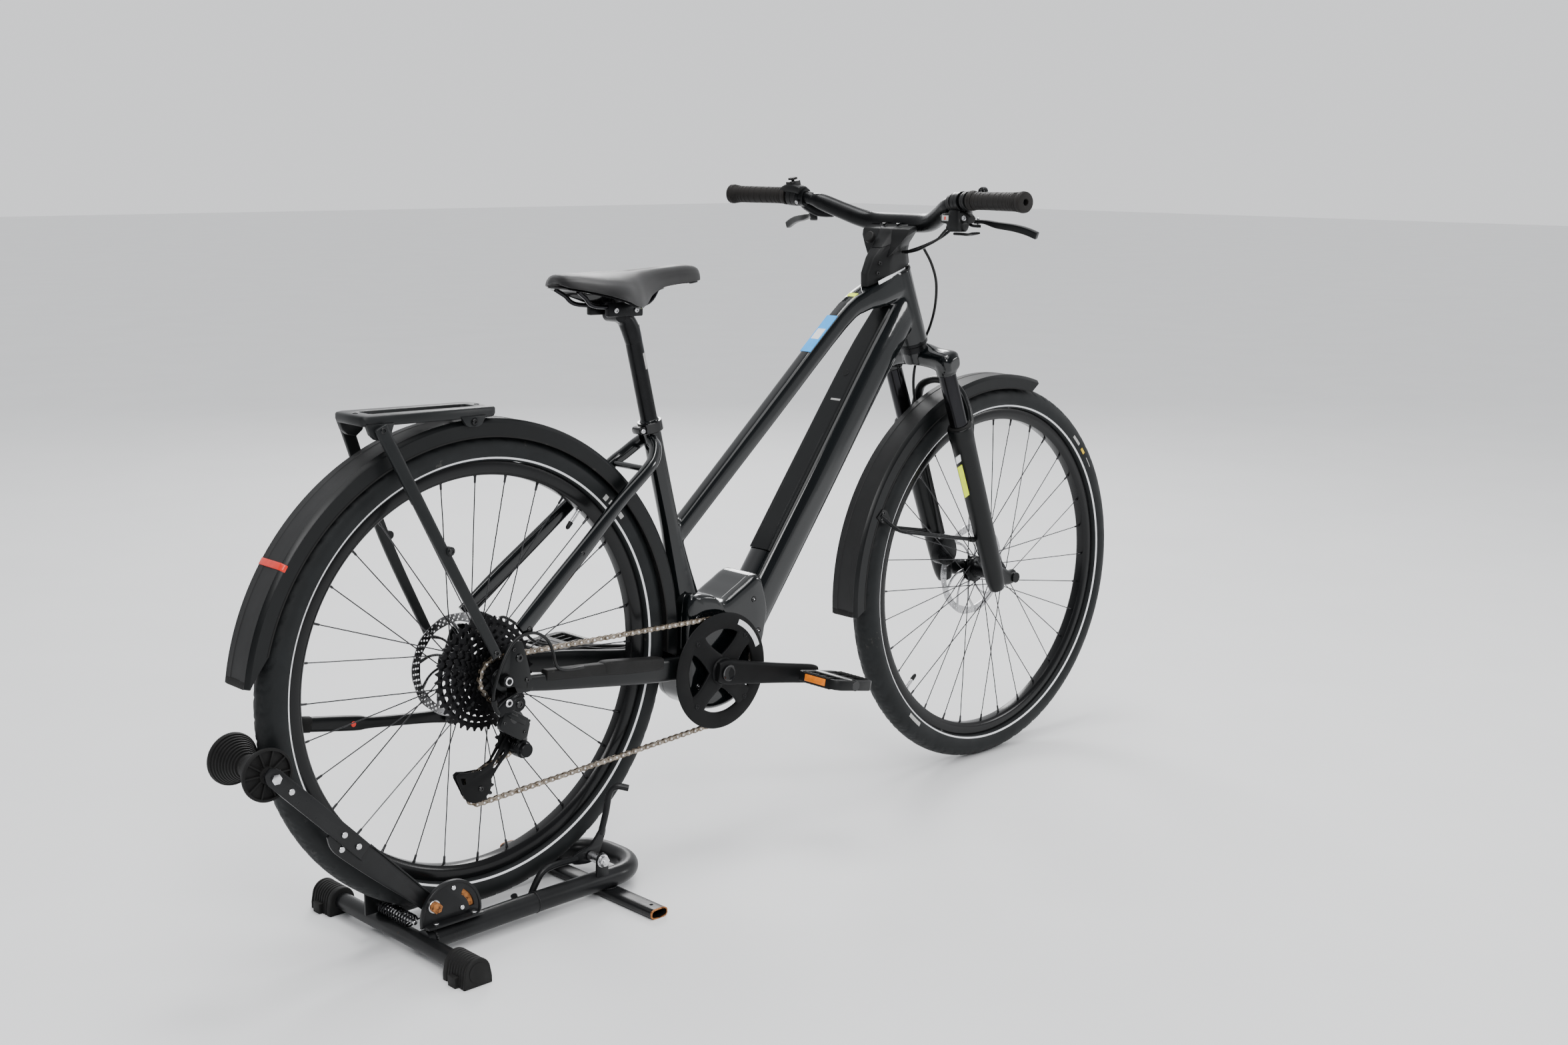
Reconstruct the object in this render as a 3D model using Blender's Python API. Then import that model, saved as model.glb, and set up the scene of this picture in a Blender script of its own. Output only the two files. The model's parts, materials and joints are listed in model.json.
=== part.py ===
"""Electric city bicycle held upright by a roller cradle stand. Metres, +Z up, +X forward, +Y left."""
import math

import bmesh
import bpy
from mathutils import Matrix, Vector

# ---- Driving dimensions ----
GAP = 0.0003
WHEEL_RADIUS = 0.360
TYRE_SECTION = 0.025
BEAD_RADIUS = 0.3168
RIM_OUTER = 0.3165
RIM_INNER = 0.2945
RIM_HALF = 0.0135
WHEELBASE = 1.183
REAR_LIFT = 0.0277
PITCH = math.asin(REAR_LIFT / WHEELBASE)
HEAD_ANGLE = math.radians(68.0)
FORK_OFFSET = 0.048
SEAT_LEAN = math.radians(14.7)
BOTTOM_BRACKET = (0.4415, -0.0615)
CRANK_LENGTH = 0.175
CRANK_DROP = math.radians(8.7)
CHAIN_Y = -0.0542
CHAIN_HALF_WIDTH = 0.00275
CHAIN_HALF_HEIGHT = 0.0042
PITCH_LENGTH = 0.0127
RING_TEETH = 44
COG_TEETH = 15
UPPER_JOCKEY_TEETH = 11
LOWER_JOCKEY_TEETH = 12
COG_SIZES = (11, 13, 15, 17, 19, 21, 24, 28, 32, 37, 42)
COG_PITCH = 0.0039
UPPER_JOCKEY = (0.020, -0.097)
LOWER_JOCKEY = (-0.033, -0.162)
CAGE_PIVOT = (0.027, -0.108)
FRAME_HEAD_LOW = 0.502
FRAME_HEAD_TOP = 0.6472
LEG_Y = 0.065
STANCHION_RADIUS = 0.016
BAR_CENTRE = (0.905, 0.662)
BAR_HALF_WIDTH = 0.343
STAND_TUBE = 0.016
STAND_HALF_WIDTH = 0.072
STAND_CROSS_X = -0.150
ARM_PIVOT = (-0.137, 0.077)
ROLLER = (-0.3726, 0.3225)
ROLLER_RADIUS = 0.0375
LEVER_PIVOT = (0.170, 0.066)
SPOKES = 32

AXLE_HEIGHT = WHEEL_RADIUS + REAR_LIFT
FRONT_X = WHEELBASE * math.cos(PITCH)
REAR_END = ROLLER[0] - ROLLER_RADIUS
CENTRE_X = (REAR_END + FRONT_X + WHEEL_RADIUS) / 2

STEER_AXIS = Vector((-math.cos(HEAD_ANGLE), 0, math.sin(HEAD_ANGLE)))
STEER_FORWARD = Vector((math.sin(HEAD_ANGLE), 0, math.cos(HEAD_ANGLE)))
FRONT_AXLE = Vector((WHEELBASE, 0, 0))
STEER_FOOT = FRONT_AXLE - STEER_FORWARD * FORK_OFFSET
SEAT_AXIS = Vector((-math.sin(SEAT_LEAN), 0, math.cos(SEAT_LEAN)))
BB = Vector((BOTTOM_BRACKET[0], 0, BOTTOM_BRACKET[1]))
CRANK_TURN = Vector((math.cos(CRANK_DROP), 0, -math.sin(CRANK_DROP)))
ACROSS = Vector((0, 1, 0))
LEVEL = Vector((math.cos(PITCH), 0, math.sin(PITCH)))


def pitch_radius(teeth):
    return PITCH_LENGTH / (2 * math.sin(math.pi / teeth))


def steer(along, forward=0.0, side=0.0):
    """Point given along the steering axis, forward of it and to its left."""
    return STEER_FOOT + STEER_AXIS * along + STEER_FORWARD * forward + ACROSS * side


def seat(along, forward=0.0, side=0.0):
    return BB + SEAT_AXIS * along + Vector((SEAT_AXIS.z, 0, -SEAT_AXIS.x)) * forward + ACROSS * side


# ---- Mesh tools ----
def mesh_from(bm, name="shape"):
    bmesh.ops.recalc_face_normals(bm, faces=bm.faces)
    mesh = bpy.data.meshes.new(name)
    bm.to_mesh(mesh)
    bm.free()
    return mesh


def loft(rings, looped=False):
    """Skin equal rings of points; the ends are capped unless the loft closes on itself."""
    bm = bmesh.new()
    loops = [[bm.verts.new(point) for point in ring] for ring in rings]
    count = len(loops[0])
    pairs = list(zip(loops, loops[1:]))
    if looped:
        pairs.append((loops[-1], loops[0]))
    for near, far in pairs:
        for i in range(count):
            j = (i + 1) % count
            bm.faces.new((near[i], near[j], far[j], far[i]))
    if not looped:
        bm.faces.new(loops[0])
        bm.faces.new(list(reversed(loops[-1])))
    return mesh_from(bm)


def smooth(points, per_span=4):
    """Catmull-Rom curve through the points."""
    points = [Vector(p) for p in points]
    padded = [2 * points[0] - points[1]] + points + [2 * points[-1] - points[-2]]
    curve = []
    for a, b, c, d in zip(padded, padded[1:], padded[2:], padded[3:]):
        for step in range(per_span):
            t = step / per_span
            curve.append(0.5 * (2 * b + (c - a) * t + (2 * a - 5 * b + 4 * c - d) * t * t
                                + (3 * b - a - 3 * c + d) * t ** 3))
    curve.append(points[-1])
    return curve


def section_ring(centre, first, second, half_a, half_b, sides, power):
    """Superellipse: power 2 is an ellipse, larger powers are squarer."""
    ring = []
    for i in range(sides):
        angle = 2 * math.pi * (i + 0.5) / sides
        c, s = math.cos(angle), math.sin(angle)
        ring.append(centre + first * half_a * math.copysign(abs(c) ** (2 / power), c)
                    + second * half_b * math.copysign(abs(s) ** (2 / power), s))
    return ring


def tube(path, halves, lateral=ACROSS, sides=12, power=2.0, grow=0.0, looped=False):
    """Sweep along a path; halves is one (in-plane, lateral) pair or one pair for each point."""
    path = [Vector(p) for p in path]
    if isinstance(halves[0], (int, float)):
        halves = [halves] * len(path)
    rings = []
    last = len(path) - 1
    for i, point in enumerate(path):
        before = path[i - 1] if i or looped else path[0]
        after = path[(i + 1) % len(path)] if i < last or looped else path[last]
        tangent = (after - before).normalized()
        side = (lateral - tangent * lateral.dot(tangent)).normalized()
        half_a, half_b = halves[i]
        rings.append(section_ring(point, side.cross(tangent), side, half_a + grow, half_b + grow,
                                  sides, power))
    return loft(rings, looped)


def square_bar(path, half_a, half_b, lateral=ACROSS, looped=False):
    """Sweep of a plain rectangle."""
    return tube(path, (half_a * math.sqrt(2), half_b * math.sqrt(2)), lateral, 4, looped=looped)


def cord(points, radius, sides=6, per_span=4, grow=0.0, looped=False):
    """Round cord or wire along a smooth curve, its frame carried along without twist."""
    path = smooth(points, per_span) if per_span > 1 else [Vector(p) for p in points]
    tangents = [(b - a).normalized() for a, b in zip(path, path[1:])]
    tangents.append(tangents[-1])
    side = tangents[0].orthogonal().normalized()
    rings = []
    for i, point in enumerate(path):
        tangent = tangents[i] if i == 0 else (tangents[i] + tangents[i - 1]).normalized()
        side = (side - tangent * side.dot(tangent)).normalized()
        rings.append(section_ring(point, side, tangent.cross(side), radius + grow, radius + grow,
                                  sides, 2.0))
    return loft(rings, looped)


def rod(start, end, radius, sides=12):
    return cord([start, end], radius, sides, per_span=1)


def turned(profile, steps, centre=(0, 0, 0), axis=ACROSS, first=Vector((1, 0, 0))):
    """Turn a closed outline of (radius, position along the axis) into a ring."""
    centre, axis = Vector(centre), Vector(axis).normalized()
    second = axis.cross(first).normalized()
    rings = []
    for i in range(steps):
        angle = 2 * math.pi * i / steps
        radial = first * math.cos(angle) + second * math.sin(angle)
        rings.append([centre + radial * r + axis * along for r, along in profile])
    return loft(rings, looped=True)


def prism(outline, low, high):
    """Extrude an outline of (x, z) points from y=low to y=high."""
    return loft([[Vector((x, y, z)) for x, z in outline] for y in (low, high)])


def slab(outline, low, high):
    """Extrude a plan outline of (x, y) points from z=low to z=high."""
    return loft([[Vector((x, y, z)) for x, y in outline] for z in (low, high)])


def block(low, high):
    return slab([(low[0], low[1]), (high[0], low[1]), (high[0], high[1]), (low[0], high[1])],
                low[2], high[2])


def arc(centre, radius, start, end, steps):
    return [(centre[0] + radius * math.cos(math.radians(start + (end - start) * i / steps)),
             centre[1] + radius * math.sin(math.radians(start + (end - start) * i / steps)))
            for i in range(steps + 1)]


def mirrored(mesh):
    copy = mesh.copy()
    copy.transform(Matrix.Scale(-1, 4, ACROSS))
    copy.flip_normals()
    return copy


def joined(meshes):
    bm = bmesh.new()
    for mesh in meshes:
        bm.from_mesh(mesh)
    result = bpy.data.meshes.new("joined")
    bm.to_mesh(result)
    bm.free()
    return result


def boolean(mesh, other, operation):
    base = bpy.data.objects.new("base", mesh)
    tool = bpy.data.objects.new("tool", other)
    for item in (base, tool):
        bpy.context.scene.collection.objects.link(item)
    cut = base.modifiers.new("cut", "BOOLEAN")
    cut.operation = operation
    cut.solver = "EXACT"
    cut.object = tool
    bpy.context.view_layer.update()
    evaluated = base.evaluated_get(bpy.context.evaluated_depsgraph_get())
    result = bpy.data.meshes.new_from_object(evaluated)
    for item in (base, tool):
        bpy.data.objects.remove(item, do_unlink=True)
    return result


def union(*meshes):
    result = meshes[0]
    for mesh in meshes[1:]:
        result = boolean(result, mesh, "UNION")
    return result


def cut(mesh, *tools):
    for tool in tools:
        mesh = boolean(mesh, tool, "DIFFERENCE")
    return mesh


# ---- Scene, parents and materials ----
for old in list(bpy.data.objects):
    bpy.data.objects.remove(old, do_unlink=True)


def empty(name, location, pitch=0.0, parent=None):
    item = bpy.data.objects.new(name, None)
    item.location = location
    item.rotation_euler = (0, pitch, 0)
    item.parent = parent
    bpy.context.scene.collection.objects.link(item)
    return item


STAND = empty("stand_origin", (-CENTRE_X, 0, 0))
BIKE = empty("bike_origin", (0, 0, AXLE_HEIGHT), PITCH, STAND)

FINISHES = {
    "gloss_black": ((0.012, 0.014, 0.016), 0.12, 0.0),
    "matte_black": ((0.020, 0.020, 0.021), 0.55, 0.0),
    "anodised_black": ((0.025, 0.025, 0.027), 0.38, 0.6),
    "rubber": ((0.018, 0.018, 0.018), 0.80, 0.0),
    "tyre": ((0.022, 0.022, 0.023), 0.75, 0.0),
    "saddle_cover": ((0.045, 0.043, 0.044), 0.60, 0.0),
    "steel": ((0.60, 0.60, 0.60), 0.30, 1.0),
    "chain_steel": ((0.42, 0.38, 0.32), 0.35, 1.0),
    "stand_paint": ((0.018, 0.019, 0.020), 0.35, 0.0),
    "cord": ((0.010, 0.010, 0.010), 0.45, 0.0),
}


def finish(name):
    if name in bpy.data.materials:
        return bpy.data.materials[name]
    colour, roughness, metallic = FINISHES[name]
    made = bpy.data.materials.new(name)
    made.use_nodes = True
    shader = made.node_tree.nodes["Principled BSDF"]
    shader.inputs["Base Color"].default_value = (*colour, 1.0)
    shader.inputs["Roughness"].default_value = roughness
    shader.inputs["Metallic"].default_value = metallic
    return made


def piece(name, mesh, look, parent=None, pivot=(0, 0, 0)):
    """Place a mesh as one named part, with its origin on its pivot."""
    bm = bmesh.new()
    bm.from_mesh(mesh)
    bmesh.ops.recalc_face_normals(bm, faces=bm.faces)
    bm.to_mesh(mesh)
    bm.free()
    mesh.name = name
    mesh.transform(Matrix.Translation(-Vector(pivot)))
    mesh.materials.clear()
    mesh.materials.append(finish(look))
    mesh.shade_smooth()
    mesh.set_sharp_from_angle(angle=math.radians(35))
    item = bpy.data.objects.new(name, mesh)
    item.location = pivot
    item.parent = parent or BIKE
    bpy.context.scene.collection.objects.link(item)
    return item


# ---- Stand ----
def stand_base():
    y, front, corner = STAND_HALF_WIDTH, 0.262, 0.060
    bend = [(front - corner + dx, -(y - corner) + dy) for dx, dy in arc((0, 0), corner, -90, 0, 5)]
    right = [(STAND_CROSS_X, -y, 0.026), (0.0, -y, 0.029)] + [(px, py, 0.030) for px, py in bend]
    path = right + [(px, -py, pz) for px, py, pz in reversed(right)]
    loop = tube(path, (STAND_TUBE, STAND_TUBE), Vector((0, 0, 1)))
    cross = rod((STAND_CROSS_X, -0.178, 0.0205), (STAND_CROSS_X, 0.172, 0.0205), 0.0135)
    rest = 0.008 * math.cos(math.radians(15)) ** 0.5
    foot, bore = (tube([(0.190, -reach, rest), (0.190, reach, rest)], halves, Vector((1, 0, 0)), 12, 4)
                  for reach, halves in ((0.195, (0.0080, 0.0160)), (0.210, (0.0060, 0.0138))))
    x, z = LEVER_PIVOT
    bracket = prism([(x - 0.012, 0.036), (x + 0.012, 0.036), (x + 0.010, z + 0.008),
                     (x, z + 0.012), (x - 0.010, z + 0.008)], -0.084, -0.079)
    pin = rod((x, -0.090, z), (x, -0.042, z), 0.004, 8)
    nut = rod((x, -0.0895, z), (x, -0.0825, z), 0.0085, 6)
    return union(loop, cross, cut(foot, bore), bracket, pin, nut)


def stand_cap(side):
    x, z, r = STAND_CROSS_X, 0.0205, 0.0215
    outline = [(x - 0.024, 0.0), (x + 0.024, 0.0)] + arc((x, z), r, 0, 180, 8)
    ends = sorted((side * 0.150, side * 0.205))
    sleeve = rod((x, side * 0.140, z), (x, side * 0.1785, z), 0.0135 + GAP + 0.0002)
    return cut(prism(outline, *ends), sleeve)


def stand_plate_right():
    cx, cz, r = -0.105, 0.055, 0.052
    bottom = 0.0462
    dome = arc((cx, cz), r, -8, 188, 16)
    plate = prism([(cx + r, bottom), *dome, (cx - r, bottom)], -0.076, -0.071)
    flange = block((cx - r + 0.004, -0.090, bottom), (cx + r - 0.004, -0.0712, bottom + 0.004))
    slot = prism(arc((cx + 0.034, cz + 0.012), 0.004, 0, 180, 5)
                 + arc((cx + 0.034, cz - 0.006), 0.004, 180, 360, 5), -0.08, -0.07)
    x, z = ARM_PIVOT
    bolt = rod((x, -0.0775, z), (x, -0.056, z), 0.004, 10)
    head = rod((x, -0.0900, z), (x, -0.0755, z), 0.0085, 10)
    nut = rod((x, -0.0598, z), (x, -0.0530, z), 0.0075, 6)
    return cut(union(plate, flange, head, bolt, nut), slot)


def stand_plate_left():
    x = STAND_CROSS_X
    plate = prism([(x - 0.024, 0.0346), (x + 0.020, 0.0346), (x + 0.018, 0.070),
                   (x - 0.004, 0.084), (x - 0.024, 0.078)], 0.046, 0.050)
    shaft = rod((x, -0.050, 0.0465), (x, 0.048, 0.0465), 0.0035, 8)
    return union(plate, shaft)


def stand_spring():
    turns, per_turn, radius, wire = 9, 8, 0.0092, 0.0013
    count = turns * per_turn
    path = []
    for i in range(count + 1):
        angle = 2 * math.pi * i / per_turn
        path.append((STAND_CROSS_X + radius * math.cos(angle), -0.040 + 0.078 * i / count,
                     0.0465 + radius * math.sin(angle)))
    return cord(path, wire, 4, per_span=1)


def stand_arm():
    (px, pz), (rx, rz) = ARM_PIVOT, ROLLER
    along = Vector((rx - px, 0, rz - pz))
    length = along.length
    along.normalize()
    normal = Vector((along.z, 0, -along.x))

    def strip(stations, low, high):
        upper = [Vector((px, 0, pz)) + along * s + normal * h for s, h, _ in stations]
        lower = [Vector((px, 0, pz)) + along * s - normal * h for s, _, h in reversed(stations)]
        return prism([(p.x, p.z) for p in upper + lower], low, high)

    lower = strip([(-0.013, 0.006, 0.006), (-0.006, 0.012, 0.012), (0.10, 0.013, 0.022),
                   (0.19, 0.013, 0.027), (0.21, 0.010, 0.020)], -0.0655, -0.0605)
    upper = strip([(0.150, 0.012, 0.012), (length - 0.02, 0.013, 0.013),
                   (length + 0.010, 0.011, 0.011), (length + 0.016, 0.005, 0.005)],
                  -0.0705, -0.0650)
    axle = rod((rx, -0.068, rz), (rx, 0.0555, rz), 0.004, 10)
    collar = rod((rx, 0.0515, rz), (rx, 0.0570, rz), 0.0085, 10)
    hole = rod((px, -0.08, pz), (px, -0.05, pz), 0.0046, 10)
    return cut(union(lower, upper, axle, collar), hole)


def stand_roller():
    bore, r = 0.0045, ROLLER_RADIUS
    profile = [(bore, -0.050), (r, -0.050), (r, -0.046), (0.0165, -0.004), (0.0165, 0.004),
               (r, 0.046), (r, 0.050), (bore, 0.050)]
    return turned(profile, 20, (ROLLER[0], 0, ROLLER[1]))


def stand_lever():
    x, z = LEVER_PIVOT
    plate = prism([(x - 0.032, z - 0.008), (x - 0.010, z - 0.012), (x + 0.010, z - 0.008),
                   (x + 0.021, z + 0.010), (x + 0.033, z + 0.031), (x + 0.028, z + 0.038),
                   (x + 0.017, z + 0.033), (x + 0.006, z + 0.016), (x - 0.010, z + 0.011),
                   (x - 0.030, z + 0.006)], -0.0520, -0.0465)
    y = -0.0492
    hook = cord([(x + 0.024, y, z + 0.028), (x + 0.035, y, z + 0.062), (x + 0.043, y, z + 0.092),
                 (x + 0.052, y - 0.007, z + 0.102), (x + 0.066, y - 0.019, z + 0.099)], 0.0053, 8, 2)
    tail = cord([(x - 0.024, y, z), (x - 0.060, y + 0.003, z), (x - 0.085, y + 0.006, z - 0.006),
                 (x - 0.100, y + 0.008, z - 0.026), (x - 0.110, y + 0.009, z - 0.045),
                 (x - 0.122, y + 0.009, z - 0.052), (x - 0.134, y + 0.008, z - 0.044),
                 (x - 0.140, y + 0.007, z - 0.030)], 0.0053, 8, 2)
    hole = rod((x, -0.06, z), (x, -0.04, z), 0.0046, 10)
    return cut(union(plate, hook, tail), hole)


piece("stand_base", stand_base(), "stand_paint", STAND)
piece("stand_cap_right", stand_cap(-1), "rubber", STAND)
piece("stand_cap_left", stand_cap(1), "rubber", STAND)
piece("stand_plate_right", stand_plate_right(), "stand_paint", STAND)
piece("stand_plate_left", stand_plate_left(), "stand_paint", STAND)
piece("stand_spring", stand_spring(), "steel", STAND)
piece("stand_arm", stand_arm(), "stand_paint", STAND, (ARM_PIVOT[0], 0, ARM_PIVOT[1]))
piece("stand_roller", stand_roller(), "rubber", STAND, (ROLLER[0], 0, ROLLER[1]))
piece("stand_lever", stand_lever(), "stand_paint", STAND, (LEVER_PIVOT[0], 0, LEVER_PIVOT[1]))


# ---- Wheels ----
def tyre(centre):
    middle = WHEEL_RADIUS - TYRE_SECTION
    edge = math.degrees(math.acos((BEAD_RADIUS - middle) / TYRE_SECTION))
    profile = arc((middle, 0), TYRE_SECTION, -edge, edge, 8)
    return turned(profile, 64, centre, first=LEVEL)


def rim(centre):
    profile = [(RIM_INNER, -0.0085), (0.3005, -RIM_HALF), (RIM_OUTER, -RIM_HALF),
               (RIM_OUTER, RIM_HALF), (0.3005, RIM_HALF), (RIM_INNER, 0.0085)]
    return turned(profile, 64, centre)


def hub(centre, right_flange, left_flange, right_end, left_end, rotor_y, rotor_radius):
    """Hub shell with its spokes and disc rotor."""
    bore, body, flange, web = 0.0068, 0.0150, 0.0245, 0.0030
    profile = [(bore, right_end), (0.011, right_end), (body, right_flange - web),
               (flange, right_flange - web), (flange, right_flange + web), (body, right_flange + web),
               (body, left_flange - web), (flange, left_flange - web), (flange, left_flange + web),
               (body, left_flange + web), (0.011, left_end), (bore, left_end)]
    shell = turned(profile, 16, centre)
    centre = Vector(centre)
    spokes = []
    for i in range(SPOKES):
        right = i % 2 == 0
        lead = 1 if (i // 2) % 2 == 0 else -1
        rim_angle = 2 * math.pi * i / SPOKES
        hub_angle = rim_angle + lead * math.radians(62)
        flange_y = (right_flange if right else left_flange) + 0.0026 * lead
        start = Vector((0.0215 * math.cos(hub_angle), flange_y, 0.0215 * math.sin(hub_angle)))
        reach = RIM_INNER - 0.0005
        end = Vector((reach * math.cos(rim_angle), -0.002 if right else 0.002,
                      reach * math.sin(rim_angle)))
        spokes.append(rod(centre + start, centre + end, 0.0010, 4))
    thick = 0.0009
    arms = []
    for i in range(5):
        angle = 2 * math.pi * i / 5
        out = Vector((math.cos(angle), 0, math.sin(angle)))
        arms.append(tube([centre + out * 0.009 + ACROSS * rotor_y,
                          centre + out * (rotor_radius - 0.008) + ACROSS * rotor_y],
                         (0.004, thick * 0.95), ACROSS, 4, 8))
    band = turned([(rotor_radius - 0.014, rotor_y - thick), (rotor_radius, rotor_y - thick),
                   (rotor_radius, rotor_y + thick), (rotor_radius - 0.014, rotor_y + thick)],
                  28, centre)
    carrier = turned([(0.009, rotor_y - 0.003), (0.021, rotor_y - 0.003), (0.021, rotor_y + 0.002),
                      (0.009, rotor_y + 0.002)], 16, centre)
    star = union(carrier, *arms)
    return union(shell, star, band, joined(spokes))


piece("rear_tyre", tyre((0, 0, 0)), "tyre")
piece("rear_rim", rim((0, 0, 0)), "gloss_black")
piece("rear_hub", hub((0, 0, 0), -0.0155, 0.030, -0.0196, 0.066, 0.049, 0.080), "anodised_black")
piece("front_tyre", tyre(FRONT_AXLE), "tyre", pivot=FRONT_AXLE)
piece("front_rim", rim(FRONT_AXLE), "gloss_black", pivot=FRONT_AXLE)
piece("front_hub", hub(FRONT_AXLE, -0.027, 0.027, -0.048, 0.044, 0.0365, 0.090), "anodised_black",
      pivot=FRONT_AXLE)


# ---- Frame ----
def head_tube(grow=0.0):
    return rod(steer(FRAME_HEAD_LOW - grow), steer(FRAME_HEAD_TOP + grow), 0.0262 + grow, 20)


def seat_tube(grow=0.0):
    halves = [(0.0155, 0.0155), (0.0155, 0.0155), (0.0175, 0.0165), (0.0215, 0.0195),
              (0.0265, 0.0250), (0.0300, 0.0280)]
    stations = (0.431, 0.27, 0.22, 0.165, 0.105, 0.050)
    return tube([seat(s) for s in stations], halves, sides=16, grow=grow)


def down_tube(grow=0.0):
    path = [(0.5200, 0, -0.030), (0.5625, 0, 0.030), (0.7060, 0, 0.2345), (0.8300, 0, 0.4110),
            (0.8850, 0, 0.4800), (0.9120 + 2 * grow, 0, 0.5130 + 2 * grow)]
    halves = [(0.036, 0.034), (0.036, 0.034), (0.036, 0.034), (0.036, 0.032), (0.036, 0.028),
              (0.034, 0.025)]
    return tube(path, halves, sides=16, power=3.2, grow=grow)


def top_tube(grow=0.0):
    path = [(0.385, 0, 0.158), (0.4176, 0, 0.186), (0.7560, 0, 0.4950), (0.8080, 0, 0.5330),
            (0.8450, 0, 0.5480), (0.8900, 0, 0.5620)]
    halves = [(0.0165, 0.0135), (0.0160, 0.0130), (0.0170, 0.0150), (0.0220, 0.0190),
              (0.0300, 0.0225), (0.0340, 0.0240)]
    return tube(path, halves, sides=12, power=4.0, grow=grow)


def motor_shell(grow=0.0):
    outline = [(0.386, 0.052), (0.386, -0.082), (0.405, -0.118), (0.440, -0.132), (0.490, -0.125),
               (0.530, -0.095), (0.560, -0.055), (0.590, -0.034), (0.604, -0.014), (0.578, 0.030),
               (0.540, 0.084), (0.500, 0.066), (0.461, 0.048), (0.438, 0.062), (0.405, 0.066)]
    middle = Vector((sum(p[0] for p in outline), sum(p[1] for p in outline))) / len(outline)
    scaled = []
    for x, z in outline:
        reach = Vector((x, z)) - middle
        scaled.append(middle + reach * (1 + grow / reach.length))
    rings = []
    for y, shrink in ((-0.043 - grow, 0.93), (-0.036, 1.0), (0.036, 1.0), (0.043 + grow, 0.93)):
        rings.append([Vector((middle.x + (p.x - middle.x) * shrink, y,
                              middle.y + (p.y - middle.y) * shrink)) for p in scaled])
    return loft(rings)


def battery_slab(low, high, grow=0.0):
    """Slab let into the rear face of the down tube, between two heights above its middle."""
    direction = Vector((0.574, 0, 0.819))
    base = Vector((0.7060, 0, 0.2345)) + Vector((-0.819, 0, 0.574)) * (low + high) / 2
    return square_bar([base - direction * (0.170 + grow), base + direction * (0.235 + grow)],
                      (high - low) / 2, 0.0235 + grow)


def seat_bore(low, radius):
    return rod(seat(low), seat(0.50), radius, 16)


def frame_pieces():
    above = prism([(p.x, p.z) for p in (steer(FRAME_HEAD_TOP, -0.3), steer(FRAME_HEAD_TOP, 0.2),
                                        steer(0.9, 0.2), steer(0.9, -0.3))], -0.1, 0.1)
    steerer_bore = rod(steer(0.49), steer(0.66), 0.0150, 20)
    piece("frame_head_tube", cut(head_tube(), steerer_bore), "gloss_black")
    piece("frame_motor_housing", motor_shell(), "gloss_black", pivot=BB)
    seat_mesh = cut(seat_tube(), motor_shell(GAP), seat_bore(0.19, 0.0139))
    piece("frame_seat_tube", seat_mesh, "gloss_black")
    down = cut(down_tube(), battery_slab(0.0307, 0.060, GAP), motor_shell(GAP), head_tube(GAP))
    piece("frame_down_tube", down, "gloss_black")
    cover = cut(battery_slab(0.0311, 0.0378), motor_shell(2 * GAP))
    piece("battery_cover", cover, "matte_black")
    top = cut(top_tube(), seat_tube(GAP), down_tube(GAP), head_tube(GAP), above)
    piece("frame_top_tube", top, "gloss_black")


frame_pieces()


def seatstays():
    path = [(0.330, -0.010, 0.322), (0.326, -0.024, 0.312), (0.312, -0.037, 0.296),
            (0.292, -0.044, 0.281), (0.233, -0.050, 0.237), (0.160, -0.0590, 0.177),
            (0.085, -0.0675, 0.1165), (0.030, -0.0725, 0.0700)]
    halves = [(0.0095, 0.0095), (0.0095, 0.0095), (0.0095, 0.0095), (0.0095, 0.0090),
              (0.0105, 0.0080), (0.0125, 0.0065), (0.0140, 0.0062), (0.0140, 0.0045)]
    right = cut(tube(path, halves, sides=12), seat_tube(GAP))
    bridge = rod((0.294, -0.042, 0.282), (0.294, 0.042, 0.282), 0.005, 8)
    return union(right, mirrored(right), bridge)


def chainstay(side):
    """Stay with its dropout; the right one carries the axle and the hanger, the left the stand lug."""
    path = [(0.3835, 0.040, -0.050), (0.330, 0.0425, -0.046), (0.285, 0.0475, -0.041),
            (0.210, 0.0560, -0.031), (0.100, 0.0660, -0.019), (0.040, 0.0700, -0.012)]
    halves = [(0.0195, 0.0075), (0.0190, 0.0085), (0.0185, 0.0090), (0.0180, 0.0085),
              (0.0145, 0.0065), (0.0120, 0.0050)]
    stay = tube([(x, side * y, z) for x, y, z in path], halves, sides=12, power=3)
    drop = [(0.050, -0.022), (0.046, 0.004), (0.036, 0.040), (0.026, 0.0555), (0.006, 0.0500),
            *arc((0, 0), 0.017, 120, 250, 6), (0.006, -0.020)]
    ends = sorted((side * 0.0695, side * 0.0745))
    plate = prism(drop, *ends)
    axle_hole = rod((0, side * 0.06, 0), (0, side * 0.085, 0), 0.0066, 12)
    if side > 0:
        lug = prism([(0.058, -0.026), (0.040, -0.006), (0.024, -0.008), (-0.002, -0.084),
                     *arc((0.010, -0.090), 0.012, 180, 360, 5), (0.030, -0.050)], 0.0735, 0.0790)
        pin = rod((0.010, 0.076, -0.090), (0.010, 0.1015, -0.090), 0.004, 10)
        head = rod((0.010, 0.0995, -0.090), (0.010, 0.1045, -0.090), 0.0075, 6)
        return cut(union(stay, plate, lug, pin, head), axle_hole)
    axle = rod((0, -0.0830, 0), (0, 0.0785, 0), 0.0060, 12)
    knob = rod((0, 0.0760, 0), (0, 0.0830, 0), 0.0095, 12)
    cap = rod((0, -0.0850, 0), (0, -0.0700, 0), 0.0095, 12)
    hanger = prism([(0.002, -0.010), (0.018, -0.012), (0.026, -0.034), (0.018, -0.044),
                    (0.006, -0.038)], -0.0745, -0.0695)
    return union(stay, plate, hanger, cap, axle, knob)


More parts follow.
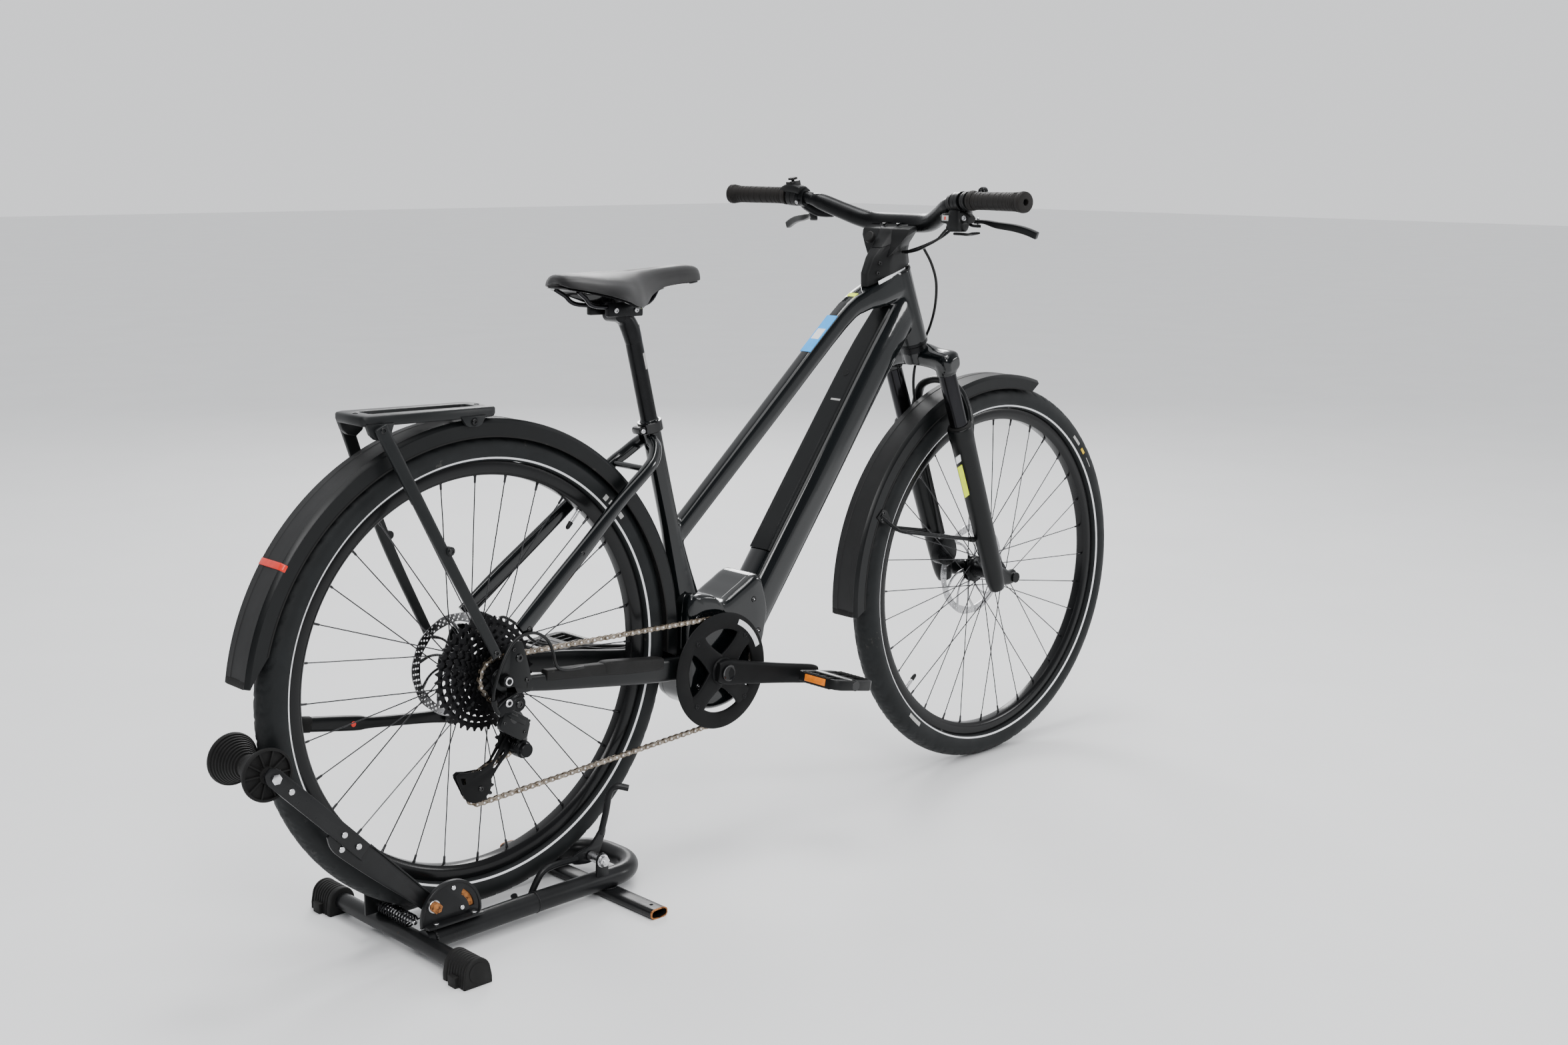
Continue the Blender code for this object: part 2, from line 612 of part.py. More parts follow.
piece("frame_seatstays", seatstays(), "gloss_black")
piece("frame_chainstay_right", chainstay(-1), "gloss_black")
piece("frame_chainstay_left", chainstay(1), "gloss_black")


# ---- Seat ----
def seat_clamp():
    ring = turned([(0.0158, 0.410), (0.0198, 0.410), (0.0198, 0.427), (0.0158, 0.427)], 20,
                  BB, SEAT_AXIS, ACROSS)
    lug = tube([seat(0.4185, -0.018, -0.011), seat(0.4185, -0.018, 0.011)], (0.0065, 0.0065),
               SEAT_AXIS, 8, 4)
    lug.transform(Matrix.Translation(-0.0075 * Vector((SEAT_AXIS.z, 0, -SEAT_AXIS.x))))
    return union(ring, lug)


SADDLE_PIVOT = Vector((0.262, 0, 0.521))


def seatpost():
    post = rod(seat(0.300), seat(0.583), 0.0136, 16)
    neck = tube([seat(0.556), seat(0.582, -0.003), (0.281, 0, 0.514), SADDLE_PIVOT],
                [(0.0130, 0.0130), (0.0145, 0.0145), (0.0130, 0.0150), (0.0100, 0.0150)], sides=12)
    head = rod(SADDLE_PIVOT - ACROSS * 0.0165, SADDLE_PIVOT + ACROSS * 0.0165, 0.0120, 16)
    return union(post, neck, head)


def saddle_rails():
    """Rail wire and the cradle that holds it on the seatpost head."""
    x, z = SADDLE_PIVOT.x, SADDLE_PIVOT.z
    right = [(x - 0.093, -0.028, z + 0.0380), (x - 0.078, -0.025, z + 0.0290),
             (x - 0.052, -0.022, z + 0.0145), (x + 0.040, -0.022, z + 0.0155),
             (x + 0.070, -0.020, z + 0.0400), (x + 0.088, -0.011, z + 0.0470)]
    nose = (x + 0.093, 0.0, z + 0.0475)
    rails = cord(right + [nose] + [(a, -b, c) for a, b, c in reversed(right)], 0.0035, 8, 3)
    cheeks = [block((x - 0.034, min(s * 0.0172, s * 0.0275), z - 0.002),
                    (x + 0.034, max(s * 0.0172, s * 0.0275), z + 0.0205)) for s in (-1, 1)]
    bridge = block((x - 0.014, -0.024, z + 0.0140), (x + 0.014, 0.024, z + 0.0190))
    return union(rails, *cheeks, bridge)


def saddle():
    """Open-bottomed shell: each station is (x, half width, top, edge)."""
    stations = [(0.146, 0.016, 0.579, 0.5690), (0.153, 0.032, 0.583, 0.5650), (0.172, 0.050, 0.5845, 0.5610),
                (0.203, 0.067, 0.585, 0.5540), (0.234, 0.071, 0.586, 0.5450), (0.262, 0.063, 0.587, 0.5360),
                (0.285, 0.050, 0.588, 0.5390), (0.306, 0.038, 0.590, 0.5515), (0.331, 0.029, 0.592, 0.5610),
                (0.366, 0.024, 0.5945, 0.5665), (0.400, 0.021, 0.5955, 0.5690), (0.421, 0.016, 0.592, 0.5710),
                (0.430, 0.007, 0.585, 0.5740)]
    rings = []
    for x, half, top, edge in stations:
        wall, crown = min(0.004, half * 0.3), min(0.014, (top - edge) * 0.75)
        outer, inner = [], []
        for i in range(11):
            u = math.sin(math.pi * (i / 10 - 0.5))
            rise = (1 - abs(u) ** 2.6) ** 0.55
            outer.append(Vector((x, half * u, edge + (top - edge) * rise)))
            inner.append(Vector((x, (half - wall) * u, edge + (top - crown - edge) * rise)))
        rings.append(outer + inner[::-1])
    return loft(rings)


piece("seat_clamp", seat_clamp(), "gloss_black")
piece("seatpost", seatpost(), "matte_black", pivot=seat(0.42))
piece("saddle_rails", saddle_rails(), "anodised_black", pivot=SADDLE_PIVOT)
piece("saddle", saddle(), "saddle_cover", pivot=SADDLE_PIVOT)


# ---- Luggage rack, rear mudguard, kickstand ----
def guard(centre, radius, drop, half_width, start, end, steps):
    """Channel-section mudguard over an arc of the wheel."""
    inner = radius - 0.0025
    profile = [(-half_width, radius - drop), (-half_width, radius - 0.005), (-half_width + 0.006, radius),
               (half_width - 0.006, radius), (half_width, radius - 0.005), (half_width, radius - drop),
               (half_width - 0.0025, radius - drop), (half_width - 0.0025, inner - 0.004),
               (half_width - 0.007, inner), (-half_width + 0.007, inner),
               (-half_width + 0.0025, inner - 0.004), (-half_width + 0.0025, radius - drop)]
    rings = []
    for i in range(steps + 1):
        angle = math.radians(start + (end - start) * i / steps)
        out = Vector((math.cos(angle), 0, math.sin(angle)))
        rings.append([Vector(centre) + out * r + ACROSS * y for y, r in profile])
    return loft(rings)


def rack_tray():
    rear, front = -0.210, 0.018
    plan = [(rear, -0.030), (rear + 0.010, -0.040), (front - 0.012, -0.036), (front, -0.026),
            (front, 0.026), (front - 0.012, 0.036), (rear + 0.010, 0.040), (rear, 0.030)]
    window = [(rear + 0.026, -0.017), (front - 0.026, -0.015), (front - 0.026, 0.015),
              (rear + 0.026, 0.017)]
    tray = cut(slab(plan, 0.3835, 0.3985), slab(window, 0.37, 0.41))
    lugs = []
    for s in (-1, 1):
        y = sorted((s * 0.0315, s * 0.0415))
        lugs.append(prism([(-0.204, 0.387), (-0.160, 0.387), (-0.168, 0.368), (-0.176, 0.362),
                           (-0.190, 0.366)], *y))
        y = sorted((s * 0.0325, s * 0.0385))
        lugs.append(prism([(-0.048, 0.387), (-0.004, 0.387), (-0.014, 0.3715), (-0.034, 0.3715)], *y))
    return union(tray, *lugs)


def rack_strut(side):
    path = [(-0.187, side * 0.0470, 0.3840), (-0.178, side * 0.0500, 0.3640),
            (-0.107, side * 0.0760, 0.2060), (-0.030, side * 0.0870, 0.0560), (-0.023, side * 0.0870, 0.0420)]
    bar = tube(path, [(0.0085, 0.0040)] * 5, sides=8, power=4)
    eye = rod((-0.097, side * 0.0735, 0.2050), (-0.097, side * 0.0835, 0.2050), 0.0075, 10)
    return union(bar, eye)


GUARD_CENTRE = (-0.008, 0, -0.004)
piece("rear_mudguard", guard(GUARD_CENTRE, 0.385, 0.027, 0.031, -4, 173, 28), "matte_black")
piece("rack_tray", rack_tray(), "matte_black")
piece("rack_strut_right", rack_strut(-1), "matte_black")
piece("rack_strut_left", rack_strut(1), "matte_black")


def kickstand():
    path = [(0.022, 0.0895, -0.093), (0.010, 0.0895, -0.0905), (-0.030, 0.090, -0.087),
            (-0.120, 0.093, -0.0785), (-0.150, 0.095, -0.0745), (-0.236, 0.098, -0.0620)]
    halves = [(0.0075, 0.0045), (0.0115, 0.0060), (0.0090, 0.0060), (0.0085, 0.0060),
              (0.0115, 0.0075), (0.0110, 0.0075)]
    leg = tube(path, halves, sides=10, power=3)
    hole = rod((0.010, 0.07, -0.090), (0.010, 0.11, -0.090), 0.0046, 10)
    return cut(leg, hole)


piece("kickstand", kickstand(), "matte_black", pivot=(0.010, 0.0895, -0.090))


def caliper(outline, low, high, axle, rotor_y, rotor_radius):
    """Brake body slotted for its rotor."""
    slot = rod(axle + ACROSS * (rotor_y - 0.0022), axle + ACROSS * (rotor_y + 0.0022),
               rotor_radius + 0.0012, 48)
    return cut(prism(outline, low, high), slot)


piece("rear_caliper", caliper([(0.030, 0.040), (0.062, 0.018), (0.082, 0.030), (0.080, 0.050),
                               (0.048, 0.074), (0.034, 0.066)], 0.0375, 0.0610, Vector(), 0.049, 0.080),
      "anodised_black")


# ---- Drive ----
def belt_path(wheels):
    """Closed path of (x, z) points round wheels given as (centre, radius, turn); turn 1 is clockwise."""
    spans = []
    for (c1, r1, t1), (c2, r2, t2) in zip(wheels, wheels[1:] + wheels[:1]):
        gap = Vector(c2) - Vector(c1)
        direction = math.atan2(gap.y, gap.x)
        offset = math.asin((t2 * r2 - t1 * r1) / gap.length)
        normal = direction + math.pi / 2 + offset
        unit = Vector((math.cos(normal), math.sin(normal)))
        spans.append((Vector(c1) + unit * r1 * t1, Vector(c2) + unit * r2 * t2))
    points = []
    for i, (centre, radius, turn) in enumerate(wheels):
        start, end = spans[i - 1][1], spans[i][0]
        a = math.atan2(start.y - centre[1], start.x - centre[0])
        b = math.atan2(end.y - centre[1], end.x - centre[0])
        sweep = (a - b) % (2 * math.pi) if turn > 0 else -((b - a) % (2 * math.pi))
        steps = max(2, round(abs(sweep) / math.radians(15 if radius < 0.05 else 8)))
        for k in range(steps + 1):
            angle = a - sweep * k / steps
            points.append((centre[0] + radius * math.cos(angle), centre[1] + radius * math.sin(angle)))
    return points


CHAIN_WHEELS = [((0.0, 0.0), pitch_radius(COG_TEETH), 1),
                (BOTTOM_BRACKET, pitch_radius(RING_TEETH), 1),
                (LOWER_JOCKEY, pitch_radius(LOWER_JOCKEY_TEETH), 1),
                (UPPER_JOCKEY, pitch_radius(UPPER_JOCKEY_TEETH), -1)]


def chain():
    path = [(x, CHAIN_Y, z) for x, z in belt_path(CHAIN_WHEELS)]
    return square_bar(path, CHAIN_HALF_HEIGHT, CHAIN_HALF_WIDTH, looped=True)


def root_radius(teeth):
    return pitch_radius(teeth) - CHAIN_HALF_HEIGHT - 2 * GAP


def cassette():
    """Stepped stack of sprockets on the freewheel body."""
    profile = [(0.0068, -0.0640), (0.0150, -0.0640)]
    edge = -0.0640
    for i, teeth in enumerate(COG_SIZES):
        place = -0.0620 + COG_PITCH * i
        radius = root_radius(teeth) if teeth <= COG_TEETH else pitch_radius(teeth) + 0.003
        profile.append((radius, edge))
        edge = place + COG_PITCH - 0.0009
        profile.append((radius, edge))
    profile.append((0.0068, edge))
    return turned(profile, 20)


def jockey(centre, teeth):
    return turned([(0.0028, CHAIN_Y - 0.0011), (root_radius(teeth), CHAIN_Y - 0.0011),
                   (root_radius(teeth), CHAIN_Y + 0.0011), (0.0028, CHAIN_Y + 0.0011)], 16,
                  (centre[0], 0, centre[1]))


def cage():
    """Two plates joined by the jockey bolts and the pivot boss."""
    (ux, uz), (lx, lz) = UPPER_JOCKEY, LOWER_JOCKEY
    lean = math.degrees(math.atan2(uz - lz, ux - lx))
    outline = arc((ux, uz), 0.0120, lean - 90, lean + 90, 5) + arc((lx, lz), 0.0150, lean + 90, lean + 270, 6)
    outer = prism(outline, CHAIN_Y - 0.0056, CHAIN_Y - 0.0040)
    inner = prism(outline, CHAIN_Y + 0.0040, CHAIN_Y + 0.0052)
    bolts = [rod((x, CHAIN_Y - 0.0065, z), (x, CHAIN_Y + 0.0060, z), 0.0024, 8)
             for x, z in (UPPER_JOCKEY, LOWER_JOCKEY)]
    px, pz = CAGE_PIVOT
    boss = rod((px, CHAIN_Y - 0.0100, pz), (px, CHAIN_Y - 0.0045, pz), 0.0090, 12)
    return union(outer, inner, *bolts, boss)


def derailleur():
    """Hanger knuckle, linkage body and cage knuckle."""
    px, pz = CAGE_PIVOT
    knuckle = rod((px, -0.0925, pz), (px, CHAIN_Y - 0.0104, pz), 0.0140, 14)
    linkage = loft([section_ring(Vector(c), Vector((1, 0, 0)), ACROSS, a, b, 8, 4)
                    for c, a, b in (((0.034, -0.081, -0.104), 0.014, 0.0105),
                                    ((0.036, -0.084, -0.080), 0.019, 0.0120),
                                    ((0.028, -0.084, -0.052), 0.013, 0.0090))])
    pivot = rod((0.016, -0.0935, -0.036), (0.016, -0.0750, -0.036), 0.0090, 12)
    link = prism([(0.008, -0.036), (0.020, -0.028), (0.042, -0.055), (0.036, -0.074), (0.016, -0.066)],
                 -0.0895, -0.0785)
    return union(knuckle, linkage, link, pivot)


piece("chain", chain(), "chain_steel")
piece("cassette", cassette(), "anodised_black")
piece("jockey_upper", jockey(UPPER_JOCKEY, UPPER_JOCKEY_TEETH), "matte_black",
      pivot=(UPPER_JOCKEY[0], 0, UPPER_JOCKEY[1]))
piece("jockey_lower", jockey(LOWER_JOCKEY, LOWER_JOCKEY_TEETH), "matte_black",
      pivot=(LOWER_JOCKEY[0], 0, LOWER_JOCKEY[1]))
piece("derailleur_cage", cage(), "anodised_black", pivot=(CAGE_PIVOT[0], 0, CAGE_PIVOT[1]))
piece("derailleur", derailleur(), "anodised_black")

PEDAL_RIGHT = BB + CRANK_TURN * CRANK_LENGTH
PEDAL_LEFT = BB - CRANK_TURN * CRANK_LENGTH


def crank_arm(side):
    end = CRANK_TURN * (-side)
    y = side
    path = [BB - end * 0.018 + ACROSS * y * 0.0700, BB + end * 0.005 + ACROSS * y * 0.0710,
            BB + end * 0.050 + ACROSS * y * 0.0770, BB + end * 0.120 + ACROSS * y * 0.0860,
            BB + end * (CRANK_LENGTH + 0.005) + ACROSS * y * 0.0930,
            BB + end * (CRANK_LENGTH + 0.014) + ACROSS * y * 0.0935]
    halves = [(0.012, 0.0070), (0.0185, 0.0085), (0.0165, 0.0080), (0.0140, 0.0070), (0.0135, 0.0070),
              (0.008, 0.0065)]
    arm = tube(path, halves, sides=10, power=3)
    pedal = BB + end * CRANK_LENGTH
    spindle = rod(pedal + ACROSS * y * 0.090, pedal + ACROSS * y * 0.196, 0.0045, 10)
    stub = rod(BB + ACROSS * y * 0.0434, BB + ACROSS * y * 0.070, 0.0130, 16)
    return union(arm, spindle, stub)


def crank_right():
    """Crank arm with its spider, toothed ring and guard ring."""
    tooth_root = root_radius(RING_TEETH)
    ring = turned([(0.064, -0.0532), (tooth_root, -0.0532), (tooth_root, -0.0586), (0.0965, -0.0586),
                   (0.0965, -0.0606), (0.064, -0.0606)], 40, BB)
    centre = rod(BB - ACROSS * 0.0530, BB - ACROSS * 0.0680, 0.0230, 20)
    arms = []
    for i in range(4):
        angle = math.radians(45 + 90 * i)
        out = Vector((math.cos(angle), 0, math.sin(angle)))
        arms.append(tube([BB + out * 0.012 - ACROSS * 0.0575, BB + out * 0.070 - ACROSS * 0.0575],
                         (0.0085, 0.0024), ACROSS, 8, 4))
    return union(crank_arm(-1), centre, *arms, ring)


def pedal(centre, side, tilt):
    """Platform with two windows round its axle tube."""
    half_x, half_z = 0.0475, 0.0095
    inner, outer = 0.1060, 0.2010
    plan = [(-half_x + 0.012, inner), (half_x - 0.012, inner), (half_x, inner + 0.012),
            (half_x, outer - 0.014), (half_x - 0.012, outer), (-half_x + 0.012, outer),
            (-half_x, outer - 0.014), (-half_x, inner + 0.012)]
    body = slab(plan, -half_z, half_z)
    windows = [block((min(s * 0.013, s * 0.036), inner + 0.012, -0.02),
                     (max(s * 0.013, s * 0.036), outer - 0.014, 0.02)) for s in (-1, 1)]
    bore = rod((0, inner - 0.01, 0), (0, outer - 0.004, 0), 0.0050, 10)
    body = cut(body, *windows, bore)
    body.transform(Matrix.Rotation(tilt, 4, "Y"))
    if side < 0:
        body = mirrored(body)
    body.transform(Matrix.Translation(centre))
    return body


piece("crank_right", crank_right(), "anodised_black", pivot=BB)
piece("crank_left", crank_arm(1), "anodised_black", pivot=BB)
piece("pedal_right", pedal(PEDAL_RIGHT, -1, math.radians(10)), "matte_black", pivot=PEDAL_RIGHT)
piece("pedal_left", pedal(PEDAL_LEFT, 1, math.radians(-4)), "matte_black", pivot=PEDAL_LEFT)


# ---- Fork ----
def fork_crown():
    """Crown with its steerer and the two stanchions."""
    steerer = rod(steer(0.470), steer(FRAME_HEAD_TOP), 0.0145, 20)
    race = rod(steer(0.478), steer(FRAME_HEAD_LOW - GAP), 0.0235, 20)
    path = [steer(0.466, 0.004, -0.0860), steer(0.468, 0.004, -0.0740), steer(0.474, 0.006, -0.040),
            steer(0.479, 0.007, 0.0), steer(0.474, 0.006, 0.040), steer(0.468, 0.004, 0.0740),
            steer(0.466, 0.004, 0.0860)]
    halves = [(0.012, 0.014), (0.020, 0.022), (0.016, 0.021), (0.018, 0.024), (0.016, 0.021),
              (0.020, 0.022), (0.012, 0.014)]
    crown = tube(path, halves, STEER_FORWARD, 12, 3)
    legs = [rod(steer(0.220, 0, s * LEG_Y), steer(0.465, 0, s * LEG_Y), STANCHION_RADIUS, 16)
            for s in (-1, 1)]
    return union(crown, race, steerer, *legs)


def fork_lowers():
    """Two lower legs with the arch, the thru-axle and the dropouts."""
    parts = []
    for s in (-1, 1):
        path = [steer(0.345, 0, s * LEG_Y), steer(0.325, 0, s * LEG_Y), steer(0.300, 0, s * LEG_Y),
                steer(0.120, 0, s * LEG_Y), steer(0.020, 0, s * LEG_Y), steer(-0.002, 0, s * LEG_Y)]
        halves = [(0.0205, 0.0205), (0.0215, 0.0210), (0.0195, 0.0192), (0.0185, 0.0182),
                  (0.0180, 0.0165), (0.0120, 0.0120)]
        leg = tube(path, halves, sides=16)
        bore = rod(steer(0.150, 0, s * LEG_Y), steer(0.360, 0, s * LEG_Y), STANCHION_RADIUS + 0.0006, 16)
        drop = tube([steer(0.030, 0.004, s * 0.0625), steer(0.006, 0.034, s * 0.0625),
                     steer(0.0, FORK_OFFSET + 0.006, s * 0.0625)],
                    [(0.016, 0.0090), (0.014, 0.0090), (0.0125, 0.0090)], sides=10, power=3)
        parts.append(cut(union(leg, drop), bore))
    arch = tube([steer(0.330, 0.022, -0.066), steer(0.365, 0.034, -0.060), steer(0.398, 0.040, -0.043),
                 steer(0.412, 0.042, 0.0), steer(0.398, 0.040, 0.043), steer(0.365, 0.034, 0.060),
                 steer(0.330, 0.022, 0.066)],
                [(0.010, 0.0085), (0.0085, 0.0075), (0.0075, 0.0075), (0.0065, 0.0080), (0.0075, 0.0075),
                 (0.0085, 0.0075), (0.010, 0.0085)], STEER_FORWARD, 10, 3)
    bores = [rod(steer(0.150, 0, s * LEG_Y), steer(0.360, 0, s * LEG_Y), STANCHION_RADIUS + 0.0006, 16)
             for s in (-1, 1)]
    axle = rod(FRONT_AXLE - ACROSS * 0.074, FRONT_AXLE + ACROSS * 0.074, 0.0060, 12)
    return cut(union(parts[0], arch, parts[1], axle), *bores)


FRONT_GUARD = FRONT_AXLE + Vector((-0.014, 0, 0))


def front_mudguard():
    cover = guard(FRONT_GUARD, 0.382, 0.026, 0.031, 73, 184.5, 20)
    stays = []
    for s in (-1, 1):
        stays.append(cord([(0.822, s * 0.0300, 0.152), (0.850, s * 0.0345, 0.139), (0.885, s * 0.0420, 0.119),
                           (0.930, s * 0.0470, 0.1095), (1.066, s * 0.0550, 0.0845)], 0.0030, 8, 2))
    return union(cover, *stays)


piece("fork_crown", fork_crown(), "anodised_black", pivot=steer(0.5))
piece("fork_lowers", fork_lowers(), "matte_black", pivot=steer(0.3))
piece("front_mudguard", front_mudguard(), "matte_black", pivot=FRONT_AXLE)
piece("front_caliper", caliper([(1.074, 0.030), (1.104, 0.018), (1.124, 0.034), (1.122, 0.058),
                                (1.104, 0.076), (1.080, 0.062)], 0.0268, 0.0450, FRONT_AXLE,
                               0.0365, 0.090), "anodised_black", pivot=FRONT_AXLE)


# ---- Cockpit ----
def bar_point(side, place):
    """Middle of the handlebar at a distance from its centre."""
    shape = [(0.0, BAR_CENTRE[0], BAR_CENTRE[1]), (0.055, 0.904, 0.6625), (0.085, 0.896, 0.6675),
             (0.115, 0.880, 0.6790), (0.145, 0.862, 0.6925), (0.175, 0.849, 0.7010),
             (0.215, 0.840, 0.7040), (BAR_HALF_WIDTH, 0.820, 0.7040)]
    for (y1, x1, z1), (y2, x2, z2) in zip(shape, shape[1:]):
        if place <= y2:
            t = (place - y1) / (y2 - y1)
            return Vector((x1 + (x2 - x1) * t, side * place, z1 + (z2 - z1) * t))
    return Vector((shape[-1][1], side * place, shape[-1][2]))


def bar_radius(place):
    return 0.0159 if place < 0.05 else max(0.0111, 0.0159 - (place - 0.05) * 0.040)


def handlebar(grow=0.0):
    places = (BAR_HALF_WIDTH + grow, 0.215, 0.175, 0.145, 0.115, 0.085, 0.055, 0.0)
    path = [bar_point(-1, p) for p in places] + [bar_point(1, p) for p in reversed(places[:-1])]
    radii = [bar_radius(p) for p in places] + [bar_radius(p) for p in reversed(places[:-1])]
    return tube(path, [(r, r) for r in radii], Vector((0, 0, 1)), 14, 2.0, grow)


def stem():
    """Tall faceted stem tower with the handlebar clamp at its top."""
    stations = [(0.6475 + GAP, -0.085, 0.028, 0.0225), (0.672, -0.078, 0.030, 0.0235),
                (0.697, -0.054, 0.044, 0.0255), (0.712, -0.026, 0.058, 0.0340),
                (0.729, -0.004, 0.061, 0.0360), (0.739, 0.012, 0.054, 0.0330)]
    rings = []
    for along, rear, front, half in stations:
        depth = front - rear
        outline = [(front, 0.45), (front - 0.18 * depth, 0.9), (front - 0.55 * depth, 1.0),
                   (rear + 0.10 * depth, 0.55), (rear, 0.30)]
        left = [steer(along, f, w * half) for f, w in outline]
        right = [steer(along, f, -w * half) for f, w in reversed(outline)]
        rings.append(left + right)
    return cut(loft(rings), handlebar(GAP))


def grip(side):
    halves = [(0.0165, 0.0165), (0.0150, 0.0150), (0.0152, 0.0152), (0.0172, 0.0172), (0.0150, 0.0150)]
    places = (0.217, 0.228, 0.320, 0.338, 0.3475)
    path = [bar_point(side, 0.217) + (bar_point(side, BAR_HALF_WIDTH) - bar_point(side, 0.217))
            * ((p - 0.217) / (BAR_HALF_WIDTH - 0.217)) for p in places]
    return cut(tube(path, halves, Vector((0, 0, 1)), 14), handlebar(GAP))


def clamp_ring(side, place, width, radius=0.0165):
    return rod(bar_point(side, place), bar_point(side, place + width), radius, 14)


def lever_pivot(side):
    return Vector((0.884, side * 0.196, 0.6690))


SHIFT_PIVOT = Vector((0.850, -0.182, 0.6485))
REMOTE_TOP = Vector((0.8375, 0.2030, 0.7300))
REMOTE_PRESS = Vector((-0.20, 0, 0.98)).normalized()


def brake_clamp(side):
    """Bar clamp, master cylinder and the lug under it for the lever's pin."""
    ring = clamp_ring(side, 0.178, 0.018)
    cylinder = tube([(0.853, side * 0.189, 0.6930), (0.874, side * 0.178, 0.6780),
                     (0.890, side * 0.150, 0.6740)],
                    [(0.0090, 0.0100), (0.0105, 0.0095), (0.0080, 0.0075)], Vector((0, 0, 1)), 10, 3)
    lug = tube([(0.866, side * 0.182, 0.6775), (0.874, side * 0.184, 0.6670),
                (0.878, side * 0.188, 0.6625), (0.888, side * 0.198, 0.6615)],
               [(0.0040, 0.0060), (0.0036, 0.0065), (0.0026, 0.0070), (0.0026, 0.0070)],
               Vector((-0.707, side * 0.707, 0)), 8, 4)
    return union(ring, cylinder, lug)


def control_right():
    """Brake clamp with the shifter's housing below it."""
    pod = tube([(0.8465, -0.1810, 0.6880), (0.8480, -0.1815, 0.6700), (0.8485, -0.1820, 0.6520)],
               [(0.0105, 0.0130), (0.0150, 0.0170), (0.0110, 0.0140)], ACROSS, 10, 3.5)
    return cut(union(brake_clamp(-1), pod), handlebar(GAP))


def control_left():
    """Brake clamp with the remote's housing above it."""
    top = clamp_ring(1, 0.1935, 0.0190, 0.0172)
    remote = tube([REMOTE_TOP - REMOTE_PRESS * 0.016, REMOTE_TOP], (0.0120, 0.0105), ACROSS, 10, 3.5)
    return cut(union(brake_clamp(1), top, remote), handlebar(GAP))


def brake_lever(side):
    """Blade that turns on a pin through the control's lug."""
    pivot = lever_pivot(side)
    route = [(-0.004, -0.006, 0.0), (0.006, 0.010, 0.0), (0.010, 0.033, -0.0045),
             (0.020, 0.060, -0.0080), (0.028, 0.081, -0.0130), (0.034, 0.099, -0.0195)]
    halves = [(0.0034, 0.0060), (0.0034, 0.0070), (0.0046, 0.0060),
              (0.0050, 0.0055), (0.0050, 0.0055), (0.0044, 0.0050)]
    points = [pivot + Vector((x, side * y, z)) for x, y, z in route]
    return tube(points, halves, Vector((1, 0, 0)), 8, 3)


def shift_lever():
    """Thumb paddle below the right-hand pod."""
    return tube([(0.850, -0.1760, 0.6485), (0.850, -0.2050, 0.6480), (0.842, -0.2260, 0.6510)],
                [(0.0024, 0.0070), (0.0024, 0.0070), (0.0022, 0.0095)], Vector((1, 0, 0)), 8, 3)


def remote_button():
    return tube([REMOTE_TOP + REMOTE_PRESS * 0.0024, REMOTE_TOP + REMOTE_PRESS * 0.0060],
                (0.0080, 0.0070), ACROSS, 10, 3)


piece("handlebar", handlebar(), "anodised_black", pivot=(BAR_CENTRE[0], 0, BAR_CENTRE[1]))
piece("stem", stem(), "matte_black", pivot=steer(0.65))
piece("grip_right", grip(-1), "rubber")
piece("grip_left", grip(1), "rubber")
piece("control_right", control_right(), "anodised_black")
piece("control_left", control_left(), "anodised_black")
piece("brake_lever_right", brake_lever(-1), "anodised_black", pivot=lever_pivot(-1))
piece("brake_lever_left", brake_lever(1), "anodised_black", pivot=lever_pivot(1))
piece("shift_lever", shift_lever(), "matte_black", pivot=SHIFT_PIVOT)
piece("remote_button", remote_button(), "matte_black", pivot=REMOTE_TOP)


# ---- Cables held by the bicycle ----
def cable(name, points, radius):
    """Round housing along a smooth route."""
    curve = bpy.data.curves.new(name, "CURVE")
    curve.dimensions = "3D"
    curve.bevel_depth = radius
    curve.bevel_resolution = 2
    curve.use_fill_caps = True
    line = curve.splines.new("POLY")
    route = smooth(points, 4)
    line.points.add(len(route) - 1)
    for target, point in zip(line.points, route):
        target.co = (*point, 1)
    curve.materials.append(finish("cord"))
    item = bpy.data.objects.new(name, curve)
    item.parent = BIKE
    bpy.context.scene.collection.objects.link(item)


# The front hose stops above its caliper, which rises by the fork's travel.
cable("front_brake_hose",
      [steer(0.672, 0.0360, -0.044), steer(0.640, 0.0440, -0.046), steer(0.600, 0.0510, -0.040),
       steer(0.555, 0.0490, -0.026), steer(0.515, 0.0440, -0.006), steer(0.478, 0.0380, 0.020),
       steer(0.440, 0.0240, 0.035), steer(0.400, 0.0110, 0.0385), steer(0.340, 0.0050, 0.0390),
       steer(0.220, 0.0020, 0.0400), steer(0.168, 0.0005, 0.0390)], 0.0025)
hose = cord([(0.8955, -0.1420, 0.6730), (0.9000, -0.1250, 0.6560), (0.8960, -0.1000, 0.6380),
             (0.8900, -0.0700, 0.6240), (0.8855, -0.0400, 0.6140), (0.8840, -0.0262, 0.6120)], 0.0025, 8)
housing = cord([(0.8440, -0.1620, 0.6560), (0.8480, -0.1400, 0.6400), (0.8600, -0.1050, 0.6270),
                (0.8720, -0.0700, 0.6150), (0.8825, -0.0400, 0.6115), (0.8850, -0.0300, 0.6118)], 0.0022, 8)
piece("control_cables", union(hose, housing), "cord")
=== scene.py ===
"""Looks of the bicycle on its roller stand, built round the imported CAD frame."""
import json
import math

import bmesh
import bpy
from mathutils import Matrix, Vector

